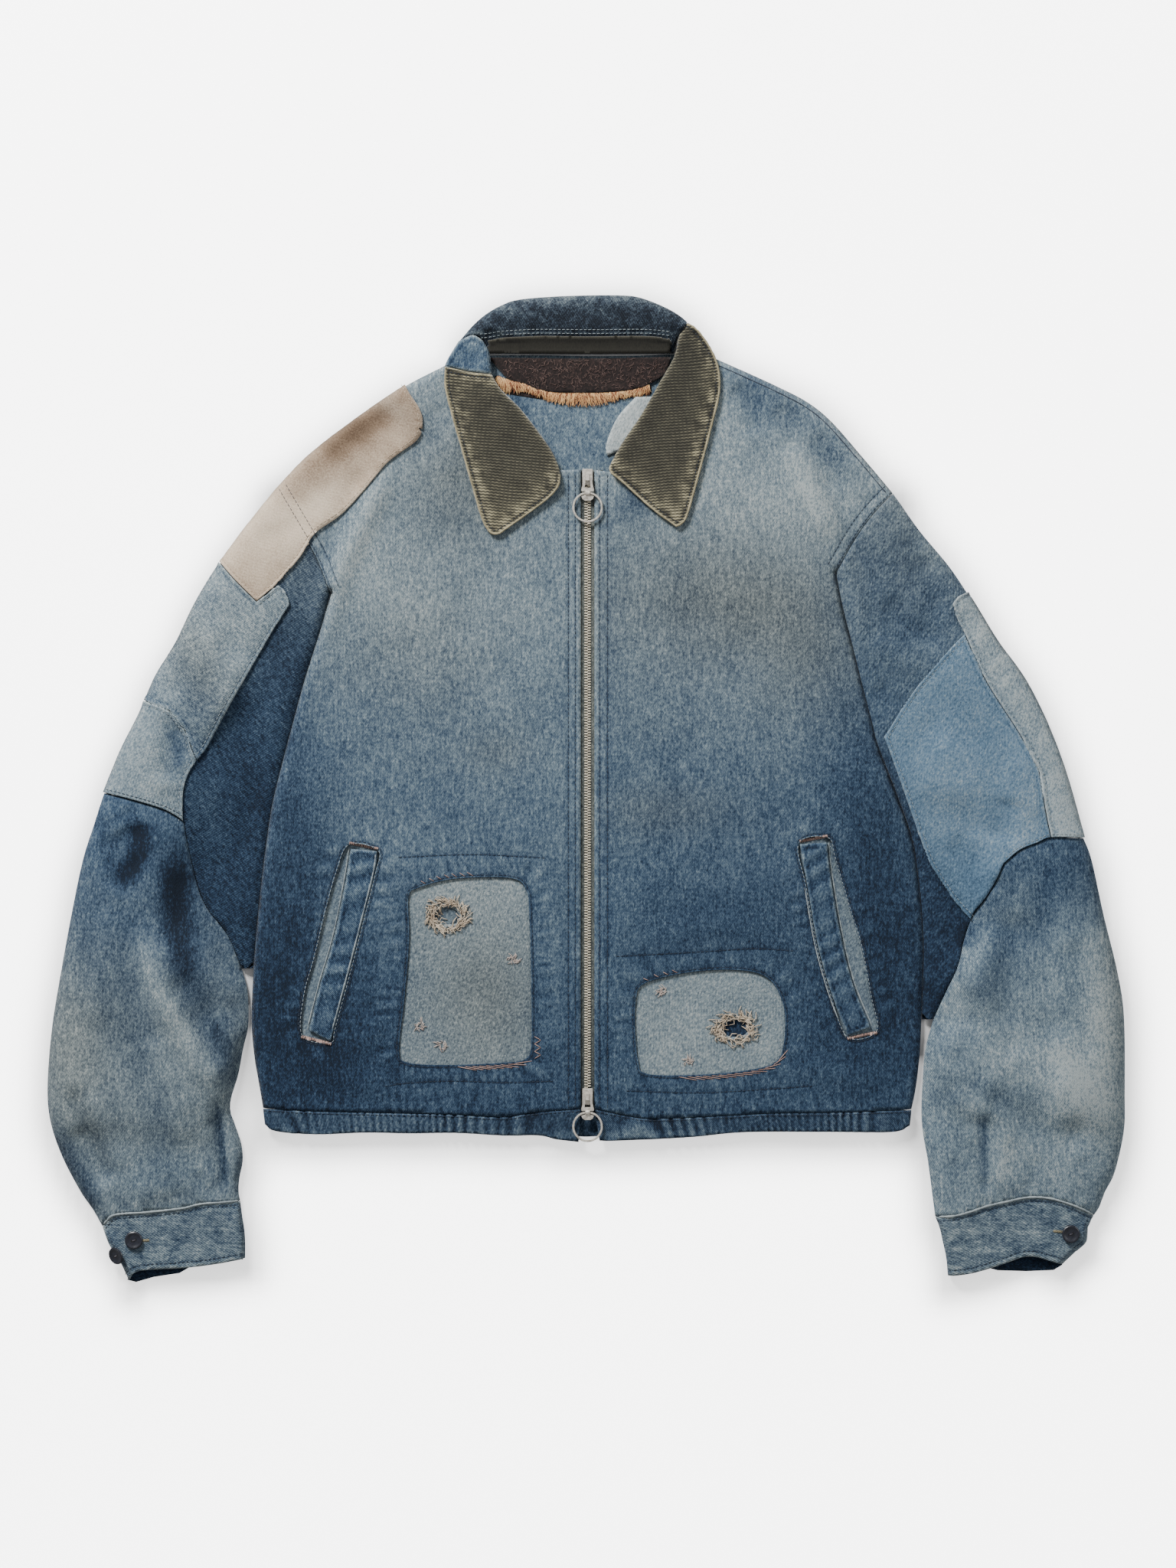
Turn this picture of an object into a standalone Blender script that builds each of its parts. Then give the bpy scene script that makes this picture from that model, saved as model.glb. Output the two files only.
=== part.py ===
"""A patched denim zip jacket, laid flat on its back with the zip closed.

The floor is z = 0, the neck points to +Y and the jacket's right sleeve lies at -X, so that +Z looks
at the fronts. Lengths below are in millimetres and become metres when a mesh is made.

The garment is worked out in plan. Every piece of cloth is an outline on the floor, filled with
triangles, raised onto the drape and made a wall with Solidify. A sleeve is a front and a back sheet
sewn along their folded edges into one tube. A patch reuses the points of the cloth it lies on,
moved out.
"""
import math

import bmesh
import bpy
import numpy as np
from mathutils.geometry import delaunay_2d_cdt

MM = 0.001

# Walls and clearances
DENIM = 1.2
PATCH = 1.0
HEM = 2.0
HEM_BACK = 1.6
CUFF = 1.8
LEAF = 2.0
TAPE = 0.7
SEAM = 0.25
LAY = 0.5
RIM = 3.0
BACK_LIFT = 0.5
BODY_ROLL = 9.0
SLEEVE_ROLL = 34.0
FOREARM_ROLL = 20.0
CUFF_ROLL = 8.0

# Spacing of the points that carry the drape
EDGE_STEP = 20.0
BODY_STEP = 42.0
SLEEVE_STEP = 30.0

# The jacket's middle lies here in the outline's own millimetres
CENTRE = np.array([-0.76, 2.11])

# Outlines, from the sizes taken off the photograph at 0.6 mm a pixel
LEFT_SHOULDER = [(-104, 337), (-143, 317), (-180, 292), (-218, 262.5), (-243.5, 236)]
LEFT_UPPER_ARM = [(-243.5, 236), (-270, 203), (-290, 175), (-307, 147), (-322, 116), (-338.5, 88.5),
                  (-351, 60), (-365.5, 31), (-379, -2)]
LEFT_FOREARM = [(-379, -2), (-387, -26.5), (-396, -55), (-405, -98), (-413, -142), (-420, -185),
                (-423.6, -228), (-422, -257), (-413, -285.5), (-398, -314.5), (-388, -329), (-380.4, -342.5)]
LEFT_ARMHOLE = [(-243.5, 236), (-230, 213), (-218, 192.5), (-210.5, 178), (-201.5, 154.5)]
LEFT_SIDE_TOP = [(-201.5, 154.5), (-210.5, 122.5), (-222.5, 84.5), (-236.5, 32.5), (-246, -5), (-250.5, -31),
                 (-255.5, -70), (-259.5, -109), (-262, -140)]
LEFT_SIDE_LOW = [(-262, -140), (-263.6, -180), (-261.5, -208), (-258, -229), (-254.5, -249.5)]
LEFT_GUSSET_END = [(-270.8, -140), (-262, -140)]
LEFT_HEM_SEAM = [(-254.5, -249.5), (-213, -251.8), (-158, -253), (-103, -254.5), (-66, -256.4), (-40, -252.5),
                 (-4.8, -250)]
LEFT_HEM_LOW = [(-252.8, -262), (-244, -267.5), (-213, -270), (-173, -268.6), (-140, -269.3), (-103, -269),
                (-66, -271), (-38, -271), (-24, -274), (-6.5, -276)]
LEFT_NECK = [(-4.8, 251.5), (-26, 252.5), (-38, 268), (-60, 294), (-78, 313), (-92, 328), (-104, 337)]
LEFT_ELBOW = [(-379, -2), (-362, -6), (-345.5, -10.5), (-331.5, -15), (-321, -20.5), (-315, -25.5)]
LEFT_INNER_ELBOW = [(-315, -25.5), (-312.6, -41), (-308.7, -59.5), (-303.5, -80), (-296, -95), (-288, -105),
                    (-280, -117), (-270.8, -140)]
LEFT_INNER_ARM = [(-270.8, -140), (-266.8, -155), (-265.4, -171), (-266, -187), (-269.6, -202.5), (-273.5, -223), (-279, -241.5),
                  (-279.5, -252), (-276, -262.5), (-271, -278), (-270, -291), (-272.5, -304), (-273.2, -314),
                  (-272, -322)]
LEFT_CUFF_SEAM = [(-380.4, -342.5), (-376, -337.5), (-368.5, -332.5), (-342.5, -330.5), (-317, -327.7),
                  (-300.8, -324), (-272, -322)]
LEFT_CUFF_INNER = [(-272, -322), (-270.5, -333), (-268.7, -345), (-268, -355), (-268, -367)]
LEFT_CUFF_LOW = [(-268, -367), (-283, -370), (-298, -372.4), (-315, -374.3), (-342.5, -375.8), (-350.5, -376.6),
                 (-356, -379.4), (-360, -384.4)]
LEFT_CUFF_OUTER = [(-360, -384.4), (-366.9, -369.5), (-375.4, -356.5), (-380.4, -342.5)]

RIGHT_SHOULDER = [(100, 339), (125, 328), (150, 316.5), (173, 304.5), (192, 289), (216, 261.5), (240, 232.8)]
RIGHT_UPPER_ARM = [(240, 232.8), (260.5, 204), (284.5, 175), (303, 147), (321, 117.5), (342, 88.5), (357, 60),
                   (369, 31), (378.5, 2.5), (389.5, -37.5)]
RIGHT_FOREARM = [(389.5, -37.5), (396, -55), (405.5, -98.5), (416, -141.5), (421.4, -178), (422, -240),
                 (421.2, -268), (414, -300), (406.5, -315), (402, -327), (397.6, -333.7)]
RIGHT_ARMHOLE = [(240, 232.8), (228.5, 221.3), (217.5, 208), (207, 192), (195, 170.5)]
RIGHT_SIDE_TOP = [(195, 170.5), (200, 145), (208, 113), (216, 81), (223, 54), (228, 35), (241.5, 0), (254.5, -37),
                  (259.5, -68), (262.6, -98), (263.8, -125), (263.2, -158), (262.3, -180)]
RIGHT_SIDE_LOW = [(262.3, -180), (261, -208), (257.9, -234), (254.5, -250.5)]
RIGHT_GUSSET_END = [(271.2, -180), (262.3, -180)]
RIGHT_HEM_SEAM = [(254.5, -250.5), (202.5, -252.5), (143, -253.5), (95, -256), (49.5, -257.5), (27.5, -254.5),
                  (5.4, -250)]
RIGHT_HEM_LOW = [(253, -263), (238.5, -268.2), (183, -268), (123, -268.4), (79, -272.4), (23.5, -275),
                 (9.5, -275)]
RIGHT_NECK = [(5.4, 251), (23, 251.5), (36, 272), (52, 296), (66, 318), (82, 333), (100, 339)]
RIGHT_ELBOW = [(389.5, -37.5), (362.5, -37.2), (351.5, -41.3), (337.8, -47), (325, -57.5)]
RIGHT_INNER_ELBOW = [(325, -57.5), (318, -73), (310, -86), (303, -95), (299, -104), (294.5, -118), (289.5, -138),
                     (278.5, -163), (271.2, -180)]
RIGHT_INNER_ARM = [(271.2, -180), (265, -203), (263, -226.5), (261.9, -251.5), (263.2, -269.5), (266.7, -289.5), (269.5, -310),
                   (272.7, -334.6)]
RIGHT_CUFF_SEAM = [(397.6, -333.7), (384, -326.7), (371, -322), (359, -319.3), (344.5, -319.2), (329.5, -322.2),
                   (313.5, -325.7), (299.5, -330.2), (285.5, -333.7), (272.7, -334.6)]
RIGHT_CUFF_INNER = [(272.7, -334.6), (276, -343), (278.7, -354.5), (281.2, -366.5), (282.7, -381)]
RIGHT_CUFF_LOW = [(282.7, -381), (299.6, -378.9), (315.5, -374.6), (333.5, -368.5), (342.5, -365.7),
                  (352.5, -366), (362.5, -369), (373, -372)]
RIGHT_CUFF_OUTER = [(373, -372), (383, -362.5), (391.8, -354.5), (393, -343), (397.6, -333.7)]

# Patches sewn on the sleeves and the shoulder
CREAM_SEAM = [(-144, 321), (-139, 311), (-131.5, 299.5), (-128.8, 288), (-133, 274.5), (-156, 256.5), (-172.5, 236.5),
              (-191.5, 216.5), (-213, 201), (-225, 182), (-246, 158), (-259, 147.5)]
CREAM_END = [(-259, 147.5), (-276.8, 165.5), (-290.5, 182)]
ARM_PATCH_INNER = [(-259, 147.5), (-242, 160.5), (-236.5, 155.8), (-233, 145), (-246, 125), (-262.5, 96.5),
                   (-284, 58.5), (-298, 32.5), (-305.5, 23)]
ARM_PATCH_LOW = [(-305.5, 23), (-309, 32.5), (-314, 46.5), (-326.5, 62), (-348.5, 70.5)]
BAND_INNER = [(-305.5, 23), (-311, 13.5), (-315, 1.5), (-316, -12.5), (-316, -28)]
PANEL_TOP = [(295, 122), (284.5, 111.5), (257.5, 80.5), (232.5, 42)]
PANEL_SIDE = [(232.5, 42), (247, 2), (259.5, -34)]
PANEL_INNER = [(259.5, -34), (269, -59), (287, -86.5), (302, -103)]
STRIP_INNER = [(301, 156.5), (290, 151.5), (285.8, 145.5), (290, 131.5), (295, 122), (311, 86), (338, 43),
               (352.8, 13.5), (357, -13), (362.8, -41)]

# Windows cut in the fronts, the worn hole in the cloth behind each, and the welt pockets
LEFT_WINDOW = [(-140, -84), (-132, -76.5), (-103, -69.5), (-60, -69), (-48, -78), (-45.5, -95), (-44, -144),
               (-43.8, -195), (-48, -210.5), (-70, -214), (-112, -215.5), (-141, -213.5), (-147.5, -204),
               (-143, -161), (-139.5, -115)]
LEFT_HOLE = [(-119.4, -100.3), (-116, -93), (-108.5, -92), (-102, -95), (-100, -100.5), (-103, -104.5), (-113, -105)]
RIGHT_WINDOW = [(38.2, -164), (45, -151.5), (79, -143), (117, -141), (141, -147), (153, -166), (155, -190),
                (149.5, -211), (131, -218.7), (90, -223), (47, -222.5), (40, -212), (37.6, -188)]
RIGHT_HOLE = [(106.5, -186), (112, -181), (123, -180.3), (126, -188.5), (120.5, -193), (110, -192.5)]
LEFT_POCKET = [(-186.5, -43), (-164, -47.5), (-166, -64), (-174.5, -98), (-185.5, -141), (-198, -187),
               (-201, -197.5), (-223, -192), (-221.5, -160), (-214, -132.5), (-204.5, -93), (-196, -63)]
LEFT_WELT_EDGE = [(-185.6, -45.5), (-189.5, -71), (-198.5, -115), (-209.5, -153), (-218.5, -188.5)]
LEFT_WELT_INNER = [(-201, -197.5), (-198, -187), (-185.5, -141), (-174.5, -98), (-166, -64), (-164, -47.5)]
RIGHT_POCKET = [(166, -42), (188.5, -37.5), (194, -53), (206, -94), (214.5, -121), (222.5, -163), (226.5, -188.5),
                (204, -193), (191, -160), (180, -121), (172, -76)]
RIGHT_WELT_EDGE = [(188.2, -40.5), (190.3, -62), (198, -108), (208, -150), (222.5, -186)]
RIGHT_WELT_INNER = [(204, -193), (191, -160), (180, -121), (172, -76), (166, -42)]

# Collar
LEFT_CREASE = [(-20.4, 246), (-23, 255.5), (-30, 269.5), (-51, 297.5), (-67, 313.5), (-74.6, 325.5)]
LEFT_LEAF_EDGE = [(-74.6, 325.5), (-92, 327.5), (-111.8, 332)]
LEFT_LEAF_OUTER = [(-111.8, 332), (-111.6, 315), (-105.6, 290.5), (-95, 253.5), (-84.5, 217), (-79.5, 205),
                   (-74, 199.8), (-68.5, 200.3)]
LEFT_LEAF_LOW = [(-68.5, 200.3), (-47.5, 215), (-31.5, 227), (-22.4, 237), (-20.4, 246)]
LEFT_WING_OUTER = [(-111.8, 332), (-109, 338.5), (-101, 351.5)]
LEFT_WING_TOP = [(-101, 351.5), (-90, 356.2), (-82.6, 353)]
LEFT_WING_CREASE = [(-82.6, 353), (-79, 348), (-76, 341), (-74.6, 325.5)]
RIGHT_CREASE = [(16.7, 253), (26.5, 271), (42, 294), (56, 318.5), (68, 340), (71.5, 355), (78.5, 366.3)]
RIGHT_LEAF_OUTER = [(78.5, 366.3), (86, 361), (94, 351), (100.5, 339), (104, 326), (104, 311), (100, 293),
                    (92, 262), (81, 222), (76, 209.5), (69.5, 205.8)]
RIGHT_LEAF_LOW = [(69.5, 205.8), (51, 219.3), (26.4, 241.3), (18, 248), (16.7, 253)]
COLLAR_FOLD = [(-102.5, 350), (-90, 364.5), (-79, 374), (-66.5, 381), (-54, 385), (-28, 387.4), (0, 388.4),
               (26.5, 388.4), (40, 387), (54.5, 382), (67, 376), (76, 370)]
COLLAR_FOOT = [(-85, 352.5), (-78, 352.8), (-65, 354.8), (-50, 355.6), (-37, 356), (-15, 355.8), (0, 355.7),
               (20, 355.8), (33, 356), (45, 355.9), (55, 355.4), (67, 353.8)]
BAND_LOW = [(-82, 344.2), (-37, 344), (0, 342.6), (33, 343), (70, 345)]
FACING_LOW = [(-84, 330), (-62, 321.5), (-50, 318.5), (-40, 314), (-26, 312), (0, 311.5), (25, 312.5),
              (42, 315), (62, 323)]
BACK_NECK = [(-104, 337), (-85, 341.2), (-40, 341.8), (0, 341.2), (40, 341.5), (85, 342.5), (100, 339)]
PALE_EDGE = [(38, 309), (24.5, 294), (17.5, 280), (14.3, 269), (15.5, 262)]
PALE_OUTER = [(15.5, 262), (30, 268), (48, 290), (58, 309)]

FRINGE_LOW = [(-68, 312), (-51, 309), (-30, 306), (0, 305), (25, 306.5), (50, 311)]
FRINGE_STRANDS = 46
FRINGE_LENGTH = 8.0

# How high the outer face of the cloth lies over the floor, at places on the body and on the sleeves
LOFT = [((-110, 290), 6.4), ((110, 290), 6.4), ((-200, 215), 6.9), ((200, 215), 6.9), ((-100, 150), 5.9),
        ((100, 150), 5.9), ((-190, 60), 6.1), ((190, 60), 6.1), ((-120, 0), 5.9), ((120, 0), 5.9),
        ((-225, -120), 6.0), ((225, -120), 6.0), ((-95, -140), 5.9), ((95, -180), 5.9), ((-100, -250), 6.0),
        ((100, -250), 6.0), ((-240, -245), 6.0), ((240, -245), 6.0), ((-252, -175), 6.0), ((-250, -212), 6.0),
        ((252, -180), 6.0), ((250, -215), 6.0), ((-215, 160), 6.6), ((212, 165), 6.6), ((-242, -60), 6.0),
        ((242, -60), 6.0), ((-215, 70), 6.0), ((215, 60), 6.0),
        ((-250, 200), 9.5), ((-245, 150), 8.5), ((-280, 140), 12), ((-300, 80), 14), ((-340, 30), 15),
        ((-222, 110), 6.6), ((-262, 40), 6.6), ((-275, -60), 6.0), ((-266, -125), 5.4), ((-350, -60), 18),
        ((-375, -140), 20), ((-320, -150), 21), ((-290, -200), 18), ((-375, -230), 20), ((-320, -240), 20),
        ((-385, -300), 13), ((-330, -305), 14), ((-285, -300), 12), ((-325, -330), 9.5), ((-320, -365), 9),
        ((250, 200), 9.5), ((235, 150), 8.5), ((270, 140), 11), ((310, 90), 14), ((250, 60), 8), ((300, 20), 13),
        ((350, 0), 15), ((275, -40), 8), ((268, -120), 6.0), ((267, -170), 5.4), ((345, -80), 18),
        ((385, -150), 20), ((320, -150), 21), ((290, -210), 18), ((385, -230), 20), ((330, -230), 19),
        ((385, -300), 14), ((330, -300), 13), ((290, -300), 13), ((335, -330), 9.5), ((335, -360), 9)]
LOFT_REACH = 16.0
ZIP_LOFT = 6.2

# The largest folds: a path, how high it stands above the cloth beside it, and its half width
FOLDS = [([(-160, 250), (-172, 225), (-190, 185), (-203, 140)], 2.0, 13),
         ([(163, 300), (172, 268), (181, 230), (189, 190)], 2.0, 13),
         ([(-350, -105), (-342, -140), (-327, -174), (-311, -203), (-290, -236)], 3.2, 14),
         ([(-322, -140), (-301, -183), (-286, -222)], -3.4, 12),
         ([(-405, -228), (-392, -265), (-374, -312)], -3.6, 9),
         ([(-290, -250), (-284, -318)], -2.0, 8),
         ([(-372, -30), (-362, -55), (-372, -80)], -3.6, 14),
         ([(-318, 55), (-326, 30), (-330, 5)], -2.6, 12),
         ([(-262, 110), (-285, 65), (-298, 35)], 2.0, 12),
         ([(318, -100), (302, -145), (290, -185)], 2.4, 13),
         ([(338, -90), (332, -140), (325, -190)], -2.6, 15),
         ([(365, -180), (378, -240), (352, -272)], 2.8, 16),
         ([(306, -232), (332, -252), (362, -262), (398, -272)], -3.4, 13),
         ([(312, -250), (312.5, -318)], -2.6, 9),
         ([(262, 190), (270, 150), (262, 110)], -2.0, 13),
         ([(330, -5), (322, -42)], -2.4, 13)]
PUCKER_PITCH = 10.0
PUCKER_HEIGHT = 1.1

# Edges where the cloth turns down to the floor: the line, the width of the roll, and its rows of points
LEFT_OUTSIDE = LEFT_SHOULDER + LEFT_UPPER_ARM[1:] + LEFT_FOREARM[1:]
RIGHT_OUTSIDE = RIGHT_SHOULDER + RIGHT_UPPER_ARM[1:] + RIGHT_FOREARM[1:]
LEFT_SIDE = LEFT_SIDE_TOP + LEFT_SIDE_LOW[1:]
RIGHT_SIDE = RIGHT_SIDE_TOP + RIGHT_SIDE_LOW[1:]
BODY_EDGES = [LEFT_SHOULDER, LEFT_SIDE, RIGHT_SHOULDER, RIGHT_SIDE]
EDGES = [(LEFT_OUTSIDE, SLEEVE_ROLL, (0.12, 0.5)), (RIGHT_OUTSIDE, SLEEVE_ROLL, (0.12, 0.5)),
         (LEFT_SIDE, BODY_ROLL, (0.3, 1.0)), (RIGHT_SIDE, BODY_ROLL, (0.3, 1.0)),
         (LEFT_INNER_ARM, FOREARM_ROLL, (0.12, 0.5)), (RIGHT_INNER_ARM, FOREARM_ROLL, (0.12, 0.5)),
         (LEFT_CUFF_INNER, CUFF_ROLL, (0.3,)), (LEFT_CUFF_OUTER, CUFF_ROLL, (0.3,)),
         (RIGHT_CUFF_INNER, CUFF_ROLL, (0.3,)), (RIGHT_CUFF_OUTER, CUFF_ROLL, (0.3,))]

# How the collar lies
LEAF_LIFT = 2.9
LEAF_LOW = 2.6
LEAF_CREASE = 2.6
LEAF_ROLL = 6.0
COLLAR_TOP = 12.0

# Zip
ZIP_X = 0.3
CHAIN_HALF = 2.3
CHAIN_TOP = 5.8
CHAIN_LOW = 3.2
TAPE_INNER = 2.7
TAPE_OUTER = 12.0
TAPE_TOP = 4.65
ZIP_TOP_Y = 251.0
ZIP_LOW_Y = -250.0
SLIDER_LENGTH = 13.0
SLIDER_WIDTH = 8.2
SLIDER_LOW = 1.7
SLIDER_TOP = 7.4
UPPER_PIVOT_Y = 245.0
LOWER_PIVOT_Y = -240.0
PIVOT_Z = 9.6
LUG = 2.8
TAB_REACH = 12.4
TAB_WALL = 1.0
RING_Z = 8.5
RING_RADIUS = 11.2
RING_WIRE = 0.85
EYE_OUTER = 1.9
EYE_INNER = 1.25

# Buttons: x, y, how far each lies off the cuff there, and its tilt
BUTTON_RADIUS = 7.0
BUTTON_WALL = 2.2
BUTTONS = [("button_left_upper", -354.7, -352.1, 0.6, (0.0, 0.0, 0.0)),
           ("button_left_lower", -368.5, -364.5, 2.6, (0.25, -0.6, 0.0)),
           ("button_right", 378.2, -347.1, 0.6, (0.0, 0.0, 0.0))]


def clear_scene():
    for obj in list(bpy.data.objects):
        bpy.data.objects.remove(obj)


def material(name, colour, roughness, metallic=0.0):
    made = bpy.data.materials.new(name)
    made.use_nodes = True
    shader = made.node_tree.nodes["Principled BSDF"]
    shader.inputs["Base Color"].default_value = (*colour, 1.0)
    shader.inputs["Roughness"].default_value = roughness
    shader.inputs["Metallic"].default_value = metallic
    made.diffuse_color = (*colour, 1.0)
    return made


def smooth(points, step=EDGE_STEP):
    """A curve through the points (Catmull-Rom), with a point about every step."""
    given = [np.array(p, float) for p in points]
    ends = [2 * given[0] - given[1]] + given + [2 * given[-1] - given[-2]]
    made = []
    for before, start, end, after in zip(ends, ends[1:], ends[2:], ends[3:]):
        count = max(1, round(np.linalg.norm(end - start) / step))
        for t in np.arange(count) / count:
            made.append(0.5 * (2 * start + (end - before) * t
                               + (2 * before - 5 * start + 4 * end - after) * t ** 2
                               + (3 * start - before - 3 * end + after) * t ** 3))
    made.append(given[-1])
    return np.array(made)


def loop(*runs, step=EDGE_STEP):
    """A closed outline from open runs that follow each other, with a corner where two runs meet."""
    return np.concatenate([smooth(run, step)[:-1] for run in runs])


def path(*runs):
    """An open line along runs that follow each other."""
    return np.concatenate([smooth(run, 5.0) for run in runs])


def ring_of(points, step=EDGE_STEP):
    """A closed outline through the points."""
    return loop(points + points[:1], step=step)


def back(run):
    return list(reversed(run))


def nearest(points, line):
    """For each point: its distance to the line, and the share of the line's length there."""
    start, along = line[:-1], np.diff(line, axis=0)
    length = np.maximum(np.linalg.norm(along, axis=1), 1e-9)
    share = np.clip(np.einsum("pij,ij->pi", points[:, None] - start, along) / length ** 2, 0, 1)
    distance = np.linalg.norm(points[:, None] - start - share[..., None] * along, axis=2)
    best = distance.argmin(axis=1)
    rows = np.arange(len(points))
    before = np.concatenate([[0], np.cumsum(length)])[:-1]
    return distance[rows, best], (before[best] + share[rows, best] * length[best]) / length.sum()


def closed(outline):
    return np.vstack([outline, outline[:1]])


def inside(points, outline):
    x, y = points[:, 0], points[:, 1]
    hit = np.zeros(len(points), bool)
    for (x1, y1), (x2, y2) in zip(outline, np.roll(outline, -1, axis=0)):
        crosses = (y1 > y) != (y2 > y)
        hit ^= crosses & (x < (x2 - x1) * (y - y1) / (y2 - y1 + 1e-12) + x1)
    return hit


def shrunk(outline, distance=SEAM):
    """The outline moved inwards, so that neighbours keep their seam gap; outwards below zero."""
    before, after = np.roll(outline, 1, axis=0), np.roll(outline, -1, axis=0)
    first, second = outline - before, after - outline
    first /= np.linalg.norm(first, axis=1)[:, None]
    second /= np.linalg.norm(second, axis=1)[:, None]
    turn = np.sign(np.sum(outline[:, 0] * after[:, 1] - outline[:, 1] * after[:, 0]))
    first_side = np.stack([-first[:, 1], first[:, 0]], axis=1) * turn
    second_side = np.stack([-second[:, 1], second[:, 0]], axis=1) * turn
    normal = first_side + second_side
    normal /= np.maximum(np.einsum("ij,ij->i", normal, first_side)[:, None], 0.35)
    return outline + normal * distance


def beside(line, distance):
    """The line moved sideways by a distance: to its left above zero."""
    along = np.gradient(line, axis=0)
    along /= np.linalg.norm(along, axis=1)[:, None]
    return line + distance * np.stack([-along[:, 1], along[:, 0]], axis=1)


def grid_points(outline, step):
    """Points in a triangular pattern over the outline."""
    low, high = outline.min(0), outline.max(0)
    rows = np.arange(low[1], high[1], step * math.sqrt(0.75))
    found = [(x + (i % 2) * step / 2, y) for i, y in enumerate(rows) for x in np.arange(low[0], high[0], step)]
    return np.array(found)


def drape_points(edges, folds, step=16.0):
    """Points where the drape bends: beside its rolled edges, and along the top and feet of its folds."""
    rows = []
    for edge, roll, shares in edges:
        for share in shares:
            rows += [beside(smooth(edge), side * roll * share)[1:-1] for side in (-1, 1)]
    for path, _, width in folds:
        rows += [beside(smooth(path, step), side * width) for side in (-1.3, 0, 1.3)]
    return np.concatenate(rows) if rows else np.zeros((0, 2))


def apart(points, least, kept):
    """The points that lie inside least of none kept before them."""
    kept = list(kept)
    made = []
    for p in points:
        if not kept or np.min(np.sum((np.array(kept) - p) ** 2, axis=1)) > least ** 2:
            kept.append(p)
            made.append(p)
    return np.array(made).reshape(-1, 2)


def fill(outline, holes=(), marks=(), bends=None, step=BODY_STEP):
    """The triangles of a piece in plan. marks are open lines that its edges follow too."""
    lines = [closed(outline)] + [closed(hole) for hole in holes] + list(marks)
    given = np.vstack(lines)
    points = np.zeros((0, 2))
    wanted = [(grid_points(outline, step), 0.66 * step, 0.25 * step)]
    if bends is not None:
        wanted.insert(0, (bends, 2.4, 1.6))
    for more, least, clear in wanted:
        more = more[inside(more, outline)]
        for line in lines:
            if len(more):
                more = more[nearest(more, line)[0] > clear]
        points = np.vstack([points, apart(more, least, np.vstack([given, points]))])
    verts, edges = [], []
    for line in lines:
        edges += [(len(verts) + i, len(verts) + i + 1) for i in range(len(line) - 1)]
        verts += [tuple(p) for p in line]
    made = delaunay_2d_cdt(verts + [tuple(p) for p in points], edges, [], 0, 1e-3)
    plan = np.array([tuple(v) for v in made[0]])
    faces = [tuple(f) for f in made[2]]
    middle = np.array([plan[list(f)].mean(axis=0) for f in faces])
    keep = inside(middle, outline) & (lowest_height(plan, faces) > 0.02)
    for hole in holes:
        keep &= ~inside(middle, hole)
    return only_used(plan, upward(plan, [f for f, k in zip(faces, keep) if k]))


def lowest_height(plan, faces):
    """Each triangle's height over its longest side: next to nothing on a straight stretch of outline."""
    a, b, c = (plan[[f[k] for f in faces]] for k in range(3))
    area = np.abs((b - a)[:, 0] * (c - a)[:, 1] - (b - a)[:, 1] * (c - a)[:, 0])
    longest = np.max([np.linalg.norm(v, axis=1) for v in (b - a, c - b, a - c)], axis=0)
    return area / longest


def only_used(verts, faces):
    """The points that the faces use, and the faces renumbered."""
    index = sorted({i for f in faces for i in f})
    place = {old: new for new, old in enumerate(index)}
    return verts[index], [tuple(place[i] for i in f) for f in faces]


def upward(plan, faces):
    """The faces, each turned so that it faces +Z."""
    turned = []
    for f in faces:
        (x0, y0), (x1, y1), (x2, y2) = (plan[i][:2] for i in f)
        up = (x1 - x0) * (y2 - y0) - (x2 - x0) * (y1 - y0) > 0
        turned.append(f if up else f[::-1])
    return turned


def borders(faces):
    """The loops of border points, in the faces' own direction."""
    sides = {(f[i], f[(i + 1) % 3]) for f in faces for i in range(3)}
    after = {a: b for a, b in sides if (b, a) not in sides}
    loops = []
    while after:
        first, here = after.popitem()
        run = [first]
        while here != first:
            run.append(here)
            here = after.pop(here)
        loops.append(run)
    return sorted(loops, key=len, reverse=True)


def loft(points):
    """A smooth height between the values of the table of places, level beside the zip."""
    places = np.array([p for p, _ in LOFT], float)
    values = np.array([h for _, h in LOFT], float)
    away = np.linalg.norm(points[:, None] - places, axis=2)
    weight = 1 / (away ** 2 + LOFT_REACH ** 2) ** 2.2
    height = weight @ values / weight.sum(axis=1)
    share = np.clip((np.abs(points[:, 0] - ZIP_X) - 14) / 24, 0, 1)
    return ZIP_LOFT + (height - ZIP_LOFT) * share * share * (3 - 2 * share)


def fold_height(points):
    """What the folds add: a soft ridge or trough along each path, fading out at its ends."""
    total = np.zeros(len(points))
    for path, height, width in FOLDS:
        distance, position = nearest(points, smooth(path, 8.0))
        ends = np.clip(np.minimum(position, 1 - position) * 5, 0, 1)
        total += height * ends * ends * (3 - 2 * ends) * np.exp(-(distance / width) ** 2)
    return total


def rolled(distance, roll):
    """The share of the full height this far in from a rolled edge: a quarter of an ellipse."""
    return np.sqrt(1 - (1 - np.clip((distance - SEAM) / roll, 0, 1)) ** 2)


def arm_roll(points):
    """Sleeves are rounder than the body: their roll widens from the shoulder down."""
    down = np.clip((235 - points[:, 1]) / 150, 0, 1)
    return BODY_ROLL + (SLEEVE_ROLL - BODY_ROLL) * down


def drape(points):
    """The outer face's height over the floor, anywhere on the body and the sleeves."""
    share = np.ones(len(points))
    for edge, roll, _ in EDGES:
        width = arm_roll(points) if roll == SLEEVE_ROLL else roll
        share = np.minimum(share, rolled(nearest(points, smooth(edge, 6.0))[0], width))
    return RIM + (loft(points) + fold_height(points) - RIM) * share


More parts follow.
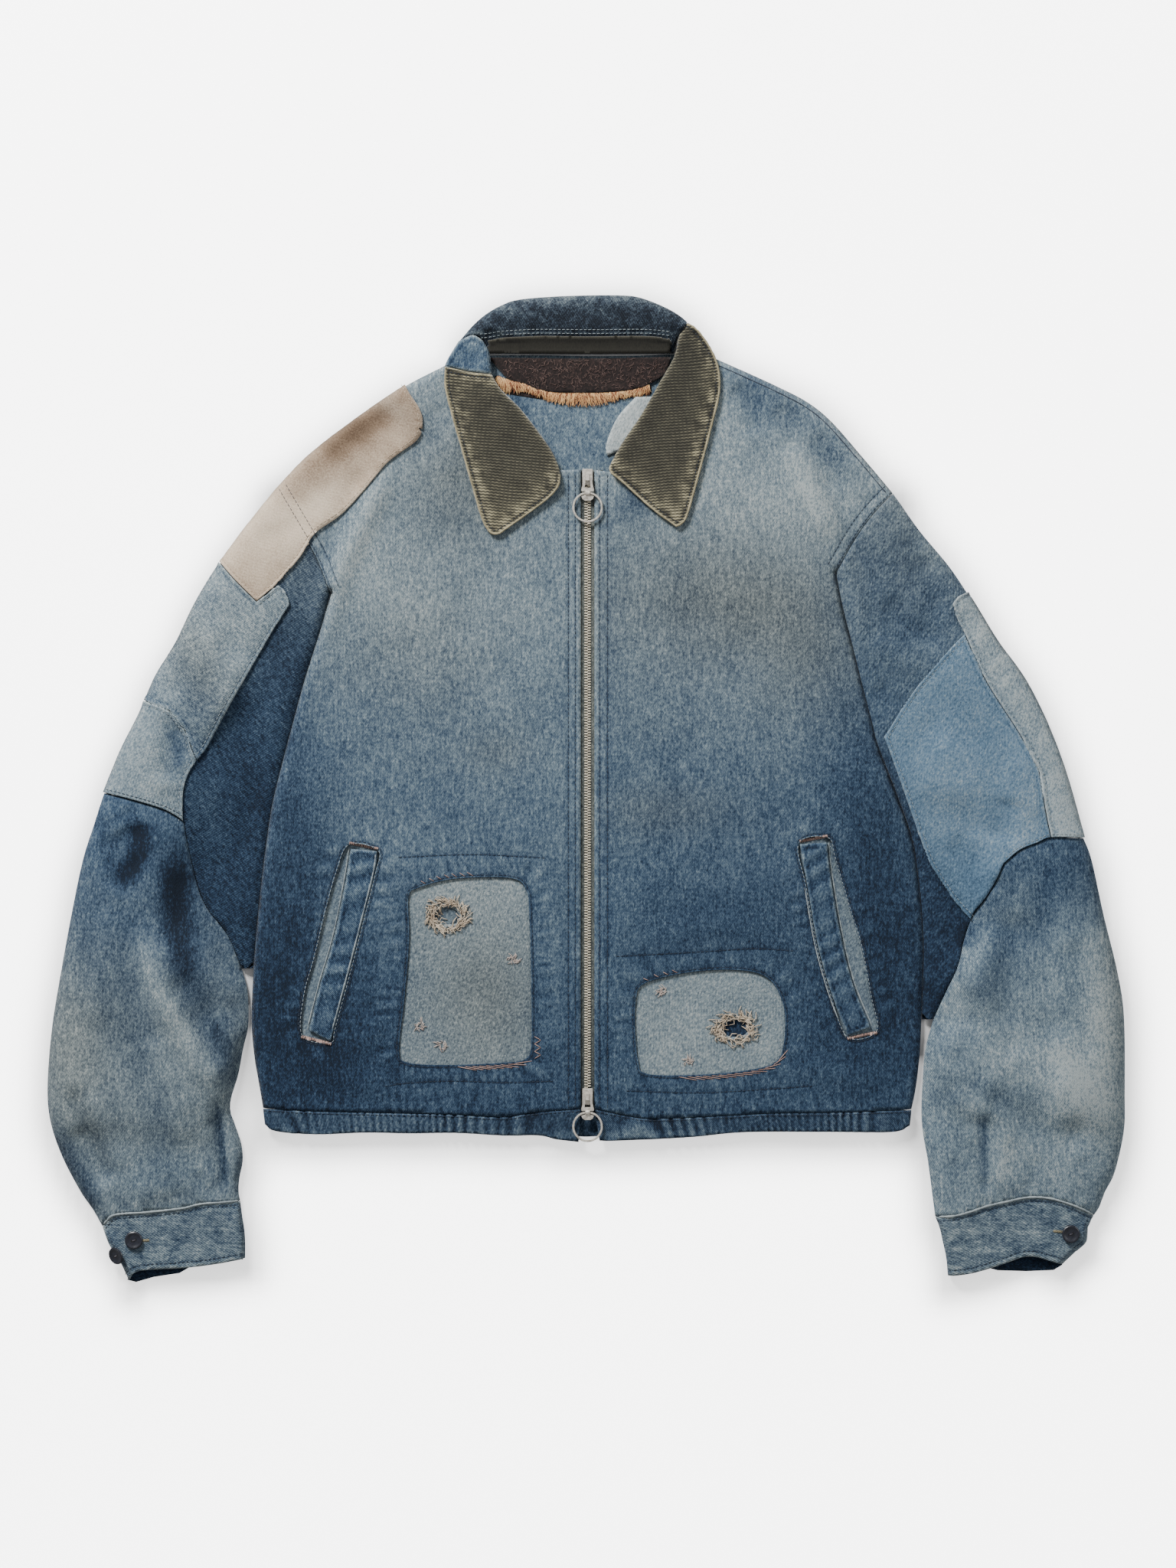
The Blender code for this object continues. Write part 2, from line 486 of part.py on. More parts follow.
def mesh_object(name, verts, faces, finish, wall=None):
    """A named object from points in millimetres, made a wall of that thickness with Solidify."""
    placed = np.array(verts, float)
    placed[:, :2] -= CENTRE
    mesh = bpy.data.meshes.new(name)
    mesh.from_pydata([tuple(v) for v in placed * MM], [], [tuple(f) for f in faces])
    mesh.shade_smooth()
    mesh.set_sharp_from_angle(angle=math.radians(50))
    mesh.materials.append(finish)
    obj = bpy.data.objects.new(name, mesh)
    JACKET.objects.link(obj)
    if wall:
        solid = obj.modifiers.new("wall", "SOLIDIFY")
        solid.thickness = wall * MM
        solid.offset = -1.0
    return obj


def sheet(name, outline, top, finish, wall, **fill_options):
    """A wall of cloth whose outer face has the height that top gives."""
    plan, faces = fill(outline, **fill_options)
    verts = np.column_stack([plan, top(plan)])
    mesh_object(name, verts, faces, finish, wall)
    return verts, faces


def tube(name, outline, open_lines, top, finish, wall, low_step, **fill_options):
    """A tube of cloth laid flat: a front sheet over a back sheet, joined where no run is open."""
    plan, faces = fill(outline, **fill_options)
    upper = np.column_stack([plan, top(plan)])
    rim = borders(faces)[0]
    low_plan, low_faces = fill(plan[rim], bends=shrunk(plan[rim], RIM), step=low_step)
    edge_distance = nearest(low_plan, closed(plan[rim]))[0]
    lift = np.clip(1 - edge_distance / RIM, 0, 1)
    is_open = np.zeros(len(low_plan), bool)
    for line in open_lines:
        near = nearest(low_plan, line)[0] < 4 * SEAM
        at_end = np.minimum(np.linalg.norm(low_plan - line[0], axis=1), np.linalg.norm(low_plan - line[-1], axis=1))
        is_open |= near & (at_end > 2.0)
        lift *= np.clip(nearest(low_plan, line)[0] / (2 * RIM), 0, 1)
    place, extra = {}, []
    for i, p in enumerate(low_plan):
        shared = edge_distance[i] < 1e-3 and not is_open[i]
        if shared:
            place[i] = rim[int(np.argmin(np.linalg.norm(plan[rim] - p, axis=1)))]
        else:
            place[i] = len(upper) + len(extra)
            extra.append((*p, RIM * lift[i]))
    under = [tuple(place[i] for i in reversed(f)) for f in low_faces]
    mesh_object(name, np.vstack([upper, extra]), faces + under, finish, wall)
    return upper, faces


def normals(verts, faces):
    """The mean normal at each point."""
    total = np.zeros_like(verts)
    for a, b, c in faces:
        total[[a, b, c]] += np.cross(verts[b] - verts[a], verts[c] - verts[a])
    return total / np.maximum(np.linalg.norm(total, axis=1)[:, None], 1e-9)


def joined(first, second):
    """Two sheets as one, their points merged along the seam between them."""
    verts, faces = first
    more, more_faces = second
    place, kept = {}, []
    for i, p in enumerate(more):
        away = np.linalg.norm(verts[:, :2] - p[:2], axis=1)
        if away.min() < 4 * SEAM:
            place[i] = int(away.argmin())
        else:
            place[i] = len(verts) + len(kept)
            kept.append(p)
    moved = [tuple(place[i] for i in f) for f in more_faces]
    return np.vstack([verts, kept]), faces + [f for f in moved if len(set(f)) == 3]


def patch(name, cloth, region, seams, finish, wall=PATCH):
    """A patch: the faces of the cloth beneath that lie in the region, moved out from it."""
    verts, faces = cloth
    middle = np.array([verts[list(f)].mean(axis=0)[:2] for f in faces])
    chosen = [f for f, k in zip(faces, inside(middle, np.array(region, float))) if k]
    up = only_used(normals(verts, faces), chosen)[0]
    verts, chosen = only_used(verts, chosen)
    near = np.min([nearest(verts[:, :2], smooth(seam))[0] for seam in seams], axis=0) < 4 * SEAM
    moved = verts + up * (LAY + wall)
    for run in borders(chosen):
        for before, here, after in zip(run[-1:] + run[:-1], run, run[1:] + run[:1]):
            if not near[here]:
                continue
            if near[before] and near[after]:
                along = verts[after, :2] - verts[before, :2]
                step = np.array([-along[1], along[0]]) / np.linalg.norm(along)
                moved[here, :2] += step * SEAM * 1.3
            else:
                way = verts[after if near[before] else before] - verts[here]
                moved[here] += way / np.linalg.norm(way) * SEAM * 1.6
    return mesh_object(name, moved, chosen, finish, wall)


def flat_strip(name, outline, level, finish, wall, **fill_options):
    return sheet(name, outline, lambda plan: np.full(len(plan), level), finish, wall, **fill_options)


def add_back(finish):
    """The back lies flat on the floor, its rim lifted a little towards the side seams."""
    outline = shrunk(loop(LEFT_SHOULDER, LEFT_ARMHOLE, LEFT_SIDE_TOP, LEFT_SIDE_LOW, LEFT_HEM_SEAM,
                          [(-4.8, -250), (5.4, -250)], back(RIGHT_HEM_SEAM), back(RIGHT_SIDE_LOW),
                          back(RIGHT_SIDE_TOP), back(RIGHT_ARMHOLE), back(RIGHT_SHOULDER), back(BACK_NECK)), 0.5)
    plan, faces = fill(outline, bends=shrunk(outline, RIM), step=80)
    lift = np.zeros(len(plan))
    for edge in BODY_EDGES:
        lift = np.maximum(lift, BACK_LIFT * np.clip(1 - nearest(plan, smooth(edge, 6.0))[0] / RIM, 0, 1))
    verts = np.column_stack([plan, lift])
    mesh_object("back", verts, [f[::-1] for f in faces], finish, DENIM)


def add_front(name, runs, holes, marks, finish):
    return sheet(name, shrunk(loop(*runs)), drape, finish, DENIM, holes=holes, marks=marks, bends=BENDS)


def pucker(points):
    """The gathers that the hem draws its cloth into, fading out at the zip and at the sides."""
    away = np.abs(points[:, 0] - ZIP_X)
    fade = np.clip((away - 16) / 20, 0, 1) * np.clip((248 - away) / 20, 0, 1)
    return PUCKER_HEIGHT * fade * np.cos(2 * math.pi * away / PUCKER_PITCH)


def add_hem(name, seam, low, side_end, zip_end, finish):
    """A front's hem: a doubled band, gathered all along."""
    outline = shrunk(loop(seam, zip_end, back(low), side_end, step=PUCKER_PITCH / 2))
    waves = np.arange(-250, 251, PUCKER_PITCH / 2) + ZIP_X
    rows = np.array([(x, y) for x in waves for y in (-257.5, -263.5)])
    rows = rows[(nearest(rows, closed(outline))[0] > 2.5) & (np.abs(rows[:, 0] - ZIP_X) > 16)]
    sheet(name, outline, lambda plan: drape(plan) + pucker(plan), finish, HEM, bends=rows, step=200)


def add_hem_back(finish):
    left_seam = [(-246, -250.2)] + LEFT_HEM_SEAM[1:]
    right_seam = [(246, -251.2)] + RIGHT_HEM_SEAM[1:]
    low = [(246, -264), (183, -266), (80, -269), (10, -272), (-10, -272), (-66, -268), (-140, -266.5), (-213, -267),
           (-246, -262)]
    outline = shrunk(loop(left_seam, [(-4.8, -250), (5.4, -250)], back(right_seam), [right_seam[0], low[0]], low,
                          [low[-1], left_seam[0]], step=40), 0.4)
    flat_strip("hem_back", outline, HEM_BACK, finish, HEM_BACK, step=200)


def add_window(side, outline, hole, patch_finish, backing_finish):
    """The patch behind a window of a front, and the denim behind the worn hole in it."""
    window, worn = ring_of(outline), ring_of(hole, 8.0)
    sheet(f"patch_front_{side}", shrunk(window, -6.0), lambda plan: drape(plan) - DENIM - 0.4, patch_finish, PATCH,
          holes=[worn], step=34)
    sheet(f"backing_front_{side}", shrunk(worn, -12.0), lambda plan: drape(plan) - DENIM - PATCH - 0.8,
          backing_finish, 0.9, step=40)
    return window


def add_pocket(side, outline, welt_edge, inner_edge, welt_finish, lining_finish):
    """A slanted pocket: its mouth is cut through the front, with a welt in it and the lining behind."""
    mouth = ring_of(outline)
    welt = shrunk(loop(welt_edge, [welt_edge[-1], inner_edge[0]], inner_edge, [inner_edge[-1], welt_edge[0]]))
    sheet(f"welt_{side}", shrunk(welt, 0.3), lambda plan: drape(plan) + 0.1, welt_finish, 1.6, step=40)
    sheet(f"lining_{side}", shrunk(mouth, -5.0), lambda plan: drape(plan) - 2.1, lining_finish, 0.8, step=40)
    return mouth


def leaf_height(crease):
    """A collar leaf lies on the front, and turns up and over at its crease."""
    line = smooth(crease, 4.0)

    def height(plan):
        distance = nearest(plan, line)[0]
        bed = loft(plan)
        full = bed + LEAF_LIFT + LEAF_CREASE * np.exp(-(distance / 14) ** 2)
        return bed + LEAF_LOW + (full - bed - LEAF_LOW) * rolled(distance, LEAF_ROLL)
    return height


def add_leaf(name, crease, others, finish, height=None):
    outline = shrunk(loop(crease, *others, step=16))
    bends = np.concatenate([beside(smooth(crease, 16), side * LEAF_ROLL * share)
                            for side in (-1, 1) for share in (0.15, 0.6, 1.9)])
    sheet(name, outline, height or leaf_height(crease), finish, LEAF, bends=bends, step=24)


def collar_height(plan):
    """The folded back of the collar: highest along its middle, down to the floor at its fold."""
    fold = nearest(plan, smooth(COLLAR_FOLD, 5.0))[0]
    up = np.clip((plan[:, 1] - 342) / 24, 0, 1)
    full = 4.4 + (COLLAR_TOP - 4.4) * up * up * (3 - 2 * up)
    return RIM + (full - RIM) * rolled(fold, 11.0)


def add_collar(denim, corduroy, wool, fringe):
    right_end = [(78.5, 366.3), (71.5, 355), (68, 342.5)]
    neck = [(68, 342.5), (0, 342), (-80, 342.5)]
    left_end = [(-80, 342.5), (-82.6, 353), (-90, 356.2), (-102.5, 350)]
    outline = shrunk(loop(COLLAR_FOLD, right_end, neck, left_end, step=18))
    bends = np.concatenate([beside(smooth(COLLAR_FOLD, 18), -share) for share in (1.6, 6.6, 14)])
    foot = smooth(COLLAR_FOOT, 18)
    collar = tube("collar_back", outline, [path(right_end, neck, left_end)], collar_height, denim, LEAF,
                  60, marks=[foot], bends=bends, step=22)
    patch("collar_band", collar, [(-77, 330)] + COLLAR_FOOT[1:-1] + [(66, 353), (64, 330)], [COLLAR_FOOT], corduroy)
    add_leaf("collar_leaf_left", LEFT_CREASE, [LEFT_LEAF_EDGE, LEFT_LEAF_OUTER, LEFT_LEAF_LOW], corduroy)
    add_leaf("collar_leaf_right", RIGHT_CREASE, [RIGHT_LEAF_OUTER, RIGHT_LEAF_LOW], corduroy)
    add_leaf("collar_wing_left", back(LEFT_WING_CREASE), [back(LEFT_WING_TOP), back(LEFT_WING_OUTER),
                                                         back(LEFT_LEAF_EDGE)], denim)
    facing = shrunk(loop([(-78, 339.5), (0, 339), (66, 340)], [(66, 340), (62, 323)], back(FACING_LOW[1:-1]),
                         [FACING_LOW[1], (-78, 339.5)]))
    flat_strip("neck_facing", facing, 3.4, wool, DENIM, step=60)
    add_fringe(fringe)


def add_fringe(finish):
    """The fringe under the facing's lower edge: strands cut from the edge of a narrow strip."""
    low = smooth(FRINGE_LOW, 3.0)
    count = FRINGE_STRANDS
    share = np.linspace(0, 1, count + 1)
    along = np.concatenate([[0], np.cumsum(np.linalg.norm(np.diff(low, axis=0), axis=1))])
    at = lambda t: np.array([np.interp(t * along[-1], along, low[:, k]) for k in (0, 1)])
    points = []
    for i in range(count):
        root, tip = at(share[i]), at((share[i] + share[i + 1]) / 2)
        reach = FRINGE_LENGTH * (0.82 + 0.18 * math.sin(2.4 * i))
        points += [root + (0, FRINGE_LENGTH), tip + (0.6 * math.sin(1.7 * i), FRINGE_LENGTH - reach)]
    points.append(at(1.0) + (0, FRINGE_LENGTH))
    top = [at(t) + (0, FRINGE_LENGTH + 3.5) for t in np.linspace(1, 0, 9)]
    outline = np.array(points + top)
    flat_strip("neck_fringe", outline, 1.9, finish, 0.5, step=200)


def add_cuff(name, seam, inner, low, outer, finish):
    outline = shrunk(loop(seam, inner, low, outer, step=14))
    bends = np.vstack([shrunk(outline, RIM), shrunk(outline, 2.4 * RIM)])
    return tube(name, outline, [path(seam), path(low)], drape, finish, CUFF, 40, bends=bends, step=30)


def cube(name, low, high, finish, where=(0, 0, 0)):
    """A box between two corners, in millimetres from its place."""
    mesh = bpy.data.meshes.new(name)
    shape = bmesh.new()
    bmesh.ops.create_cube(shape, size=1)
    middle = [(a + b) / 2 for a, b in zip(low, high)]
    size = [b - a for a, b in zip(low, high)]
    for v in shape.verts:
        v.co = [(m + s * c) * MM for m, s, c in zip(middle, size, v.co)]
    shape.to_mesh(mesh)
    shape.free()
    obj = bpy.data.objects.new(name, mesh)
    if finish:
        mesh.materials.append(finish)
        JACKET.objects.link(obj)
    else:
        CUTTERS.objects.link(obj)
        obj.hide_render = True
        obj.display_type = "WIRE"
    obj.location = at_place(where)
    return obj


def at_place(where):
    return ((where[0] - CENTRE[0]) * MM, (where[1] - CENTRE[1]) * MM, where[2] * MM)


def cylinder_x(name, radius, width, where):
    """A cylinder along X, as a cutter or a piece to add."""
    mesh = bpy.data.meshes.new(name)
    shape = bmesh.new()
    bmesh.ops.create_cone(shape, cap_ends=True, segments=16, radius1=radius * MM, radius2=radius * MM,
                          depth=width * MM)
    shape.to_mesh(mesh)
    shape.free()
    obj = bpy.data.objects.new(name, mesh)
    CUTTERS.objects.link(obj)
    obj.hide_render = True
    obj.display_type = "WIRE"
    obj.rotation_euler = (0, math.pi / 2, 0)
    obj.location = at_place(where)
    return obj


def boolean(obj, other, operation):
    cut = obj.modifiers.new(other.name, "BOOLEAN")
    cut.operation = operation
    cut.object = other


def add_slider(name, middle, toward_chain, finish):
    """A slider: an upper and a lower plate joined by a post, with a lug that carries the tab."""
    half = SLIDER_LENGTH / 2
    body = cube(name, (-SLIDER_WIDTH / 2, -half, SLIDER_LOW), (SLIDER_WIDTH / 2, half, SLIDER_TOP), finish,
                (ZIP_X, middle, 0))
    edge = body.modifiers.new("edge", "BEVEL")
    edge.width = 0.5 * MM
    edge.segments = 1
    for label, low, high in (("channel", (-9, -half - 9, CHAIN_LOW - 0.35), (9, half - 3.4, CHAIN_TOP + 0.35)),
                             ("tape_way_left", (-9, -half - 9, CHAIN_LOW - 0.35), (-1.4, half + 9, CHAIN_TOP + 0.35)),
                             ("tape_way_right", (1.4, -half - 9, CHAIN_LOW - 0.35), (9, half + 9, CHAIN_TOP + 0.35))):
        if toward_chain > 0:
            low, high = (low[0], -high[1], low[2]), (high[0], -low[1], high[2])
        boolean(body, cube(f"{name}_{label}", low, high, None, (ZIP_X, middle, 0)), "DIFFERENCE")
    pivot = UPPER_PIVOT_Y if middle > 0 else LOWER_PIVOT_Y
    lug = cube(f"{name}_lug", (-LUG / 2, -2.6, SLIDER_TOP - 0.8), (LUG / 2, 2.6, PIVOT_Z + 1.0), None,
               (ZIP_X, pivot, 0))
    boolean(body, lug, "UNION")


def add_tab(name, pivot_y, ring_x, finish):
    """A pull tab: two legs beside the slider's lug, an eye round the ring's wire, and a lens-shaped end."""
    reach = TAB_REACH
    half = [(1.9, 1.3), (3.1, 1.3), (3.5, -4), (5.0, 2.6 - reach), (4.6, 1.25 - reach), (1.7, 1.25 - reach),
            (1.7, -1.4 - reach), (4.9, -2.6 - reach), (4.1, -4.6 - reach), (2.2, -5.9 - reach)]
    slot = [(1.9, -3.2), (2.4, 4.2 - reach)]
    right = half
    left = [(-x, y) for x, y in back(half)]
    outline = right + left + [(-1.9, 1.3), (-slot[0][0], slot[0][1]), (-slot[1][0], slot[1][1]),
                              (slot[1][0], slot[1][1]), (slot[0][0], slot[0][1])]
    outline = [p for i, p in enumerate(outline) if p != outline[i - 1]]
    mesh = bpy.data.meshes.new(name)
    shape = bmesh.new()
    corners = [shape.verts.new((x * MM, y * MM, TAB_WALL / 2 * MM)) for x, y in outline]
    shape.faces.new(corners)
    bmesh.ops.recalc_face_normals(shape, faces=shape.faces)
    for face in shape.faces:
        if face.normal.z < 0:
            face.normal_flip()
    bmesh.ops.triangulate(shape, faces=shape.faces)
    shape.to_mesh(mesh)
    shape.free()
    mesh.materials.append(finish)
    tab = bpy.data.objects.new(name, mesh)
    JACKET.objects.link(tab)
    wall = tab.modifiers.new("wall", "SOLIDIFY")
    wall.thickness = TAB_WALL * MM
    wall.offset = -1.0
    slope = math.asin((PIVOT_Z - RING_Z) / TAB_REACH)
    tab.location = at_place((ZIP_X, pivot_y, PIVOT_Z))
    tab.rotation_euler = (slope, 0, 0)
    eye_y = pivot_y - reach * math.cos(slope)
    boolean(tab, cylinder_x(f"{name}_eye", EYE_OUTER, 3.4, (ZIP_X, eye_y, RING_Z)), "UNION")
    boolean(tab, cylinder_x(f"{name}_bore", EYE_INNER, 8.0, (ZIP_X, eye_y, RING_Z)), "DIFFERENCE")
    return eye_y


def add_ring(name, eye_y, finish):
    """A ring through the tab's eye. Its origin lies on the wire's own line there."""
    bpy.ops.mesh.primitive_torus_add(major_radius=RING_RADIUS * MM, minor_radius=RING_WIRE * MM,
                                     major_segments=32, minor_segments=6)
    ring = bpy.context.object
    ring.name = name
    ring.data.name = name
    for v in ring.data.vertices:
        v.co.y -= RING_RADIUS * MM
    ring.data.shade_smooth()
    ring.data.materials.append(finish)
    for group in list(ring.users_collection):
        group.objects.unlink(ring)
    JACKET.objects.link(ring)
    ring.location = at_place((ZIP_X, eye_y, RING_Z))


def add_button(name, where, tilt, finish):
    """A flat button, sewn on the cuff: its place is the middle of its underside."""
    mesh = bpy.data.meshes.new(name)
    shape = bmesh.new()
    bmesh.ops.create_cone(shape, cap_ends=True, segments=20, radius1=BUTTON_RADIUS * MM,
                          radius2=(BUTTON_RADIUS - 0.6) * MM, depth=BUTTON_WALL * MM)
    for v in shape.verts:
        v.co.z += BUTTON_WALL / 2 * MM
    shape.to_mesh(mesh)
    shape.free()
    mesh.materials.append(finish)
    obj = bpy.data.objects.new(name, mesh)
    JACKET.objects.link(obj)
    obj.location = at_place(where)
    obj.rotation_euler = tilt


def add_zip(tape, metal, aged):
    for name, low, high in (("zip_tape_left", -TAPE_OUTER, -TAPE_INNER), ("zip_tape_right", TAPE_INNER, TAPE_OUTER)):
        cube(name, (low, ZIP_LOW_Y, TAPE_TOP - TAPE), (high, ZIP_TOP_Y, TAPE_TOP), tape, (ZIP_X, 0, 0))
    cube("zip_chain", (-CHAIN_HALF, LOWER_PIVOT_Y - 1, CHAIN_LOW), (CHAIN_HALF, UPPER_PIVOT_Y - 2, CHAIN_TOP),
         aged, (ZIP_X, 0, 0))
    for level, pivot, toward in (("upper", UPPER_PIVOT_Y, -1), ("lower", LOWER_PIVOT_Y, 1)):
        add_slider(f"slider_{level}", pivot - toward * 0.2, toward, metal)
        eye_y = add_tab(f"tab_{level}", pivot, ZIP_X, metal)
        add_ring(f"ring_{level}", eye_y, metal)


def build():
    clear_scene()
    faded = material("denim_faded", (0.33, 0.42, 0.52), 0.9)
    indigo = material("denim_indigo", (0.10, 0.14, 0.24), 0.9)
    mid = material("denim_mid", (0.24, 0.31, 0.42), 0.9)
    pale = material("denim_pale", (0.52, 0.60, 0.66), 0.9)
    cream = material("canvas_cream", (0.72, 0.70, 0.60), 0.92)
    corduroy = material("corduroy_olive", (0.27, 0.25, 0.17), 0.95)
    wool = material("wool_brown", (0.17, 0.11, 0.08), 0.95)
    thread = material("fringe_rust", (0.60, 0.29, 0.12), 0.9)
    tape = material("zip_tape_dark", (0.09, 0.10, 0.13), 0.85)
    metal = material("zip_metal", (0.62, 0.60, 0.56), 0.32, 1.0)
    aged = material("zip_teeth", (0.42, 0.40, 0.35), 0.4, 1.0)
    button = material("button_navy", (0.03, 0.04, 0.07), 0.35)

    add_back(faded)
    zip_left = [(-4.8, -250), (-4.8, 251.5)]
    zip_right = [(5.4, -250), (5.4, 251)]
    left_window = add_window("left", LEFT_WINDOW, LEFT_HOLE, pale, mid)
    right_window = add_window("right", RIGHT_WINDOW, RIGHT_HOLE, pale, indigo)
    left_pocket = add_pocket("left", LEFT_POCKET, LEFT_WELT_EDGE, LEFT_WELT_INNER, mid, pale)
    right_pocket = add_pocket("right", RIGHT_POCKET, RIGHT_WELT_EDGE, RIGHT_WELT_INNER, mid, pale)
    cream_seam = smooth(CREAM_SEAM)
    front_left = add_front("front_left", [LEFT_SHOULDER, LEFT_ARMHOLE, LEFT_SIDE_TOP, LEFT_SIDE_LOW, LEFT_HEM_SEAM,
                                          zip_left, LEFT_NECK], [left_window, left_pocket], [cream_seam], faded)
    add_front("front_right", [RIGHT_NECK, RIGHT_SHOULDER, RIGHT_ARMHOLE, RIGHT_SIDE_TOP, RIGHT_SIDE_LOW,
                              RIGHT_HEM_SEAM, zip_right], [right_window, right_pocket], [], faded)
    add_hem("hem_front_left", LEFT_HEM_SEAM, LEFT_HEM_LOW, [LEFT_HEM_LOW[0], LEFT_HEM_SEAM[0]],
            [LEFT_HEM_SEAM[-1], LEFT_HEM_LOW[-1]], indigo)
    add_hem("hem_front_right", RIGHT_HEM_SEAM, RIGHT_HEM_LOW, [RIGHT_HEM_LOW[0], RIGHT_HEM_SEAM[0]],
            [RIGHT_HEM_SEAM[-1], RIGHT_HEM_LOW[-1]], indigo)
    add_hem_back(indigo)

    left_marks = [smooth(run) for run in (CREAM_SEAM, CREAM_END, ARM_PATCH_INNER, ARM_PATCH_LOW, BAND_INNER)]
    left_sleeve = tube("sleeve_left_upper",
                       shrunk(loop(LEFT_UPPER_ARM, LEFT_ELBOW, LEFT_INNER_ELBOW, LEFT_GUSSET_END,
                                   back(LEFT_SIDE_TOP), back(LEFT_ARMHOLE))),
                       [path(LEFT_ARMHOLE), path(LEFT_ELBOW, LEFT_INNER_ELBOW)], drape, indigo, DENIM, 60,
                       marks=left_marks, bends=BENDS, step=SLEEVE_STEP)
    tube("sleeve_left_lower",
         shrunk(loop(LEFT_FOREARM, LEFT_CUFF_SEAM, back(LEFT_INNER_ARM), back(LEFT_INNER_ELBOW), back(LEFT_ELBOW))),
         [path(LEFT_CUFF_SEAM), path(LEFT_ELBOW, LEFT_INNER_ELBOW)], drape, mid, DENIM, 60, bends=BENDS, step=SLEEVE_STEP)
    right_marks = [smooth(run) for run in (PANEL_TOP, PANEL_SIDE, PANEL_INNER, STRIP_INNER)]
    right_sleeve = tube("sleeve_right_upper",
                        shrunk(loop(RIGHT_UPPER_ARM, RIGHT_ELBOW, RIGHT_INNER_ELBOW, RIGHT_GUSSET_END,
                                    back(RIGHT_SIDE_TOP), back(RIGHT_ARMHOLE))),
                        [path(RIGHT_ARMHOLE), path(RIGHT_ELBOW, RIGHT_INNER_ELBOW)], drape, mid, DENIM, 60,
                        marks=right_marks, bends=BENDS, step=SLEEVE_STEP)
    tube("sleeve_right_lower",
         shrunk(loop(RIGHT_FOREARM, RIGHT_CUFF_SEAM, back(RIGHT_INNER_ARM), back(RIGHT_INNER_ELBOW),
                     back(RIGHT_ELBOW))),
         [path(RIGHT_CUFF_SEAM), path(RIGHT_ELBOW, RIGHT_INNER_ELBOW)], drape, mid, DENIM, 60, bends=BENDS, step=SLEEVE_STEP)

    shoulder = joined(front_left, left_sleeve)
    patch("patch_shoulder_left", shoulder, CREAM_SEAM + CREAM_END[1:] + [(-330, 200), (-240, 290), (-150, 340)],
          [CREAM_SEAM, CREAM_END], cream)
    patch("patch_arm_left", left_sleeve, ARM_PATCH_INNER + ARM_PATCH_LOW[1:] + [(-350, 150), (-310, 195)]
          + back(CREAM_END), [ARM_PATCH_INNER, ARM_PATCH_LOW, CREAM_END], pale)
    patch("patch_elbow_left", left_sleeve, BAND_INNER + [(-316, -40), (-400, -20), (-370, 90)]
          + back(ARM_PATCH_LOW[:5]), [BAND_INNER, ARM_PATCH_LOW[:5]], pale)
    patch("patch_elbow_right", right_sleeve, PANEL_TOP + PANEL_SIDE[1:] + PANEL_INNER[1:]
          + [(312, -96), (330, -66), (364, -45)] + back(STRIP_INNER[4:]),
          [PANEL_TOP, PANEL_SIDE, PANEL_INNER, STRIP_INNER[4:]],
          pale)
    patch("patch_strip_right", right_sleeve, STRIP_INNER + [(364, -60), (420, -50), (360, 160), (305, 170)],
          [STRIP_INNER], pale)

    add_cuff("cuff_left", LEFT_CUFF_SEAM, LEFT_CUFF_INNER, LEFT_CUFF_LOW, LEFT_CUFF_OUTER, mid)
    add_cuff("cuff_right", RIGHT_CUFF_SEAM, RIGHT_CUFF_INNER, RIGHT_CUFF_LOW, RIGHT_CUFF_OUTER, mid)
    add_collar(indigo, corduroy, wool, thread)
    pale_piece = shrunk(loop(PALE_EDGE, [PALE_EDGE[-1], PALE_OUTER[1]], PALE_OUTER[1:], [PALE_OUTER[-1], PALE_EDGE[0]]))
    flat_strip("neck_inside_right", pale_piece, 2.6, pale, PATCH, step=60)
    add_zip(tape, metal, aged)
    for name, x, y, lift, tilt in BUTTONS:
        level = float(drape(np.array([[x, y]]))[0])
        add_button(name, (x, y, level + lift), tilt, button)


BENDS = drape_points(EDGES, FOLDS)
JACKET = bpy.data.collections.new("patched_jacket")
CUTTERS = bpy.data.collections.new("cutters")
bpy.context.scene.collection.children.link(JACKET)
bpy.context.scene.collection.children.link(CUTTERS)
build()
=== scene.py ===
"""The looks of a patched denim zip jacket laid flat, worked round its CAD frame.

Lengths are millimetres on the floor plan, as in the outlines below, and become metres when a mesh is
made. Every cloth piece is a fine thin wall on the same drape as its CAD solid, with the folds, the
puckers along the seams and the sewing added, and it stands for that solid.
"""
import math

import bpy
import numpy as np
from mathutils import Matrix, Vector
from mathutils.bvhtree import BVHTree
from mathutils.geometry import delaunay_2d_cdt
from mathutils.kdtree import KDTree


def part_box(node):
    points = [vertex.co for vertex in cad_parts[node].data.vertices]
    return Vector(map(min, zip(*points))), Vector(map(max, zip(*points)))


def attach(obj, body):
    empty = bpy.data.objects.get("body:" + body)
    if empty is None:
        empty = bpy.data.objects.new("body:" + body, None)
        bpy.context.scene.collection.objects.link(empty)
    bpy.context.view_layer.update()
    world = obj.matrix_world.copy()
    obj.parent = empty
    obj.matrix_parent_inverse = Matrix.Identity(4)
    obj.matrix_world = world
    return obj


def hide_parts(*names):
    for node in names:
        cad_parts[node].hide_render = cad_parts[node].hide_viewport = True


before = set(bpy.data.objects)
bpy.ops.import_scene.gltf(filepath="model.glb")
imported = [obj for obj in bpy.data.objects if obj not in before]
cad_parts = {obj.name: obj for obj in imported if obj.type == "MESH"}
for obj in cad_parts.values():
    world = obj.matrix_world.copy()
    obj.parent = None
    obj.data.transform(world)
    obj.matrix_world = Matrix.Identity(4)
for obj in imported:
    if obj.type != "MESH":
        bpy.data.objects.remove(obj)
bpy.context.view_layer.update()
MM = 0.001

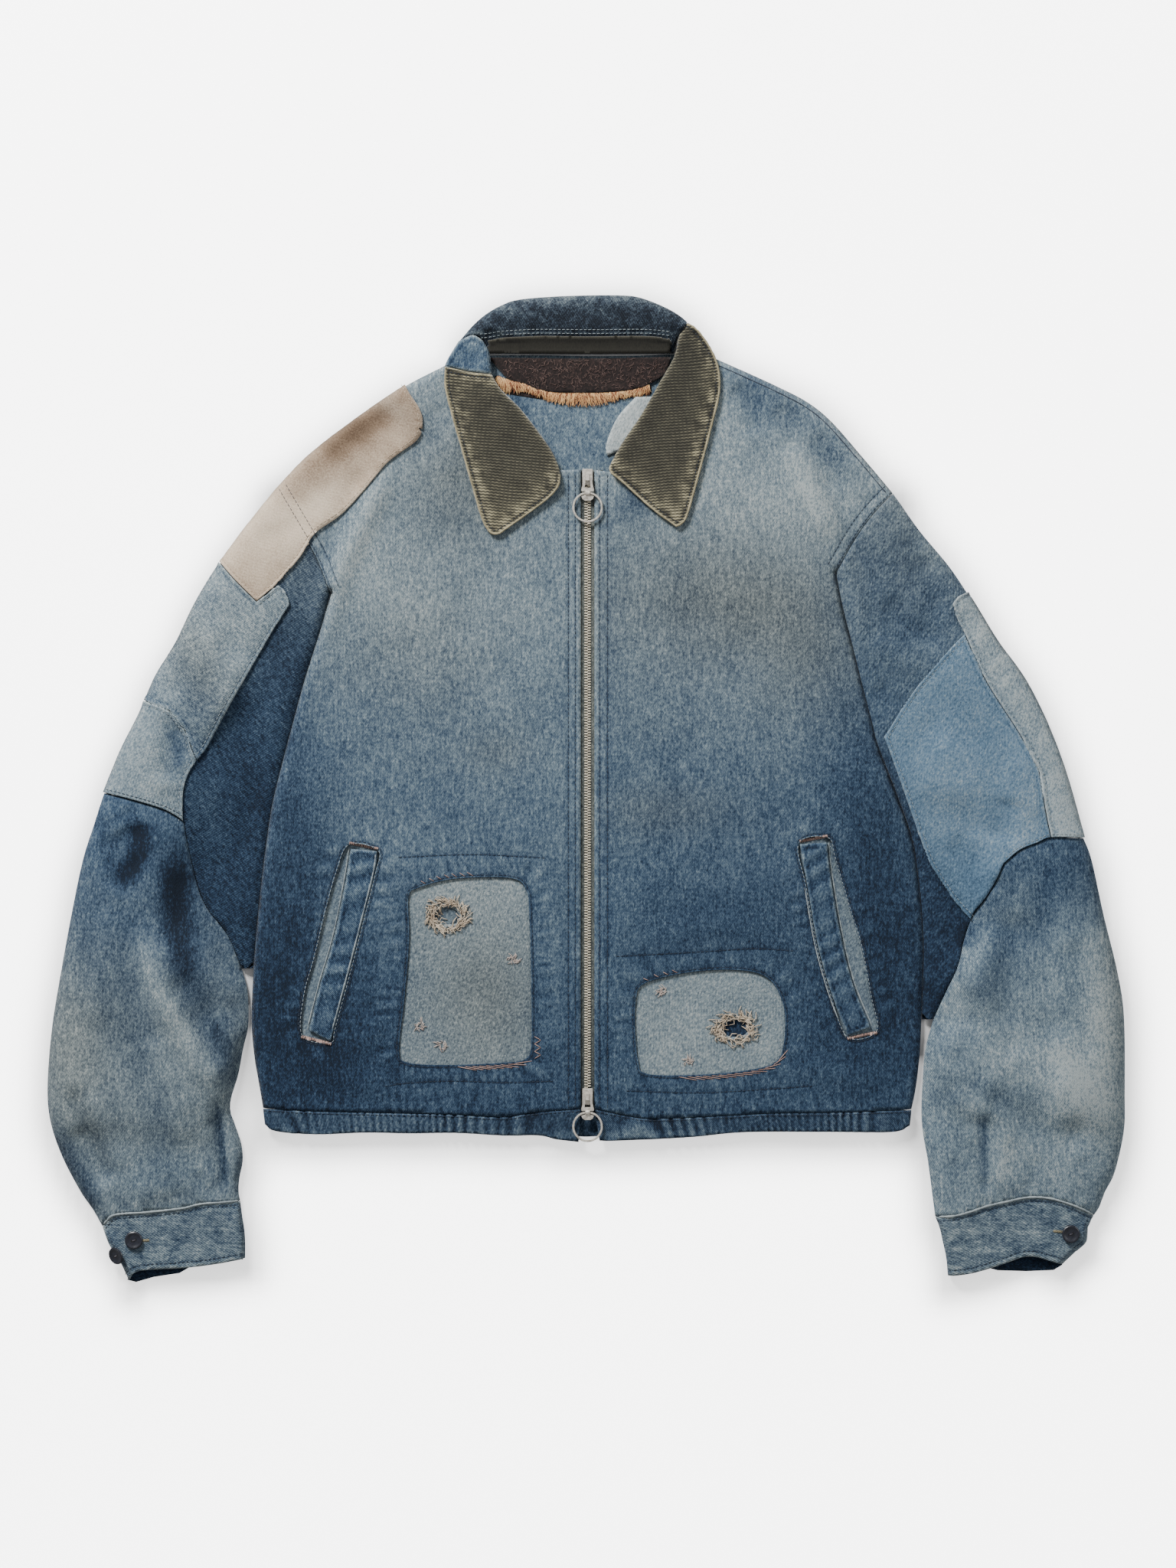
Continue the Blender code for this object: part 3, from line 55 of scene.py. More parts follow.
# Walls and clearances, as in the CAD
DENIM = 1.2
PATCH = 1.0
HEM = 2.0
CUFF = 1.8
LEAF = 2.0
SEAM = 0.25
LAY = 0.5
RIM = 3.0
BACK_LIFT = 0.5
BODY_ROLL = 9.0
SLEEVE_ROLL = 34.0
FOREARM_ROLL = 20.0
CUFF_ROLL = 8.0
CENTRE = np.array([-0.76, 2.11])

# Spacing of the fine meshes
FINE = 3.4
LINE_STEP = 3.0
UNDER_STEP = 7.0

# Outlines, from the sizes taken off the photograph at 0.6 mm a pixel
LEFT_SHOULDER = [(-104, 337), (-143, 317), (-180, 292), (-218, 262.5), (-243.5, 236)]
LEFT_UPPER_ARM = [
    (-243.5, 236), (-270, 203), (-290, 175), (-307, 147), (-322, 116), (-338.5, 88.5), (-351, 60),
    (-365.5, 31), (-379, -2)]
LEFT_FOREARM = [
    (-379, -2), (-387, -26.5), (-396, -55), (-405, -98), (-413, -142), (-420, -185), (-423.6, -228),
    (-422, -257), (-413, -285.5), (-398, -314.5), (-388, -329), (-380.4, -342.5)]
LEFT_ARMHOLE = [(-243.5, 236), (-230, 213), (-218, 192.5), (-210.5, 178), (-201.5, 154.5)]
LEFT_SIDE_TOP = [
    (-201.5, 154.5), (-210.5, 122.5), (-222.5, 84.5), (-236.5, 32.5), (-246, -5), (-250.5, -31),
    (-255.5, -70), (-259.5, -109), (-262, -140)]
LEFT_SIDE_LOW = [(-262, -140), (-263.6, -180), (-261.5, -208), (-258, -229), (-254.5, -249.5)]
LEFT_GUSSET_END = [(-270.8, -140), (-262, -140)]
LEFT_HEM_SEAM = [
    (-254.5, -249.5), (-213, -251.8), (-158, -253), (-103, -254.5), (-66, -256.4), (-40, -252.5),
    (-4.8, -250)]
LEFT_HEM_LOW = [
    (-252.8, -262), (-244, -267.5), (-213, -270), (-173, -268.6), (-140, -269.3), (-103, -269), (-66, -271),
    (-38, -271), (-24, -274), (-6.5, -276)]
LEFT_NECK = [(-4.8, 251.5), (-26, 252.5), (-38, 268), (-60, 294), (-78, 313), (-92, 328), (-104, 337)]
LEFT_ELBOW = [(-379, -2), (-362, -6), (-345.5, -10.5), (-331.5, -15), (-321, -20.5), (-315, -25.5)]
LEFT_INNER_ELBOW = [
    (-315, -25.5), (-312.6, -41), (-308.7, -59.5), (-303.5, -80), (-296, -95), (-288, -105), (-280, -117),
    (-270.8, -140)]
LEFT_INNER_ARM = [
    (-270.8, -140), (-266.8, -155), (-265.4, -171), (-266, -187), (-269.6, -202.5), (-273.5, -223),
    (-279, -241.5), (-279.5, -252), (-276, -262.5), (-271, -278), (-270, -291), (-272.5, -304),
    (-273.2, -314), (-272, -322)]
LEFT_CUFF_SEAM = [
    (-380.4, -342.5), (-376, -337.5), (-368.5, -332.5), (-342.5, -330.5), (-317, -327.7), (-300.8, -324),
    (-272, -322)]
LEFT_CUFF_INNER = [(-272, -322), (-270.5, -333), (-268.7, -345), (-268, -355), (-268, -367)]
LEFT_CUFF_LOW = [
    (-268, -367), (-283, -370), (-298, -372.4), (-315, -374.3), (-342.5, -375.8), (-350.5, -376.6),
    (-356, -379.4), (-360, -384.4)]
LEFT_CUFF_OUTER = [(-360, -384.4), (-366.9, -369.5), (-375.4, -356.5), (-380.4, -342.5)]

RIGHT_SHOULDER = [(100, 339), (125, 328), (150, 316.5), (173, 304.5), (192, 289), (216, 261.5), (240, 232.8)]
RIGHT_UPPER_ARM = [
    (240, 232.8), (260.5, 204), (284.5, 175), (303, 147), (321, 117.5), (342, 88.5), (357, 60), (369, 31),
    (378.5, 2.5), (389.5, -37.5)]
RIGHT_FOREARM = [
    (389.5, -37.5), (396, -55), (405.5, -98.5), (416, -141.5), (421.4, -178), (422, -240), (421.2, -268),
    (414, -300), (406.5, -315), (402, -327), (397.6, -333.7)]
RIGHT_ARMHOLE = [(240, 232.8), (228.5, 221.3), (217.5, 208), (207, 192), (195, 170.5)]
RIGHT_SIDE_TOP = [
    (195, 170.5), (200, 145), (208, 113), (216, 81), (223, 54), (228, 35), (241.5, 0), (254.5, -37),
    (259.5, -68), (262.6, -98), (263.8, -125), (263.2, -158), (262.3, -180)]
RIGHT_SIDE_LOW = [(262.3, -180), (261, -208), (257.9, -234), (254.5, -250.5)]
RIGHT_GUSSET_END = [(271.2, -180), (262.3, -180)]
RIGHT_HEM_SEAM = [
    (254.5, -250.5), (202.5, -252.5), (143, -253.5), (95, -256), (49.5, -257.5), (27.5, -254.5),
    (5.4, -250)]
RIGHT_HEM_LOW = [
    (253, -263), (238.5, -268.2), (183, -268), (123, -268.4), (79, -272.4), (23.5, -275), (9.5, -275)]
RIGHT_NECK = [(5.4, 251), (23, 251.5), (36, 272), (52, 296), (66, 318), (82, 333), (100, 339)]
RIGHT_ELBOW = [(389.5, -37.5), (362.5, -37.2), (351.5, -41.3), (337.8, -47), (325, -57.5)]
RIGHT_INNER_ELBOW = [
    (325, -57.5), (318, -73), (310, -86), (303, -95), (299, -104), (294.5, -118), (289.5, -138),
    (278.5, -163), (271.2, -180)]
RIGHT_INNER_ARM = [
    (271.2, -180), (265, -203), (263, -226.5), (261.9, -251.5), (263.2, -269.5), (266.7, -289.5),
    (269.5, -310), (272.7, -334.6)]
RIGHT_CUFF_SEAM = [
    (397.6, -333.7), (384, -326.7), (371, -322), (359, -319.3), (344.5, -319.2), (329.5, -322.2),
    (313.5, -325.7), (299.5, -330.2), (285.5, -333.7), (272.7, -334.6)]
RIGHT_CUFF_INNER = [(272.7, -334.6), (276, -343), (278.7, -354.5), (281.2, -366.5), (282.7, -381)]
RIGHT_CUFF_LOW = [
    (282.7, -381), (299.6, -378.9), (315.5, -374.6), (333.5, -368.5), (342.5, -365.7), (352.5, -366),
    (362.5, -369), (373, -372)]
RIGHT_CUFF_OUTER = [(373, -372), (383, -362.5), (391.8, -354.5), (393, -343), (397.6, -333.7)]

# Patches sewn on the sleeves and the shoulder
CREAM_SEAM = [
    (-144, 321), (-139, 311), (-131.5, 299.5), (-128.8, 288), (-133, 274.5), (-156, 256.5), (-172.5, 236.5),
    (-191.5, 216.5), (-213, 201), (-225, 182), (-246, 158), (-259, 147.5)]
CREAM_END = [(-259, 147.5), (-276.8, 165.5), (-290.5, 182)]
ARM_PATCH_INNER = [
    (-259, 147.5), (-242, 160.5), (-236.5, 155.8), (-233, 145), (-246, 125), (-262.5, 96.5), (-284, 58.5),
    (-298, 32.5), (-305.5, 23)]
ARM_PATCH_LOW = [(-305.5, 23), (-309, 32.5), (-314, 46.5), (-326.5, 62), (-348.5, 70.5)]
BAND_INNER = [(-305.5, 23), (-311, 13.5), (-315, 1.5), (-316, -12.5), (-316, -28)]
PANEL_TOP = [(295, 122), (284.5, 111.5), (257.5, 80.5), (232.5, 42)]
PANEL_SIDE = [(232.5, 42), (247, 2), (259.5, -34)]
PANEL_INNER = [(259.5, -34), (269, -59), (287, -86.5), (302, -103)]
STRIP_INNER = [
    (301, 156.5), (290, 151.5), (285.8, 145.5), (290, 131.5), (295, 122), (311, 86), (338, 43),
    (352.8, 13.5), (357, -13), (362.8, -41)]

# Windows cut in the fronts, the worn hole in the cloth behind each, and the welt pockets
LEFT_WINDOW = [
    (-140, -84), (-132, -76.5), (-103, -69.5), (-60, -69), (-48, -78), (-45.5, -95), (-44, -144),
    (-43.8, -195), (-48, -210.5), (-70, -214), (-112, -215.5), (-141, -213.5), (-147.5, -204), (-143, -161),
    (-139.5, -115)]
LEFT_HOLE = [
    (-119.4, -100.3), (-116, -93), (-108.5, -92), (-102, -95), (-100, -100.5), (-103, -104.5), (-113, -105)]
RIGHT_WINDOW = [
    (38.2, -164), (45, -151.5), (79, -143), (117, -141), (141, -147), (153, -166), (155, -190),
    (149.5, -211), (131, -218.7), (90, -223), (47, -222.5), (40, -212), (37.6, -188)]
RIGHT_HOLE = [(106.5, -186), (112, -181), (123, -180.3), (126, -188.5), (120.5, -193), (110, -192.5)]
LEFT_POCKET = [
    (-186.5, -43), (-164, -47.5), (-166, -64), (-174.5, -98), (-185.5, -141), (-198, -187), (-201, -197.5),
    (-223, -192), (-221.5, -160), (-214, -132.5), (-204.5, -93), (-196, -63)]
LEFT_WELT_EDGE = [(-185.6, -45.5), (-189.5, -71), (-198.5, -115), (-209.5, -153), (-218.5, -188.5)]
LEFT_WELT_INNER = [(-201, -197.5), (-198, -187), (-185.5, -141), (-174.5, -98), (-166, -64), (-164, -47.5)]
RIGHT_POCKET = [
    (166, -42), (188.5, -37.5), (194, -53), (206, -94), (214.5, -121), (222.5, -163), (226.5, -188.5),
    (204, -193), (191, -160), (180, -121), (172, -76)]
RIGHT_WELT_EDGE = [(188.2, -40.5), (190.3, -62), (198, -108), (208, -150), (222.5, -186)]
RIGHT_WELT_INNER = [(204, -193), (191, -160), (180, -121), (172, -76), (166, -42)]

# Collar
LEFT_CREASE = [(-20.4, 246), (-23, 255.5), (-30, 269.5), (-51, 297.5), (-67, 313.5), (-74.6, 325.5)]
LEFT_LEAF_EDGE = [(-74.6, 325.5), (-92, 327.5), (-111.8, 332)]
LEFT_LEAF_OUTER = [
    (-111.8, 332), (-111.6, 315), (-105.6, 290.5), (-95, 253.5), (-84.5, 217), (-79.5, 205), (-74, 199.8),
    (-68.5, 200.3)]
LEFT_LEAF_LOW = [(-68.5, 200.3), (-47.5, 215), (-31.5, 227), (-22.4, 237), (-20.4, 246)]
LEFT_WING_OUTER = [(-111.8, 332), (-109, 338.5), (-101, 351.5)]
LEFT_WING_TOP = [(-101, 351.5), (-90, 356.2), (-82.6, 353)]
LEFT_WING_CREASE = [(-82.6, 353), (-79, 348), (-76, 341), (-74.6, 325.5)]
RIGHT_CREASE = [(16.7, 253), (26.5, 271), (42, 294), (56, 318.5), (68, 340), (71.5, 355), (78.5, 366.3)]
RIGHT_LEAF_OUTER = [
    (78.5, 366.3), (86, 361), (94, 351), (100.5, 339), (104, 326), (104, 311), (100, 293), (92, 262),
    (81, 222), (76, 209.5), (69.5, 205.8)]
RIGHT_LEAF_LOW = [(69.5, 205.8), (51, 219.3), (26.4, 241.3), (18, 248), (16.7, 253)]
COLLAR_FOLD = [
    (-102.5, 350), (-90, 364.5), (-79, 374), (-66.5, 381), (-54, 385), (-28, 387.4), (0, 388.4),
    (26.5, 388.4), (40, 387), (54.5, 382), (67, 376), (76, 370)]
COLLAR_FOOT = [
    (-85, 352.5), (-78, 352.8), (-65, 354.8), (-50, 355.6), (-37, 356), (-15, 355.8), (0, 355.7),
    (20, 355.8), (33, 356), (45, 355.9), (55, 355.4), (67, 353.8)]
FACING_LOW = [
    (-84, 330), (-62, 321.5), (-50, 318.5), (-40, 314), (-26, 312), (0, 311.5), (25, 312.5), (42, 315),
    (62, 323)]
BACK_NECK = [(-104, 337), (-85, 341.2), (-40, 341.8), (0, 341.2), (40, 341.5), (85, 342.5), (100, 339)]
PALE_EDGE = [(38, 309), (24.5, 294), (17.5, 280), (14.3, 269), (15.5, 262)]
PALE_OUTER = [(15.5, 262), (30, 268), (48, 290), (58, 309)]

FRINGE_LOW = [(-68, 312), (-51, 309), (-30, 306), (0, 305), (25, 306.5), (50, 311)]

# How high the outer face of the cloth lies over the floor, at places on the body and on the sleeves
LOFT = [
    ((-110, 290), 6.4), ((110, 290), 6.4), ((-200, 215), 6.9), ((200, 215), 6.9), ((-100, 150), 5.9),
    ((100, 150), 5.9), ((-190, 60), 6.1), ((190, 60), 6.1), ((-120, 0), 5.9), ((120, 0), 5.9),
    ((-225, -120), 6.0), ((225, -120), 6.0), ((-95, -140), 5.9), ((95, -180), 5.9), ((-100, -250), 6.0),
    ((100, -250), 6.0), ((-240, -245), 6.0), ((240, -245), 6.0), ((-252, -175), 6.0), ((-250, -212), 6.0),
    ((252, -180), 6.0), ((250, -215), 6.0), ((-215, 160), 6.6), ((212, 165), 6.6), ((-242, -60), 6.0),
    ((242, -60), 6.0), ((-215, 70), 6.0), ((215, 60), 6.0), ((-250, 200), 9.5), ((-245, 150), 8.5),
    ((-280, 140), 12), ((-300, 80), 14), ((-340, 30), 15), ((-222, 110), 6.6), ((-262, 40), 6.6),
    ((-275, -60), 6.0), ((-266, -125), 5.4), ((-350, -60), 18), ((-375, -140), 20), ((-320, -150), 21),
    ((-290, -200), 18), ((-375, -230), 20), ((-320, -240), 20), ((-385, -300), 13), ((-330, -305), 14),
    ((-285, -300), 12), ((-325, -330), 9.5), ((-320, -365), 9), ((250, 200), 9.5), ((235, 150), 8.5),
    ((270, 140), 11), ((310, 90), 14), ((250, 60), 8), ((300, 20), 13), ((350, 0), 15), ((275, -40), 8),
    ((268, -120), 6.0), ((267, -170), 5.4), ((345, -80), 18), ((385, -150), 20), ((320, -150), 21),
    ((290, -210), 18), ((385, -230), 20), ((330, -230), 19), ((385, -300), 14), ((330, -300), 13),
    ((290, -300), 13), ((335, -330), 9.5), ((335, -360), 9)]
LOFT_REACH = 16.0
ZIP_LOFT = 6.2
# The largest folds: a path, how high it stands above the cloth beside it, and its half width
FOLDS = [
    ([(-160, 250), (-172, 225), (-190, 185), (-203, 140)], 2.0, 13),
    ([(163, 300), (172, 268), (181, 230), (189, 190)], 2.0, 13),
    ([(-350, -105), (-342, -140), (-327, -174), (-311, -203), (-290, -236)], 3.2, 14),
    ([(-322, -140), (-301, -183), (-286, -222)], -3.4, 12),
    ([(-405, -228), (-392, -265), (-374, -312)], -3.6, 9), ([(-290, -250), (-284, -318)], -2.0, 8),
    ([(-372, -30), (-362, -55), (-372, -80)], -3.6, 14), ([(-318, 55), (-326, 30), (-330, 5)], -2.6, 12),
    ([(-262, 110), (-285, 65), (-298, 35)], 2.0, 12), ([(318, -100), (302, -145), (290, -185)], 2.4, 13),
    ([(338, -90), (332, -140), (325, -190)], -2.6, 15), ([(365, -180), (378, -240), (352, -272)], 2.8, 16),
    ([(306, -232), (332, -252), (362, -262), (398, -272)], -3.4, 13),
    ([(312, -250), (312.5, -318)], -2.6, 9), ([(262, 190), (270, 150), (262, 110)], -2.0, 13),
    ([(330, -5), (322, -42)], -2.4, 13)]
PUCKER_PITCH = 10.0
PUCKER_HEIGHT = 1.1

# Edges where the cloth turns down to the floor: the line, the width of the roll, and its rows of points
LEFT_OUTSIDE = LEFT_SHOULDER + LEFT_UPPER_ARM[1:] + LEFT_FOREARM[1:]
RIGHT_OUTSIDE = RIGHT_SHOULDER + RIGHT_UPPER_ARM[1:] + RIGHT_FOREARM[1:]
LEFT_SIDE = LEFT_SIDE_TOP + LEFT_SIDE_LOW[1:]
RIGHT_SIDE = RIGHT_SIDE_TOP + RIGHT_SIDE_LOW[1:]
EDGES = [
    (LEFT_OUTSIDE, SLEEVE_ROLL, (0.12, 0.5)), (RIGHT_OUTSIDE, SLEEVE_ROLL, (0.12, 0.5)),
    (LEFT_SIDE, BODY_ROLL, (0.3, 1.0)), (RIGHT_SIDE, BODY_ROLL, (0.3, 1.0)),
    (LEFT_INNER_ARM, FOREARM_ROLL, (0.12, 0.5)), (RIGHT_INNER_ARM, FOREARM_ROLL, (0.12, 0.5)),
    (LEFT_CUFF_INNER, CUFF_ROLL, (0.3,)), (LEFT_CUFF_OUTER, CUFF_ROLL, (0.3,)),
    (RIGHT_CUFF_INNER, CUFF_ROLL, (0.3,)), (RIGHT_CUFF_OUTER, CUFF_ROLL, (0.3,))]

# How the collar lies
LEAF_LIFT = 2.9
LEAF_LOW = 2.6
LEAF_CREASE = 2.6
LEAF_ROLL = 6.0
COLLAR_TOP = 12.0

# Zip
ZIP_X = 0.3
TAPE_OUTER = 12.0
TAPE_TOP = 4.65
ZIP_TOP_Y = 251.0
ZIP_LOW_Y = -250.0

# Buttons and how each is tilted on its thread
BUTTONS = [
    ("button_left_upper", (0.0, 0.0, 0.0)), ("button_left_lower", (0.25, -0.6, 0.0)),
    ("button_right", (0.0, 0.0, 0.0))]


def smooth(points, step=LINE_STEP):
    """A curve through the points (Catmull-Rom), with a point about every step."""
    given = [np.array(p, float) for p in points]
    ends = [2 * given[0] - given[1]] + given + [2 * given[-1] - given[-2]]
    made = []
    for before, start, end, after in zip(ends, ends[1:], ends[2:], ends[3:]):
        count = max(1, round(np.linalg.norm(end - start) / step))
        for t in np.arange(count) / count:
            made.append(0.5 * (2 * start + (end - before) * t
                               + (2 * before - 5 * start + 4 * end - after) * t ** 2
                               + (3 * start - before - 3 * end + after) * t ** 3))
    made.append(given[-1])
    return np.array(made)


def loop(*runs, step=LINE_STEP):
    """A closed outline from open runs that follow each other, with a corner where two runs meet."""
    return np.concatenate([smooth(run, step)[:-1] for run in runs])


def path(*runs):
    """An open line along runs that follow each other."""
    return np.concatenate([smooth(run) for run in runs])


def ring_of(points, step=LINE_STEP):
    """A closed outline through the points."""
    around = [points[-1]] + points + points[:2]
    return smooth(around, step)[round_start(around, step):round_end(around, step)]


def pieces_of(points, step):
    return [max(1, round(math.dist(a, b) / step)) for a, b in zip(points, points[1:])]


def round_start(around, step):
    return pieces_of(around, step)[0]


def round_end(around, step):
    counts = pieces_of(around, step)
    return sum(counts) - counts[-1]


def back(run):
    return list(reversed(run))


def nearest(points, line):
    """For each point: its distance to the line, where along it in mm, and its distance with a sign."""
    start, along = line[:-1], np.diff(line, axis=0)
    length = np.maximum(np.linalg.norm(along, axis=1), 1e-9)
    before = np.concatenate([[0], np.cumsum(length)])[:-1]
    distance, position, signed = (np.empty(len(points)) for _ in range(3))
    for first in range(0, len(points), CHUNK):
        part = slice(first, first + CHUNK)
        away = points[part, None] - start
        share = np.clip(np.einsum("pij,ij->pi", away, along) / length ** 2, 0, 1)
        gap = np.linalg.norm(away - share[..., None] * along, axis=2)
        best = gap.argmin(axis=1)
        rows = np.arange(len(best))
        distance[part] = gap[rows, best]
        position[part] = before[best] + share[rows, best] * length[best]
        turn = along[best, 0] * away[rows, best, 1] - along[best, 1] * away[rows, best, 0]
        signed[part] = np.where(turn < 0, -1, 1) * gap[rows, best]
    return distance, position, signed


def length_of(line):
    return np.linalg.norm(np.diff(line, axis=0), axis=1).sum()


def closed(outline):
    return np.vstack([outline, outline[:1]])


def inside(points, outline):
    x, y = points[:, 0], points[:, 1]
    hit = np.zeros(len(points), bool)
    for (x1, y1), (x2, y2) in zip(outline, np.roll(outline, -1, axis=0)):
        crosses = (y1 > y) != (y2 > y)
        hit ^= crosses & (x < (x2 - x1) * (y - y1) / (y2 - y1 + 1e-12) + x1)
    return hit


def shrunk(outline, distance=SEAM):
    """The outline moved inwards, so that neighbours keep their seam gap; outwards below zero."""
    before, after = np.roll(outline, 1, axis=0), np.roll(outline, -1, axis=0)
    first, second = outline - before, after - outline
    first /= np.linalg.norm(first, axis=1)[:, None]
    second /= np.linalg.norm(second, axis=1)[:, None]
    turn = np.sign(np.sum(outline[:, 0] * after[:, 1] - outline[:, 1] * after[:, 0]))
    first_side = np.stack([-first[:, 1], first[:, 0]], axis=1) * turn
    second_side = np.stack([-second[:, 1], second[:, 0]], axis=1) * turn
    normal = first_side + second_side
    normal /= np.maximum(np.einsum("ij,ij->i", normal, first_side)[:, None], 0.35)
    return outline + normal * distance


def beside(line, distance):
    """The line moved sideways by a distance: to its left above zero."""
    along = np.gradient(line, axis=0)
    along /= np.maximum(np.linalg.norm(along, axis=1), 1e-9)[:, None]
    return line + distance * np.stack([-along[:, 1], along[:, 0]], axis=1)


def grid_points(outline, step, across, turn):
    """Points in a triangular pattern over the outline, step apart in a row and across from row to row."""
    c, s = math.cos(turn), math.sin(turn)
    flat = outline @ np.array([[c, -s], [s, c]])
    low, high = flat.min(0), flat.max(0)
    rows = np.arange(low[1] + across / 2, high[1], across)
    found = [np.column_stack([np.arange(low[0] + (i % 2) * step / 2, high[0], step),
                              np.full(len(np.arange(low[0] + (i % 2) * step / 2, high[0], step)), y)])
             for i, y in enumerate(rows)]
    return np.vstack(found) @ np.array([[c, s], [-s, c]])


def clear_of(points, kept, least):
    """The points that lie farther than least from every kept one."""
    tree = KDTree(len(kept))
    for i, p in enumerate(kept):
        tree.insert((p[0], p[1], 0), i)
    tree.balance()
    far = [tree.find((p[0], p[1], 0))[2] > least for p in points]
    return points[np.array(far, bool)] if len(points) else points


def fill(outline, holes=(), marks=(), rows=(), step=FINE, across=None, turn=0.0, clear=0.6):
    """The triangles of a piece in plan. marks are open lines that its edges follow too."""
    lines = [closed(outline)] + [closed(hole) for hole in holes] + list(marks)
    given = np.vstack(lines)
    points = np.zeros((0, 2))
    if len(rows):
        more = np.vstack(rows)
        points = clear_of(more[inside(more, outline)], given, 0.45)
    across = across or step * math.sqrt(0.75)
    grid = grid_points(outline, step, across, turn)
    grid = clear_of(grid[inside(grid, outline)], np.vstack([given, points]), clear * min(across, step))
    points = np.vstack([points, grid])
    verts, edges = [], []
    for line in lines:
        edges += [(len(verts) + i, len(verts) + i + 1) for i in range(len(line) - 1)]
        verts += [tuple(p) for p in line]
    made = delaunay_2d_cdt(verts + [tuple(p) for p in points], edges, [], 0, 1e-3)
    plan = np.array([tuple(v) for v in made[0]])
    faces = np.array([tuple(f) for f in made[2]])
    middle = plan[faces].mean(axis=1)
    keep = inside(middle, outline) & (lowest_height(plan, faces) > 0.02)
    for hole in holes:
        keep &= ~inside(middle, hole)
    return only_used(plan, upward(plan, faces[keep]))


def lowest_height(plan, faces):
    """Each triangle's height over its longest side: next to nothing on a straight stretch of outline."""
    a, b, c = plan[faces[:, 0]], plan[faces[:, 1]], plan[faces[:, 2]]
    area = np.abs((b - a)[:, 0] * (c - a)[:, 1] - (b - a)[:, 1] * (c - a)[:, 0])
    longest = np.max([np.linalg.norm(v, axis=1) for v in (b - a, c - b, a - c)], axis=0)
    return area / longest


def only_used(verts, faces):
    """The points that the faces use, and the faces renumbered."""
    index = np.unique(faces)
    place = np.zeros(len(verts), int)
    place[index] = np.arange(len(index))
    return verts[index], place[faces]


def upward(plan, faces):
    """The faces, each turned so that it faces +Z."""
    a, b, c = plan[faces[:, 0]], plan[faces[:, 1]], plan[faces[:, 2]]
    down = (b - a)[:, 0] * (c - a)[:, 1] - (b - a)[:, 1] * (c - a)[:, 0] < 0
    faces = faces.copy()
    faces[down] = faces[down][:, ::-1]
    return faces


def borders(faces):
    """The loops of border points, in the faces' own direction."""
    sides = {(int(f[i]), int(f[(i + 1) % 3])) for f in faces for i in range(3)}
    after = {a: b for a, b in sides if (b, a) not in sides}
    loops = []
    while after:
        first = min(after)
        here = after.pop(first)
        run = [first]
        while here != first:
            run.append(here)
            here = after.pop(here)
        loops.append(run)
    return sorted(loops, key=len, reverse=True)


def eased(share):
    share = np.clip(share, 0, 1)
    return share * share * (3 - 2 * share)


# The cloth is level this far to each side of the zip, and takes its own height over this width
LEVEL_HALF = 14
LEVEL_BLEND = 24


def loft(points):
    """A smooth height between the values of the table of places, level beside the zip."""
    places = np.array([p for p, _ in LOFT], float)
    values = np.array([h for _, h in LOFT], float)
    away = np.linalg.norm(points[:, None] - places, axis=2)
    weight = 1 / (away ** 2 + LOFT_REACH ** 2) ** 2.2
    height = weight @ values / weight.sum(axis=1)
    off_zip = eased((np.abs(points[:, 0] - ZIP_X) - LEVEL_HALF) / LEVEL_BLEND)
    return ZIP_LOFT + (height - ZIP_LOFT) * off_zip


def ridges(points, folds):
    """A soft ridge or trough along each path, fading out at its ends."""
    total = np.zeros(len(points))
    for run, height, width in folds:
        line = smooth(run, 8.0)
        near = boxed(points, line, 3 * width)
        if near.any():
            distance, position, _ = nearest(points[near], line)
            share = position / length_of(line)
            ends = eased(np.minimum(share, 1 - share) * 5)
            total[near] += height * ends * np.exp(-(distance / width) ** 2)
    return total


def boxed(points, line, reach):
    """Which points lie within reach of the line's box."""
    low, high = line.min(0) - reach, line.max(0) + reach
    return np.all((points > low) & (points < high), axis=1)


def rolled(distance, roll):
    """The share of the full height this far in from a rolled edge: a quarter of an ellipse."""
    return np.sqrt(1 - (1 - np.clip((distance - SEAM) / roll, 0, 1)) ** 2)


def arm_roll(points):
    """Sleeves are rounder than the body: their roll widens from the shoulder down."""
    down = np.clip((235 - points[:, 1]) / 150, 0, 1)
    return BODY_ROLL + (SLEEVE_ROLL - BODY_ROLL) * down


def waves(points, seed, shortest, longest, count=18, squeeze=1.0, turn=0.0):
    """Smooth uneven cloth from waves of many directions, about -1 to 1."""
    draw = np.random.default_rng(seed)
    c, s = math.cos(turn), math.sin(turn)
    flat = points @ np.array([[c, -s], [s, c]])
    total = np.zeros(len(points))
    for _ in range(count):
        wave = draw.uniform(shortest, longest)
        angle, phase = draw.uniform(0, math.pi), draw.uniform(0, 2 * math.pi)
        along = flat[:, 0] * math.cos(angle) + flat[:, 1] * math.sin(angle) * squeeze
        total += np.sin(2 * math.pi * along / wave + phase)
    return total / math.sqrt(count) * 0.8


# How far a seam is felt, over what length it fades out at its ends, how wide its groove is and how dark it is
# painted as shade, and how much the crests of its gathers and the whole band beside it are worn
SEAM_REACH = 26
SEAM_FADE = 9
GROOVE_WIDTH = 1.0
GROOVE_DARK = 1.1
GROOVE_DARK_WIDTH = 0.9
CREST_WEAR = 1.35
BAND_WEAR = 0.25


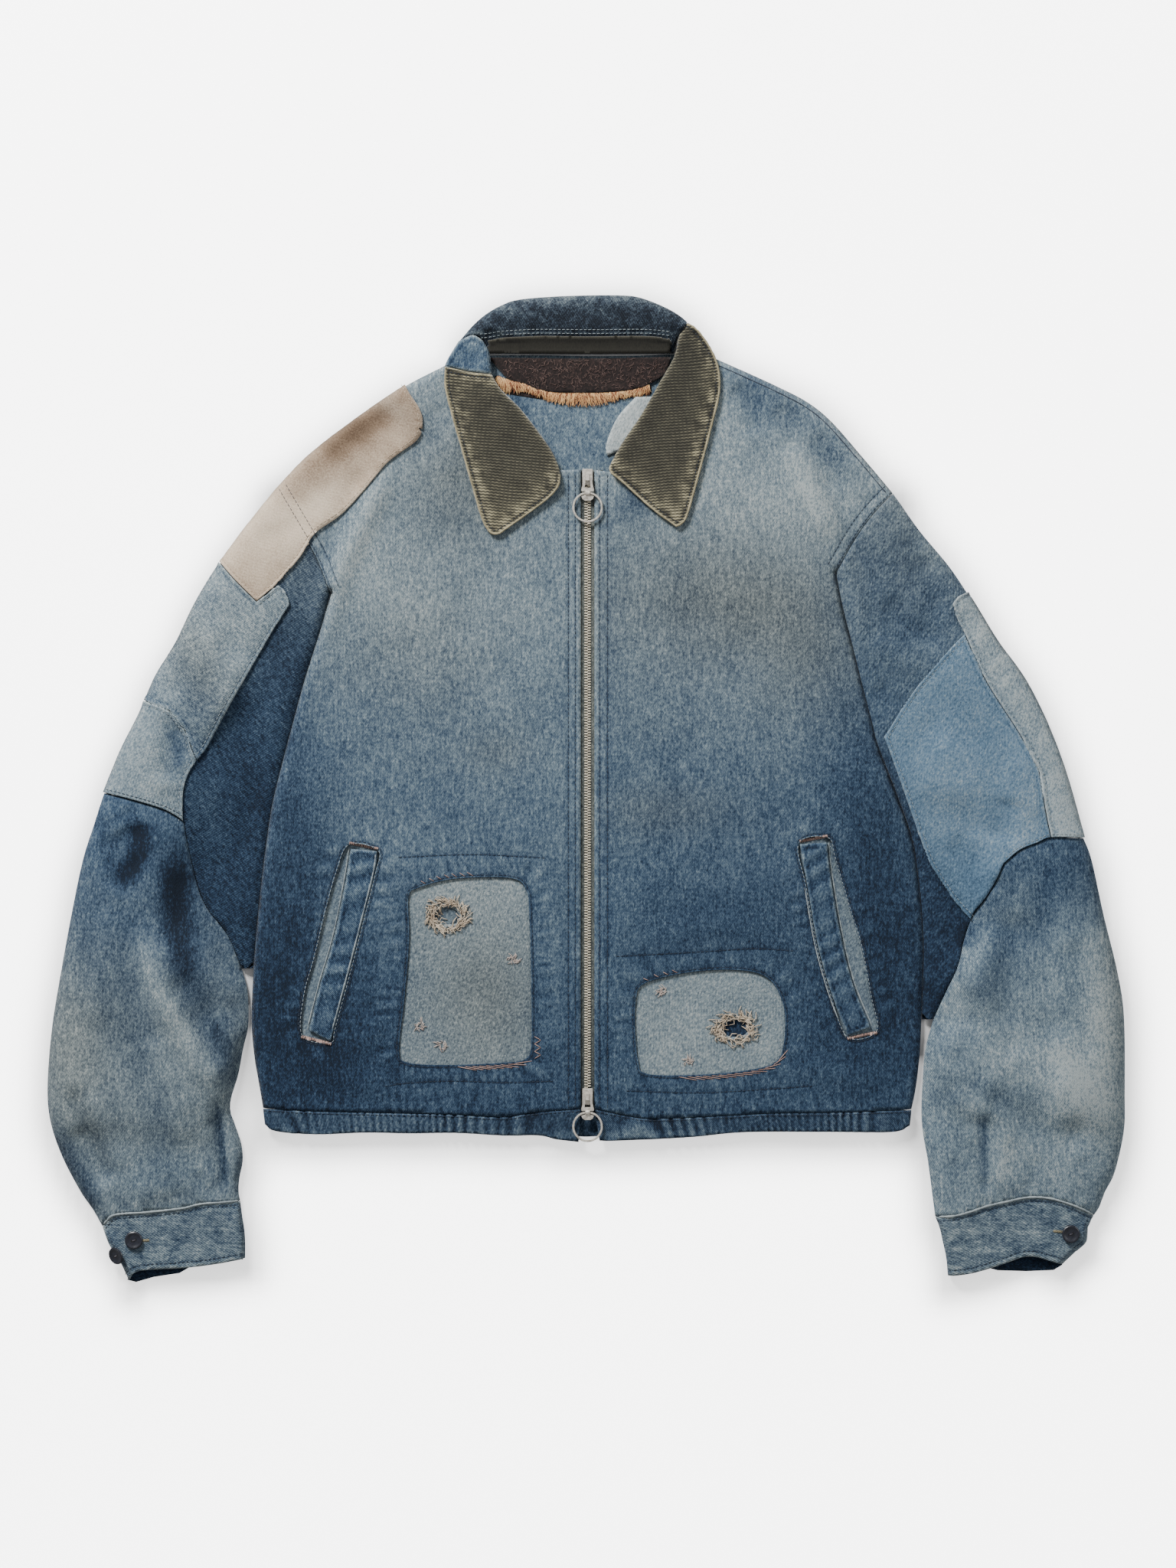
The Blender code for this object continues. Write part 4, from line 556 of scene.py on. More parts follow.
def sewing(points):
    """What the sewing does to the cloth: its height, and how worn it is, with painted shade in its grooves,
    from the table of seams.
    """
    height, wear = np.zeros(len(points)), np.zeros(len(points))
    for line, offset, depth, lift, centre, reach, pitch, phase in SEAMS:
        near = boxed(points, line, SEAM_REACH)
        if not near.any():
            continue
        _, position, side = nearest(points[near], line)
        total = length_of(line)
        fade = eased(np.minimum(position, total - position) / SEAM_FADE)
        height[near] -= depth * fade * np.exp(-((side - offset) / GROOVE_WIDTH) ** 2)
        # Painted shade: darker in the groove where the stitches sink the cloth.
        wear[near] -= GROOVE_DARK * fade * (depth > 0) * np.exp(-((side - offset) / GROOVE_DARK_WIDTH) ** 2)
        along = position / pitch
        wobble = 2.3 * np.sin(1.07 * along + phase) + 1.9 * np.sin(0.43 * along + 2.6 * phase) + 0.12 * side
        strength = 0.55 + 0.45 * np.sin(0.83 * along + 3 * phase) * np.cos(0.31 * along + phase + 0.1 * side)
        pull = strength * np.cos(2 * math.pi * along + phase + wobble)
        band = fade * np.exp(-((side - centre) / reach) ** 2)
        height[near] += lift * pull * band
        wear[near] += CREST_WEAR * lift * pull * band + BAND_WEAR * abs(lift) * band
    return height, wear


# The gathers run between these distances from the zip, and fade over this length at both
PUCKER_START = 16
PUCKER_END = 248
PUCKER_FADE = 20


def pucker(points):
    """The gathers that the hem draws its cloth into, fading out at the zip and at the sides."""
    away = np.abs(points[:, 0] - ZIP_X)
    fade = (np.clip((away - PUCKER_START) / PUCKER_FADE, 0, 1)
            * np.clip((PUCKER_END - away) / PUCKER_FADE, 0, 1))
    along = points[:, 0] / PUCKER_PITCH
    strength = 0.65 + 0.35 * np.sin(0.71 * along) * np.cos(0.29 * along)
    uneven = 1.9 * np.sin(0.93 * along) + 1.6 * np.sin(0.37 * along + 1)
    lean = (0.10 + 0.12 * np.sin(0.21 * along)) * points[:, 1]
    return PUCKER_HEIGHT * fade * strength * np.cos(2 * math.pi * along + uneven + lean)


def roll_share(points):
    """How much of its full height the drape has: 0 where the cloth turns down to the floor."""
    share = np.ones(len(points))
    for edge, roll, _ in EDGES:
        line = smooth(edge, 6.0)
        near = boxed(points, line, SLEEVE_ROLL + 2)
        if near.any():
            width = arm_roll(points[near]) if roll == SLEEVE_ROLL else roll
            share[near] = np.minimum(share[near], rolled(nearest(points[near], line)[0], width))
    return share


# Where the body's small folds begin to turn into the sleeves' ones, and over what width
ARM_START = 225
ARM_BLEND = 40


def unevenness(points):
    """Small folds everywhere: shallow on the body, deeper and drawn out along the sleeves."""
    out = eased((np.abs(points[:, 0]) - ARM_START) / ARM_BLEND)
    body = 0.30 * waves(points, 3, 38, 110)
    arm = 0.55 * waves(points, 8, 26, 90, squeeze=0.55, turn=0.12)
    off_zip = eased((np.abs(points[:, 0] - ZIP_X) - 6) / 30)
    return (body * (1 - out) + arm * out) * (0.25 + 0.75 * off_zip)


def drape(points):
    """The outer face's height over the floor, anywhere on the body and the sleeves."""
    full = loft(points) + ridges(points, FOLDS + CREASES) + unevenness(points) + sewing(points)[0]
    return RIM + (full - RIM) * roll_share(points)


def tinted(points, profile, spots):
    """A value that changes down the garment, with soft spots added to it."""
    levels = sorted(profile)
    value = np.interp(points[:, 1], [y for y, _ in levels], [v for _, v in levels])
    for x, y, wide, tall, turn, more in spots:
        c, s = math.cos(math.radians(turn)), math.sin(math.radians(turn))
        dx, dy = points[:, 0] - x, points[:, 1] - y
        value = value + more * np.exp(-((dx * c + dy * s) / wide) ** 2 - ((dy * c - dx * s) / tall) ** 2)
    return value


def normals(verts, faces):
    """The mean normal at each point."""
    total = np.zeros_like(verts)
    a, b, c = verts[faces[:, 0]], verts[faces[:, 1]], verts[faces[:, 2]]
    cross = np.cross(b - a, c - a)
    for k in range(3):
        np.add.at(total, faces[:, k], cross)
    return total / np.maximum(np.linalg.norm(total, axis=1)[:, None], 1e-9)


def placed(verts):
    """Points in outline millimetres as points in metres in the frame."""
    moved = np.array(verts, float)
    moved[:, :2] -= CENTRE
    return moved * MM


def mesh_object(name, verts, faces, finish, wall=None, values=None, sharp=60):
    """A piece from points in millimetres, made a wall with Solidify, with values at its points."""
    mesh = bpy.data.meshes.new(name)
    mesh.from_pydata(placed(verts).tolist(), [], [tuple(int(i) for i in f) for f in faces])
    mesh.shade_smooth()
    mesh.set_sharp_from_angle(angle=math.radians(sharp))
    mesh.materials.append(finish)
    for key, value in (values or {}).items():
        mesh.attributes.new(key, "FLOAT", "POINT").data.foreach_set("value", np.asarray(value, np.float32))
    obj = bpy.data.objects.new(name, mesh)
    bpy.context.scene.collection.objects.link(obj)
    if wall:
        SURFACES.append((np.array(verts, float), np.array(faces)))
        solid = obj.modifiers.new("wall", "SOLIDIFY")
        solid.thickness = wall * MM
        solid.offset = -1.0
    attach(obj, "root")
    return obj


def looks_at(points, look):
    """The values that a cloth's finish reads at its points."""
    profile, spots, warm_profile, warm_spots = look
    folded = np.clip(ridges(points, FOLDS + CREASES), -4, 4)
    # The fade value takes the painted shade and highlight of the strokes, and the second value the folds'
    # worn ridges and the painted shade in their troughs and in the seams' grooves.
    return {"fade": tinted(points, profile, spots) + ridges(points, FOLD_SHADE_AND_WEAR_STROKES),
            "wear": sewing(points)[1] + FOLD_WEAR_AND_SHADE * folded,
            "warm": tinted(points, warm_profile, warm_spots)}


def cut_size(plan, sides=(1, 1)):
    """The smallest rectangle that a flat piece fits, its width and length times the layers across each."""
    best = None
    for turn in np.radians(np.arange(0, 90, 3)):
        c, s = math.cos(turn), math.sin(turn)
        size = np.ptp(plan @ np.array([[c, -s], [s, c]]), axis=0)
        if best is None or size[0] * size[1] < best[0] * best[1]:
            best = sorted(size)
    return (best[0] * sides[0] * MM, best[1] * sides[1] * MM)


def area_of(verts, faces):
    a, b, c = verts[faces[:, 0]], verts[faces[:, 1]], verts[faces[:, 2]]
    return np.linalg.norm(np.cross(b - a, c - a), axis=1).sum() / 2 * MM * MM


def declare(obj, node, verts, faces, sides=(1, 1)):
    """Hides the CAD node that obj takes the place of, and works out the size that its mesh has flat, which is
    not kept.
    """
    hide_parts(node)
    flat = cut_size(verts[:, :2], sides)
    area = min(area_of(verts, faces), 0.999 * flat[0] * flat[1])
    return obj


def sheet(node, outline, top, finish, wall, look, slot, rests_on=("back",), add=None, **fill_options):
    """A wall of cloth whose outer face has the height that top gives."""
    plan, faces = fill(outline, **fill_options)
    verts = np.column_stack([plan, top(plan)])
    values = looks_at(plan, look)
    if add:
        add(plan, values)
    obj = mesh_object("cloth_" + node, verts, faces, finish, wall, values)
    declare(obj, node, verts, faces)
    return verts, faces


def under_height(points, edge_distance):
    """The underside of a tube: flat on the floor, round at its rim, with shallow troughs pushed up in it."""
    inner = eased((edge_distance - 6) / 24)
    troughs = np.maximum(waves(points, 21, 34, 100, squeeze=0.5), 0)
    return RIM * (1 - rolled(edge_distance + SEAM, 7.0)) + 0.9 * inner * troughs


def tube(node, outline, open_lines, top, finish, wall, look, slot, rests_on=("floor",), add=None,
         **fill_options):
    """A tube of cloth laid flat: a front sheet over a back sheet, joined where no run is open."""
    plan, faces = fill(outline, **fill_options)
    upper = np.column_stack([plan, top(plan)])
    rim = borders(faces)[0]
    low_plan, low_faces = fill(plan[rim], step=UNDER_STEP)
    edge_distance = nearest(low_plan, closed(plan[rim]))[0]
    lift = under_height(low_plan, edge_distance)
    is_open = np.zeros(len(low_plan), bool)
    for line in open_lines:
        to_line = nearest(low_plan, line)[0]
        at_end = np.minimum(np.linalg.norm(low_plan - line[0], axis=1),
                            np.linalg.norm(low_plan - line[-1], axis=1))
        is_open |= (to_line < 4 * SEAM) & (at_end > 2.0)
        lift *= np.clip(to_line / (2 * RIM), 0, 1)
    shared = (edge_distance < 1e-3) & ~is_open
    place = np.zeros(len(low_plan), int)
    tree = KDTree(len(rim))
    for i in rim:
        tree.insert((*plan[i], 0), i)
    tree.balance()
    extra = []
    for i, p in enumerate(low_plan):
        if shared[i]:
            place[i] = tree.find((p[0], p[1], 0))[1]
        else:
            place[i] = len(upper) + len(extra)
            extra.append((*p, lift[i]))
    verts = np.vstack([upper, extra])
    all_faces = np.vstack([faces, place[low_faces][:, ::-1]])
    values = looks_at(verts[:, :2], look)
    if add:
        add(verts[:, :2], values)
    obj = mesh_object("cloth_" + node, verts, all_faces, finish, wall, values)
    around = (1, 2) if node.startswith("cuff") else (2, 1)
    declare(obj, node, verts, all_faces, sides=around)
    return upper, faces


def joined(first, second):
    """Two sheets as one, their points merged along the seam between them."""
    verts, faces = first
    more, more_faces = second
    tree = KDTree(len(verts))
    for i, p in enumerate(verts):
        tree.insert((p[0], p[1], 0), i)
    tree.balance()
    place, kept = np.zeros(len(more), int), []
    for i, p in enumerate(more):
        _, index, away = tree.find((p[0], p[1], 0))
        if away < 4 * SEAM:
            place[i] = index
        else:
            place[i] = len(verts) + len(kept)
            kept.append(p)
    moved = place[more_faces]
    whole = (moved[:, 0] != moved[:, 1]) & (moved[:, 1] != moved[:, 2]) & (moved[:, 0] != moved[:, 2])
    return np.vstack([verts, kept]), np.vstack([faces, moved[whole]])


def patch(node, cloth, region, seams, finish, look, wall=PATCH):
    """A patch: the faces of the cloth beneath that lie in the region, moved out from it."""
    verts, faces = cloth
    middle = verts[faces].mean(axis=1)[:, :2]
    chosen = faces[inside(middle, np.array(region, float))]
    up = only_used(normals(verts, faces), chosen)[0]
    verts, chosen = only_used(verts, chosen)
    edge = np.min([nearest(verts[:, :2], smooth(seam))[0] for seam in seams], axis=0)
    near = edge < 4 * SEAM
    turned = 0.45 * np.exp(-((edge - 1.2) / 1.5) ** 2) - 0.3 * np.exp(-((edge - 3.2) / 0.9) ** 2)
    moved = verts + up * (LAY + wall + turned[:, None])
    sunk, worn = sewing(verts[:, :2])
    moved[:, 2] -= np.minimum(sunk, 0)
    for run in borders(chosen):
        for before, here, after in zip(run[-1:] + run[:-1], run, run[1:] + run[:1]):
            if not near[here]:
                continue
            if near[before] and near[after]:
                along = verts[after, :2] - verts[before, :2]
                step = np.array([-along[1], along[0]]) / max(np.linalg.norm(along), 1e-9)
                moved[here, :2] += step * SEAM * 1.3
            else:
                way = verts[after if near[before] else before] - verts[here]
                moved[here] += way / np.linalg.norm(way) * SEAM * 1.6
    values = looks_at(verts[:, :2], look)
    # Pale along the patch's edge as worn cloth, and darker in the dip of its turned edge as painted shade;
    # the sewing's darker marks are taken out.
    values["wear"] = values["wear"] - np.minimum(worn, 0) + 0.9 * np.exp(-(edge / 1.0) ** 2) \
        - 0.9 * np.exp(-((edge - 3.2) / 0.8) ** 2)
    obj = mesh_object("cloth_" + node, moved, chosen, finish, wall, values)
    declare(obj, node, moved, chosen)
    return moved, chosen


# How much paler the ridges of the folds are, as worn cloth, and how much darker their troughs, as painted
# shade.
FOLD_WEAR_AND_SHADE = 0.17

# Smaller creases that only the fine cloth has: a path, a height and a half width, as in FOLDS
CREASES = [
    ([(-150, 262), (-172, 215), (-196, 165), (-206, 110)], 2.4, 9),
    ([(-172, 256), (-194, 212), (-214, 168)], -1.8, 8),
    ([(135, 318), (163, 250), (190, 205), (207, 160), (214, 100)], 2.6, 9),
    ([(158, 314), (180, 262), (203, 212), (222, 168)], -2.0, 8),
    ([(-377, -18), (-378, -44), (-374, -66)], -2.2, 8), ([(-358, -24), (-347, -50), (-358, -68)], -2.6, 8),
    ([(-324, -28), (-314, -108), (-302, -165), (-286, -215)], -2.6, 13),
    ([(-340, -96), (-327, -161), (-306, -203), (-280, -247), (-272, -268)], 2.8, 11),
    ([(-402, -262), (-389, -291), (-374, -312)], -2.4, 9),
    ([(-291, -238), (-287, -278), (-283, -316)], -1.8, 4),
    ([(-118, 305), (-122, 280), (-140, 262)], -1.6, 10), ([(-98, 300), (-108, 270), (-104, 240)], 1.2, 10),
    ([(-196, 270), (-176, 286), (-150, 300)], -0.9, 9), ([(-232, 232), (-205, 250), (-176, 272)], 0.9, 12),
    ([(-262, 196), (-240, 200), (-222, 214)], -0.8, 8), ([(112, 318), (126, 300), (131, 276)], -1.8, 10),
    ([(146, 300), (157, 283), (160, 262)], -1.4, 9), ([(178, 282), (190, 258), (196, 232)], -1.3, 10),
    ([(205, 262), (214, 242), (218, 226)], 0.9, 8), ([(246, 205), (258, 178), (282, 132)], -1.5, 11),
    ([(262, 200), (276, 170), (296, 132)], 1.2, 10), ([(232, 150), (254, 128), (280, 112)], -1.3, 9),
    ([(222, 120), (240, 104), (262, 94)], 1.1, 9), ([(226, 84), (238, 70), (252, 66)], -1.0, 8),
    ([(262, 60), (285, 42), (318, 40)], -0.9, 11), ([(254, 6), (280, 0), (312, 8)], 0.9, 12),
    ([(282, -38), (300, -58), (312, -84)], -1.6, 9), ([(300, -30), (316, -52), (322, -74)], 1.3, 8),
    ([(336, 30), (346, 8), (350, -24)], 1.0, 9), ([(340, -60), (362, -86), (378, -130)], 1.3, 12),
    ([(352, -50), (356, -110), (350, -170)], -1.2, 13), ([(378, -110), (388, -160), (392, -215)], -1.1, 12),
    ([(300, -150), (296, -190), (284, -222)], -1.6, 9), ([(330, -200), (352, -226), (380, -238)], 1.5, 12),
    ([(282, -238), (300, -248), (318, -246)], 1.7, 9), ([(296, -262), (308, -282), (309, -312)], 1.5, 7),
    ([(326, -262), (322, -290), (318, -314)], 1.3, 7), ([(352, -285), (348, -304), (344, -317)], -0.9, 6),
    ([(384, -285), (390, -306), (392, -324)], -1.1, 7), ([(284, -286), (292, -306), (294, -326)], -1.0, 6),
    ([(-364, -14), (-352, -30), (-338, -34)], -1.6, 8), ([(-352, -16), (-346, -46), (-352, -70)], 1.4, 8),
    ([(-384, -60), (-388, -110), (-398, -160)], -1.3, 11),
    ([(-372, -90), (-376, -140), (-384, -190)], 1.2, 12),
    ([(-352, -110), (-350, -160), (-356, -220)], -1.3, 12),
    ([(-318, -60), (-322, -100), (-340, -130)], -1.4, 10),
    ([(-300, -110), (-292, -140), (-276, -172)], 1.5, 9),
    ([(-338, -190), (-326, -220), (-306, -256)], 1.7, 11),
    ([(-352, -200), (-344, -240), (-330, -280)], -1.2, 10),
    ([(-388, -232), (-380, -262), (-360, -300)], 1.9, 10),
    ([(-300, -262), (-292, -284), (-290, -312)], 1.4, 6),
    ([(-306, -298), (-298, -312), (-290, -320)], -1.3, 5),
    ([(-330, -300), (-322, -312), (-318, -322)], -0.8, 5),
    ([(-350, -306), (-346, -318), (-344, -326)], 0.9, 5),
    ([(-236, 150), (-252, 112), (-276, 70)], -1.3, 10), ([(-220, 118), (-236, 80), (-252, 40)], 1.1, 9),
    ([(-250, 20), (-266, -20), (-276, -60)], -1.2, 9), ([(-290, 20), (-296, -20), (-290, -60)], 1.2, 9),
    ([(-330, 62), (-322, 40), (-312, 22)], -1.7, 7), ([(-345, 50), (-336, 20), (-330, -8)], 1.3, 8),
    ([(-300, 118), (-316, 90), (-330, 70)], -1.4, 9), ([(-286, 136), (-298, 112), (-318, 84)], 1.0, 8),
    ([(-60, 185), (-90, 150), (-100, 110)], -0.8, 16), ([(60, 190), (84, 160), (92, 120)], -0.8, 16),
    ([(-150, 110), (-130, 60), (-140, 10)], 0.7, 20), ([(140, 100), (128, 50), (142, 0)], 0.7, 20),
    ([(-40, 60), (-56, 10), (-50, -40)], -0.6, 16), ([(50, 60), (66, 0), (58, -60)], -0.6, 18),
    ([(-205, 40), (-214, -20), (-222, -80)], 0.8, 13), ([(206, 40), (216, -10), (224, -60)], 0.8, 13),
    ([(-240, -190), (-200, -222), (-150, -236)], 1.0, 11),
    ([(-228, -232), (-190, -240), (-160, -246)], -0.8, 8),
    ([(-170, -160), (-158, -186), (-154, -214)], -0.9, 7),
    ([(-200, -214), (-178, -200), (-160, -176)], 0.9, 8), ([(30, -120), (90, -108), (150, -112)], 0.8, 12),
    ([(160, -212), (196, -224), (240, -226)], 0.9, 10), ([(-26, -60), (-30, -140), (-24, -220)], 0.5, 9),
    ([(24, -60), (26, -110), (24, -180)], 0.5, 9)]

# Where the cloth is paler or darker along a line: painted shade in the troughs of folds and creases and
# painted highlight on their ridges, and worn and stained places by the zip, the pockets and the shoulder
# patch: a path, how much in tone, and a half width
FOLD_SHADE_AND_WEAR_STROKES = [
    ([(-350, -20), (-348, -44), (-358, -65), (-372, -71)], -0.42, 8),
    ([(-376, -28), (-362, -39), (-374, -57)], 0.12, 6), ([(-388, -22), (-386, -50), (-392, -90)], 0.06, 7),
    ([(-324, -46), (-322, -90), (-318, -122), (-308, -156)], -0.34, 11),
    ([(-294, -176), (-284, -205), (-280, -236)], -0.20, 9),
    ([(-358, -104), (-338, -148), (-320, -180), (-303, -208)], 0.14, 8),
    ([(-418, -260), (-408, -286), (-395, -309), (-380, -330)], -0.26, 8),
    ([(-408, -239), (-397, -268), (-384, -296), (-371, -320)], 0.13, 6),
    ([(-290, -244), (-286, -278), (-283, -315)], -0.34, 2.6),
    ([(-286, -247), (-281, -278), (-279, -315)], 0.18, 2.2),
    ([(-337, -234), (-332, -265), (-337, -304)], -0.08, 9),
    ([(-368, -72), (-358, -114), (-350, -140)], -0.05, 8),
    ([(-385, -120), (-378, -160), (-366, -205)], -0.08, 8),
    ([(-366, -215), (-356, -250), (-350, -290)], 0.06, 8),
    ([(-322, -232), (-318, -262), (-312, -296)], 0.07, 7),
    ([(-306, -292), (-300, -304), (-294, -312)], 0.14, 2),
    ([(-336, -312), (-326, -318), (-318, -320)], 0.12, 2),
    ([(-352, -314), (-346, -318), (-338, -318)], -0.14, 3),
    ([(-337, -341), (-322, -351), (-327, -367)], -0.15, 4),
    ([(-371, -343), (-366, -369), (-358, -380)], -0.14, 3),
    ([(-300, -334), (-290, -346), (-294, -362)], -0.07, 5),
    ([(-340, -360), (-322, -362), (-300, -358)], 0.08, 4), ([(297, -100), (296, -125)], -0.26, 8),
    ([(334, -104), (314, -138), (302, -168)], -0.24, 12), ([(362, -52), (358, -90), (346, -130)], -0.08, 8),
    ([(346, -62), (336, -88), (326, -110)], 0.08, 6), ([(267, -206), (284, -214), (307, -234)], 0.07, 7),
    ([(287, -219), (310, -232), (335, -239), (365, -234)], -0.12, 8),
    ([(264, -240), (276, -244), (290, -236)], -0.12, 7),
    ([(358, -194), (375, -219), (404, -232)], 0.09, 10),
    ([(309, -250), (311, -285), (311, -318)], -0.30, 3.0),
    ([(316, -256), (315, -285), (314, -316)], 0.16, 2.4),
    ([(332, -270), (328, -296), (324, -316)], 0.07, 7), ([(352, -262), (372, -274), (392, -278)], 0.07, 7),
    ([(370, -120), (374, -165), (368, -200)], -0.05, 9), ([(392, -100), (398, -150), (396, -200)], 0.06, 8),
    ([(330, -304), (334, -314), (342, -320)], -0.16, 3),
    ([(279, -355), (305, -352), (330, -353)], -0.15, 2.2),
    ([(282, -368), (300, -366), (320, -367)], -0.13, 2.2),
    ([(279, -347), (300, -344), (322, -345)], 0.12, 2.2),
    ([(280, -361), (302, -359), (322, -360)], 0.10, 2.2),
    ([(335, -330), (355, -333), (375, -343)], -0.14, 4.5),
    ([(325, -353), (350, -358), (365, -353)], -0.12, 4.5),
    ([(330, -343), (348, -347), (362, -350)], 0.10, 3),
    ([(-156, 298), (-180, 281), (-203, 261), (-225, 240), (-248, 224)], -0.24, 12),
    ([(-150, 301), (-166, 290), (-186, 277), (-208, 258)], -0.24, 10),
    ([(-168, 262), (-200, 236), (-232, 204)], 0.08, 9), ([(-236, 182), (-246, 172), (-252, 160)], -0.10, 3),
    ([(-222, 190), (-228, 178), (-238, 166)], 0.08, 3), ([(-160, 276), (-150, 266), (-146, 256)], -0.08, 3),
    ([(-182, 254), (-172, 244), (-166, 236)], -0.07, 3),
    ([(-300, 118), (-298, 94), (-306, 74), (-314, 51)], -0.05, 6),
    ([(-302, 156), (-294, 150), (-288, 146)], -0.10, 6), ([(-322, 100), (-328, 76), (-334, 58)], 0.10, 7),
    ([(-329, 49), (-320, 35), (-317, 11)], -0.18, 5), ([(-306, 40), (-300, 28), (-306, 12)], -0.12, 5),
    ([(-344, 40), (-342, 16), (-346, -6)], 0.06, 8), ([(-6.2, -246), (-6.2, 248)], 0.20, 2.0),
    ([(7.0, -246), (7.0, 248)], 0.20, 2.0), ([(-11.8, -240), (-11.8, 240)], 0.07, 1.8),
    ([(12.6, -240), (12.6, 240)], 0.07, 1.8), ([(-158, -60), (-160, -120), (-166, -190)], 0.07, 4),
    ([(-24, -80), (-25, -140), (-24, -200)], 0.07, 4), ([(-196, -60), (-214, -120), (-232, -184)], 0.14, 4),
    ([(196, -60), (214, -120), (234, -184)], 0.12, 4), ([(-200, -90), (-206, -100), (-210, -112)], 0.12, 4),
    ([(-228, -150), (-234, -170), (-238, -186)], 0.12, 4)]

ZIP_LEFT = [(-4.8, -250), (-4.8, 251.5)]
ZIP_RIGHT = [(5.4, -250), (5.4, 251)]
LEFT_ZIP_EDGE = smooth(ZIP_LEFT)
RIGHT_ZIP_EDGE = smooth(ZIP_RIGHT)
LEFT_WINDOW_LOOP = closed(ring_of(LEFT_WINDOW))
RIGHT_WINDOW_LOOP = closed(ring_of(RIGHT_WINDOW))
LEFT_POCKET_LOOP = closed(ring_of(LEFT_POCKET, 2.0))
RIGHT_POCKET_LOOP = closed(ring_of(RIGHT_POCKET, 2.0))
WINDOW_LINES = [
    [(-148.8, -52.7), (-90, -50.5), (-31.3, -53.2)],
    [(-159.8, -232.2), (-136, -229.2), (-102.9, -228), (-66.2, -229.2), (-23.9, -228)],
    [(21.6, -130.2), (63.4, -128.2), (103.2, -125.8), (133, -124.2), (164.9, -126.2)],
    [(29.6, -235.6), (83.3, -237.2), (123.1, -235.6), (178.8, -231.6)]]

# What the sewing does along each seam: the line, where the stitches sink in beside it and how deep,
# how high the cloth puckers, the middle and half width of the puckered band, their pitch and start
SEAMS = [
    (LEFT_ZIP_EDGE, 4.6, 0.28, 0.16, 8, 6, 9.0, 0.3), (RIGHT_ZIP_EDGE, -4.2, 0.28, 0.16, -8, 6, 9.4, 1.3),
    (LEFT_ZIP_EDGE, 10.0, 0.34, 0, 0, 1, 9, 0), (RIGHT_ZIP_EDGE, -10.5, 0.34, 0, 0, 1, 9, 0),
    (LEFT_WINDOW_LOOP, 1.8, 0.30, 0.62, 11, 7.5, 8.6, 0.0),
    (RIGHT_WINDOW_LOOP, 1.8, 0.30, 0.5, 10, 7.0, 9.2, 1.0),
    (LEFT_POCKET_LOOP, 2.0, 0.28, 0.55, 9, 6.0, 13.0, 0.5),
    (RIGHT_POCKET_LOOP, 2.0, 0.28, 0.5, 9, 6, 13.6, 1.5),
    (smooth(LEFT_HEM_SEAM), -1.6, 0.3, 0.45, 6, 5.5, 10.0, 0.4),
    (smooth(RIGHT_HEM_SEAM), 1.6, 0.3, 0.45, -6, 5.5, 10.0, 1.4),
    (smooth(LEFT_ARMHOLE), 1.8, 0.35, 0.2, 5, 4, 11.0, 0.2),
    (smooth(LEFT_ARMHOLE), 8.2, 0.35, 0, 0, 1, 9, 0),
    (smooth(RIGHT_ARMHOLE), -1.8, 0.35, 0.2, -5, 4, 11.0, 0.7),
    (smooth(RIGHT_ARMHOLE), -8.6, 0.35, 0, 0, 1, 9, 0),
    (smooth(LEFT_ELBOW), 2.6, 0.2, 0.35, -9, 6, 13.0, 0.2),
    (smooth(RIGHT_ELBOW), -2.2, 0.2, 0.35, 9, 6, 12.0, 0.9),
    (smooth(LEFT_CUFF_SEAM), 0, 0, 0.45, 6, 5, 10.5, 0.8),
    (smooth(LEFT_CUFF_SEAM), -2.6, 0.3, 0.35, -10, 6, 12.0, 0.1),
    (smooth(RIGHT_CUFF_SEAM), 0, 0, 0.5, -6, 5, 10.0, 0.4),
    (smooth(RIGHT_CUFF_SEAM), 2.6, 0.3, 0.35, 10, 6, 12.0, 1.1),
    (smooth(LEFT_CUFF_LOW), -4.6, 0.3, 0.25, -8, 5, 9.0, 0.9),
    (smooth(RIGHT_CUFF_LOW), 4.6, 0.3, 0.25, 8, 5, 9.5, 0.2),
    (smooth(STRIP_INNER), 3.2, 0, 0.5, 13, 9, 19.0, 0.6), (smooth(PANEL_TOP), 3.2, 0, 0.3, 8, 6, 11.0, 0.6),
    (smooth(PANEL_INNER), 3.2, 0, 0.2, 6, 5, 12.0, 1.9),
    (smooth(CREAM_SEAM), 3.2, 0, 0.25, -8, 6, 12.0, 0.6),
    (smooth(ARM_PATCH_INNER), 3.2, 0, 0.25, -7, 6, 12.0, 0.6),
    (smooth(BAND_INNER), 3.2, 0, 0.25, -7, 6, 9.0, 1.6),
    (smooth(WINDOW_LINES[0]), 0, 0.25, 0.25, 4, 5, 9.0, 0.5),
    (smooth(WINDOW_LINES[1]), 0, 0.25, 0.3, -4, 6, 10.0, 0.1),
    (smooth(WINDOW_LINES[2]), 0, 0.25, 0.25, 4, 5, 9.0, 0.9),
    (smooth(WINDOW_LINES[3]), 0, 0.25, 0.3, -4, 6, 10.0, 0.4)]
SURFACES = []
CHUNK = 2500


def seam_rows(outline):
    """Rows of points along the sewn lines of a piece, so that its mesh can sink along them."""
    rows = []
    for line, offset, depth, *_ in SEAMS:
        if depth and boxed(line, outline, 20).any():
            rows += [beside(line, offset + more)[1:-1] for more in (-1.3, 0, 1.3)]
    return rows


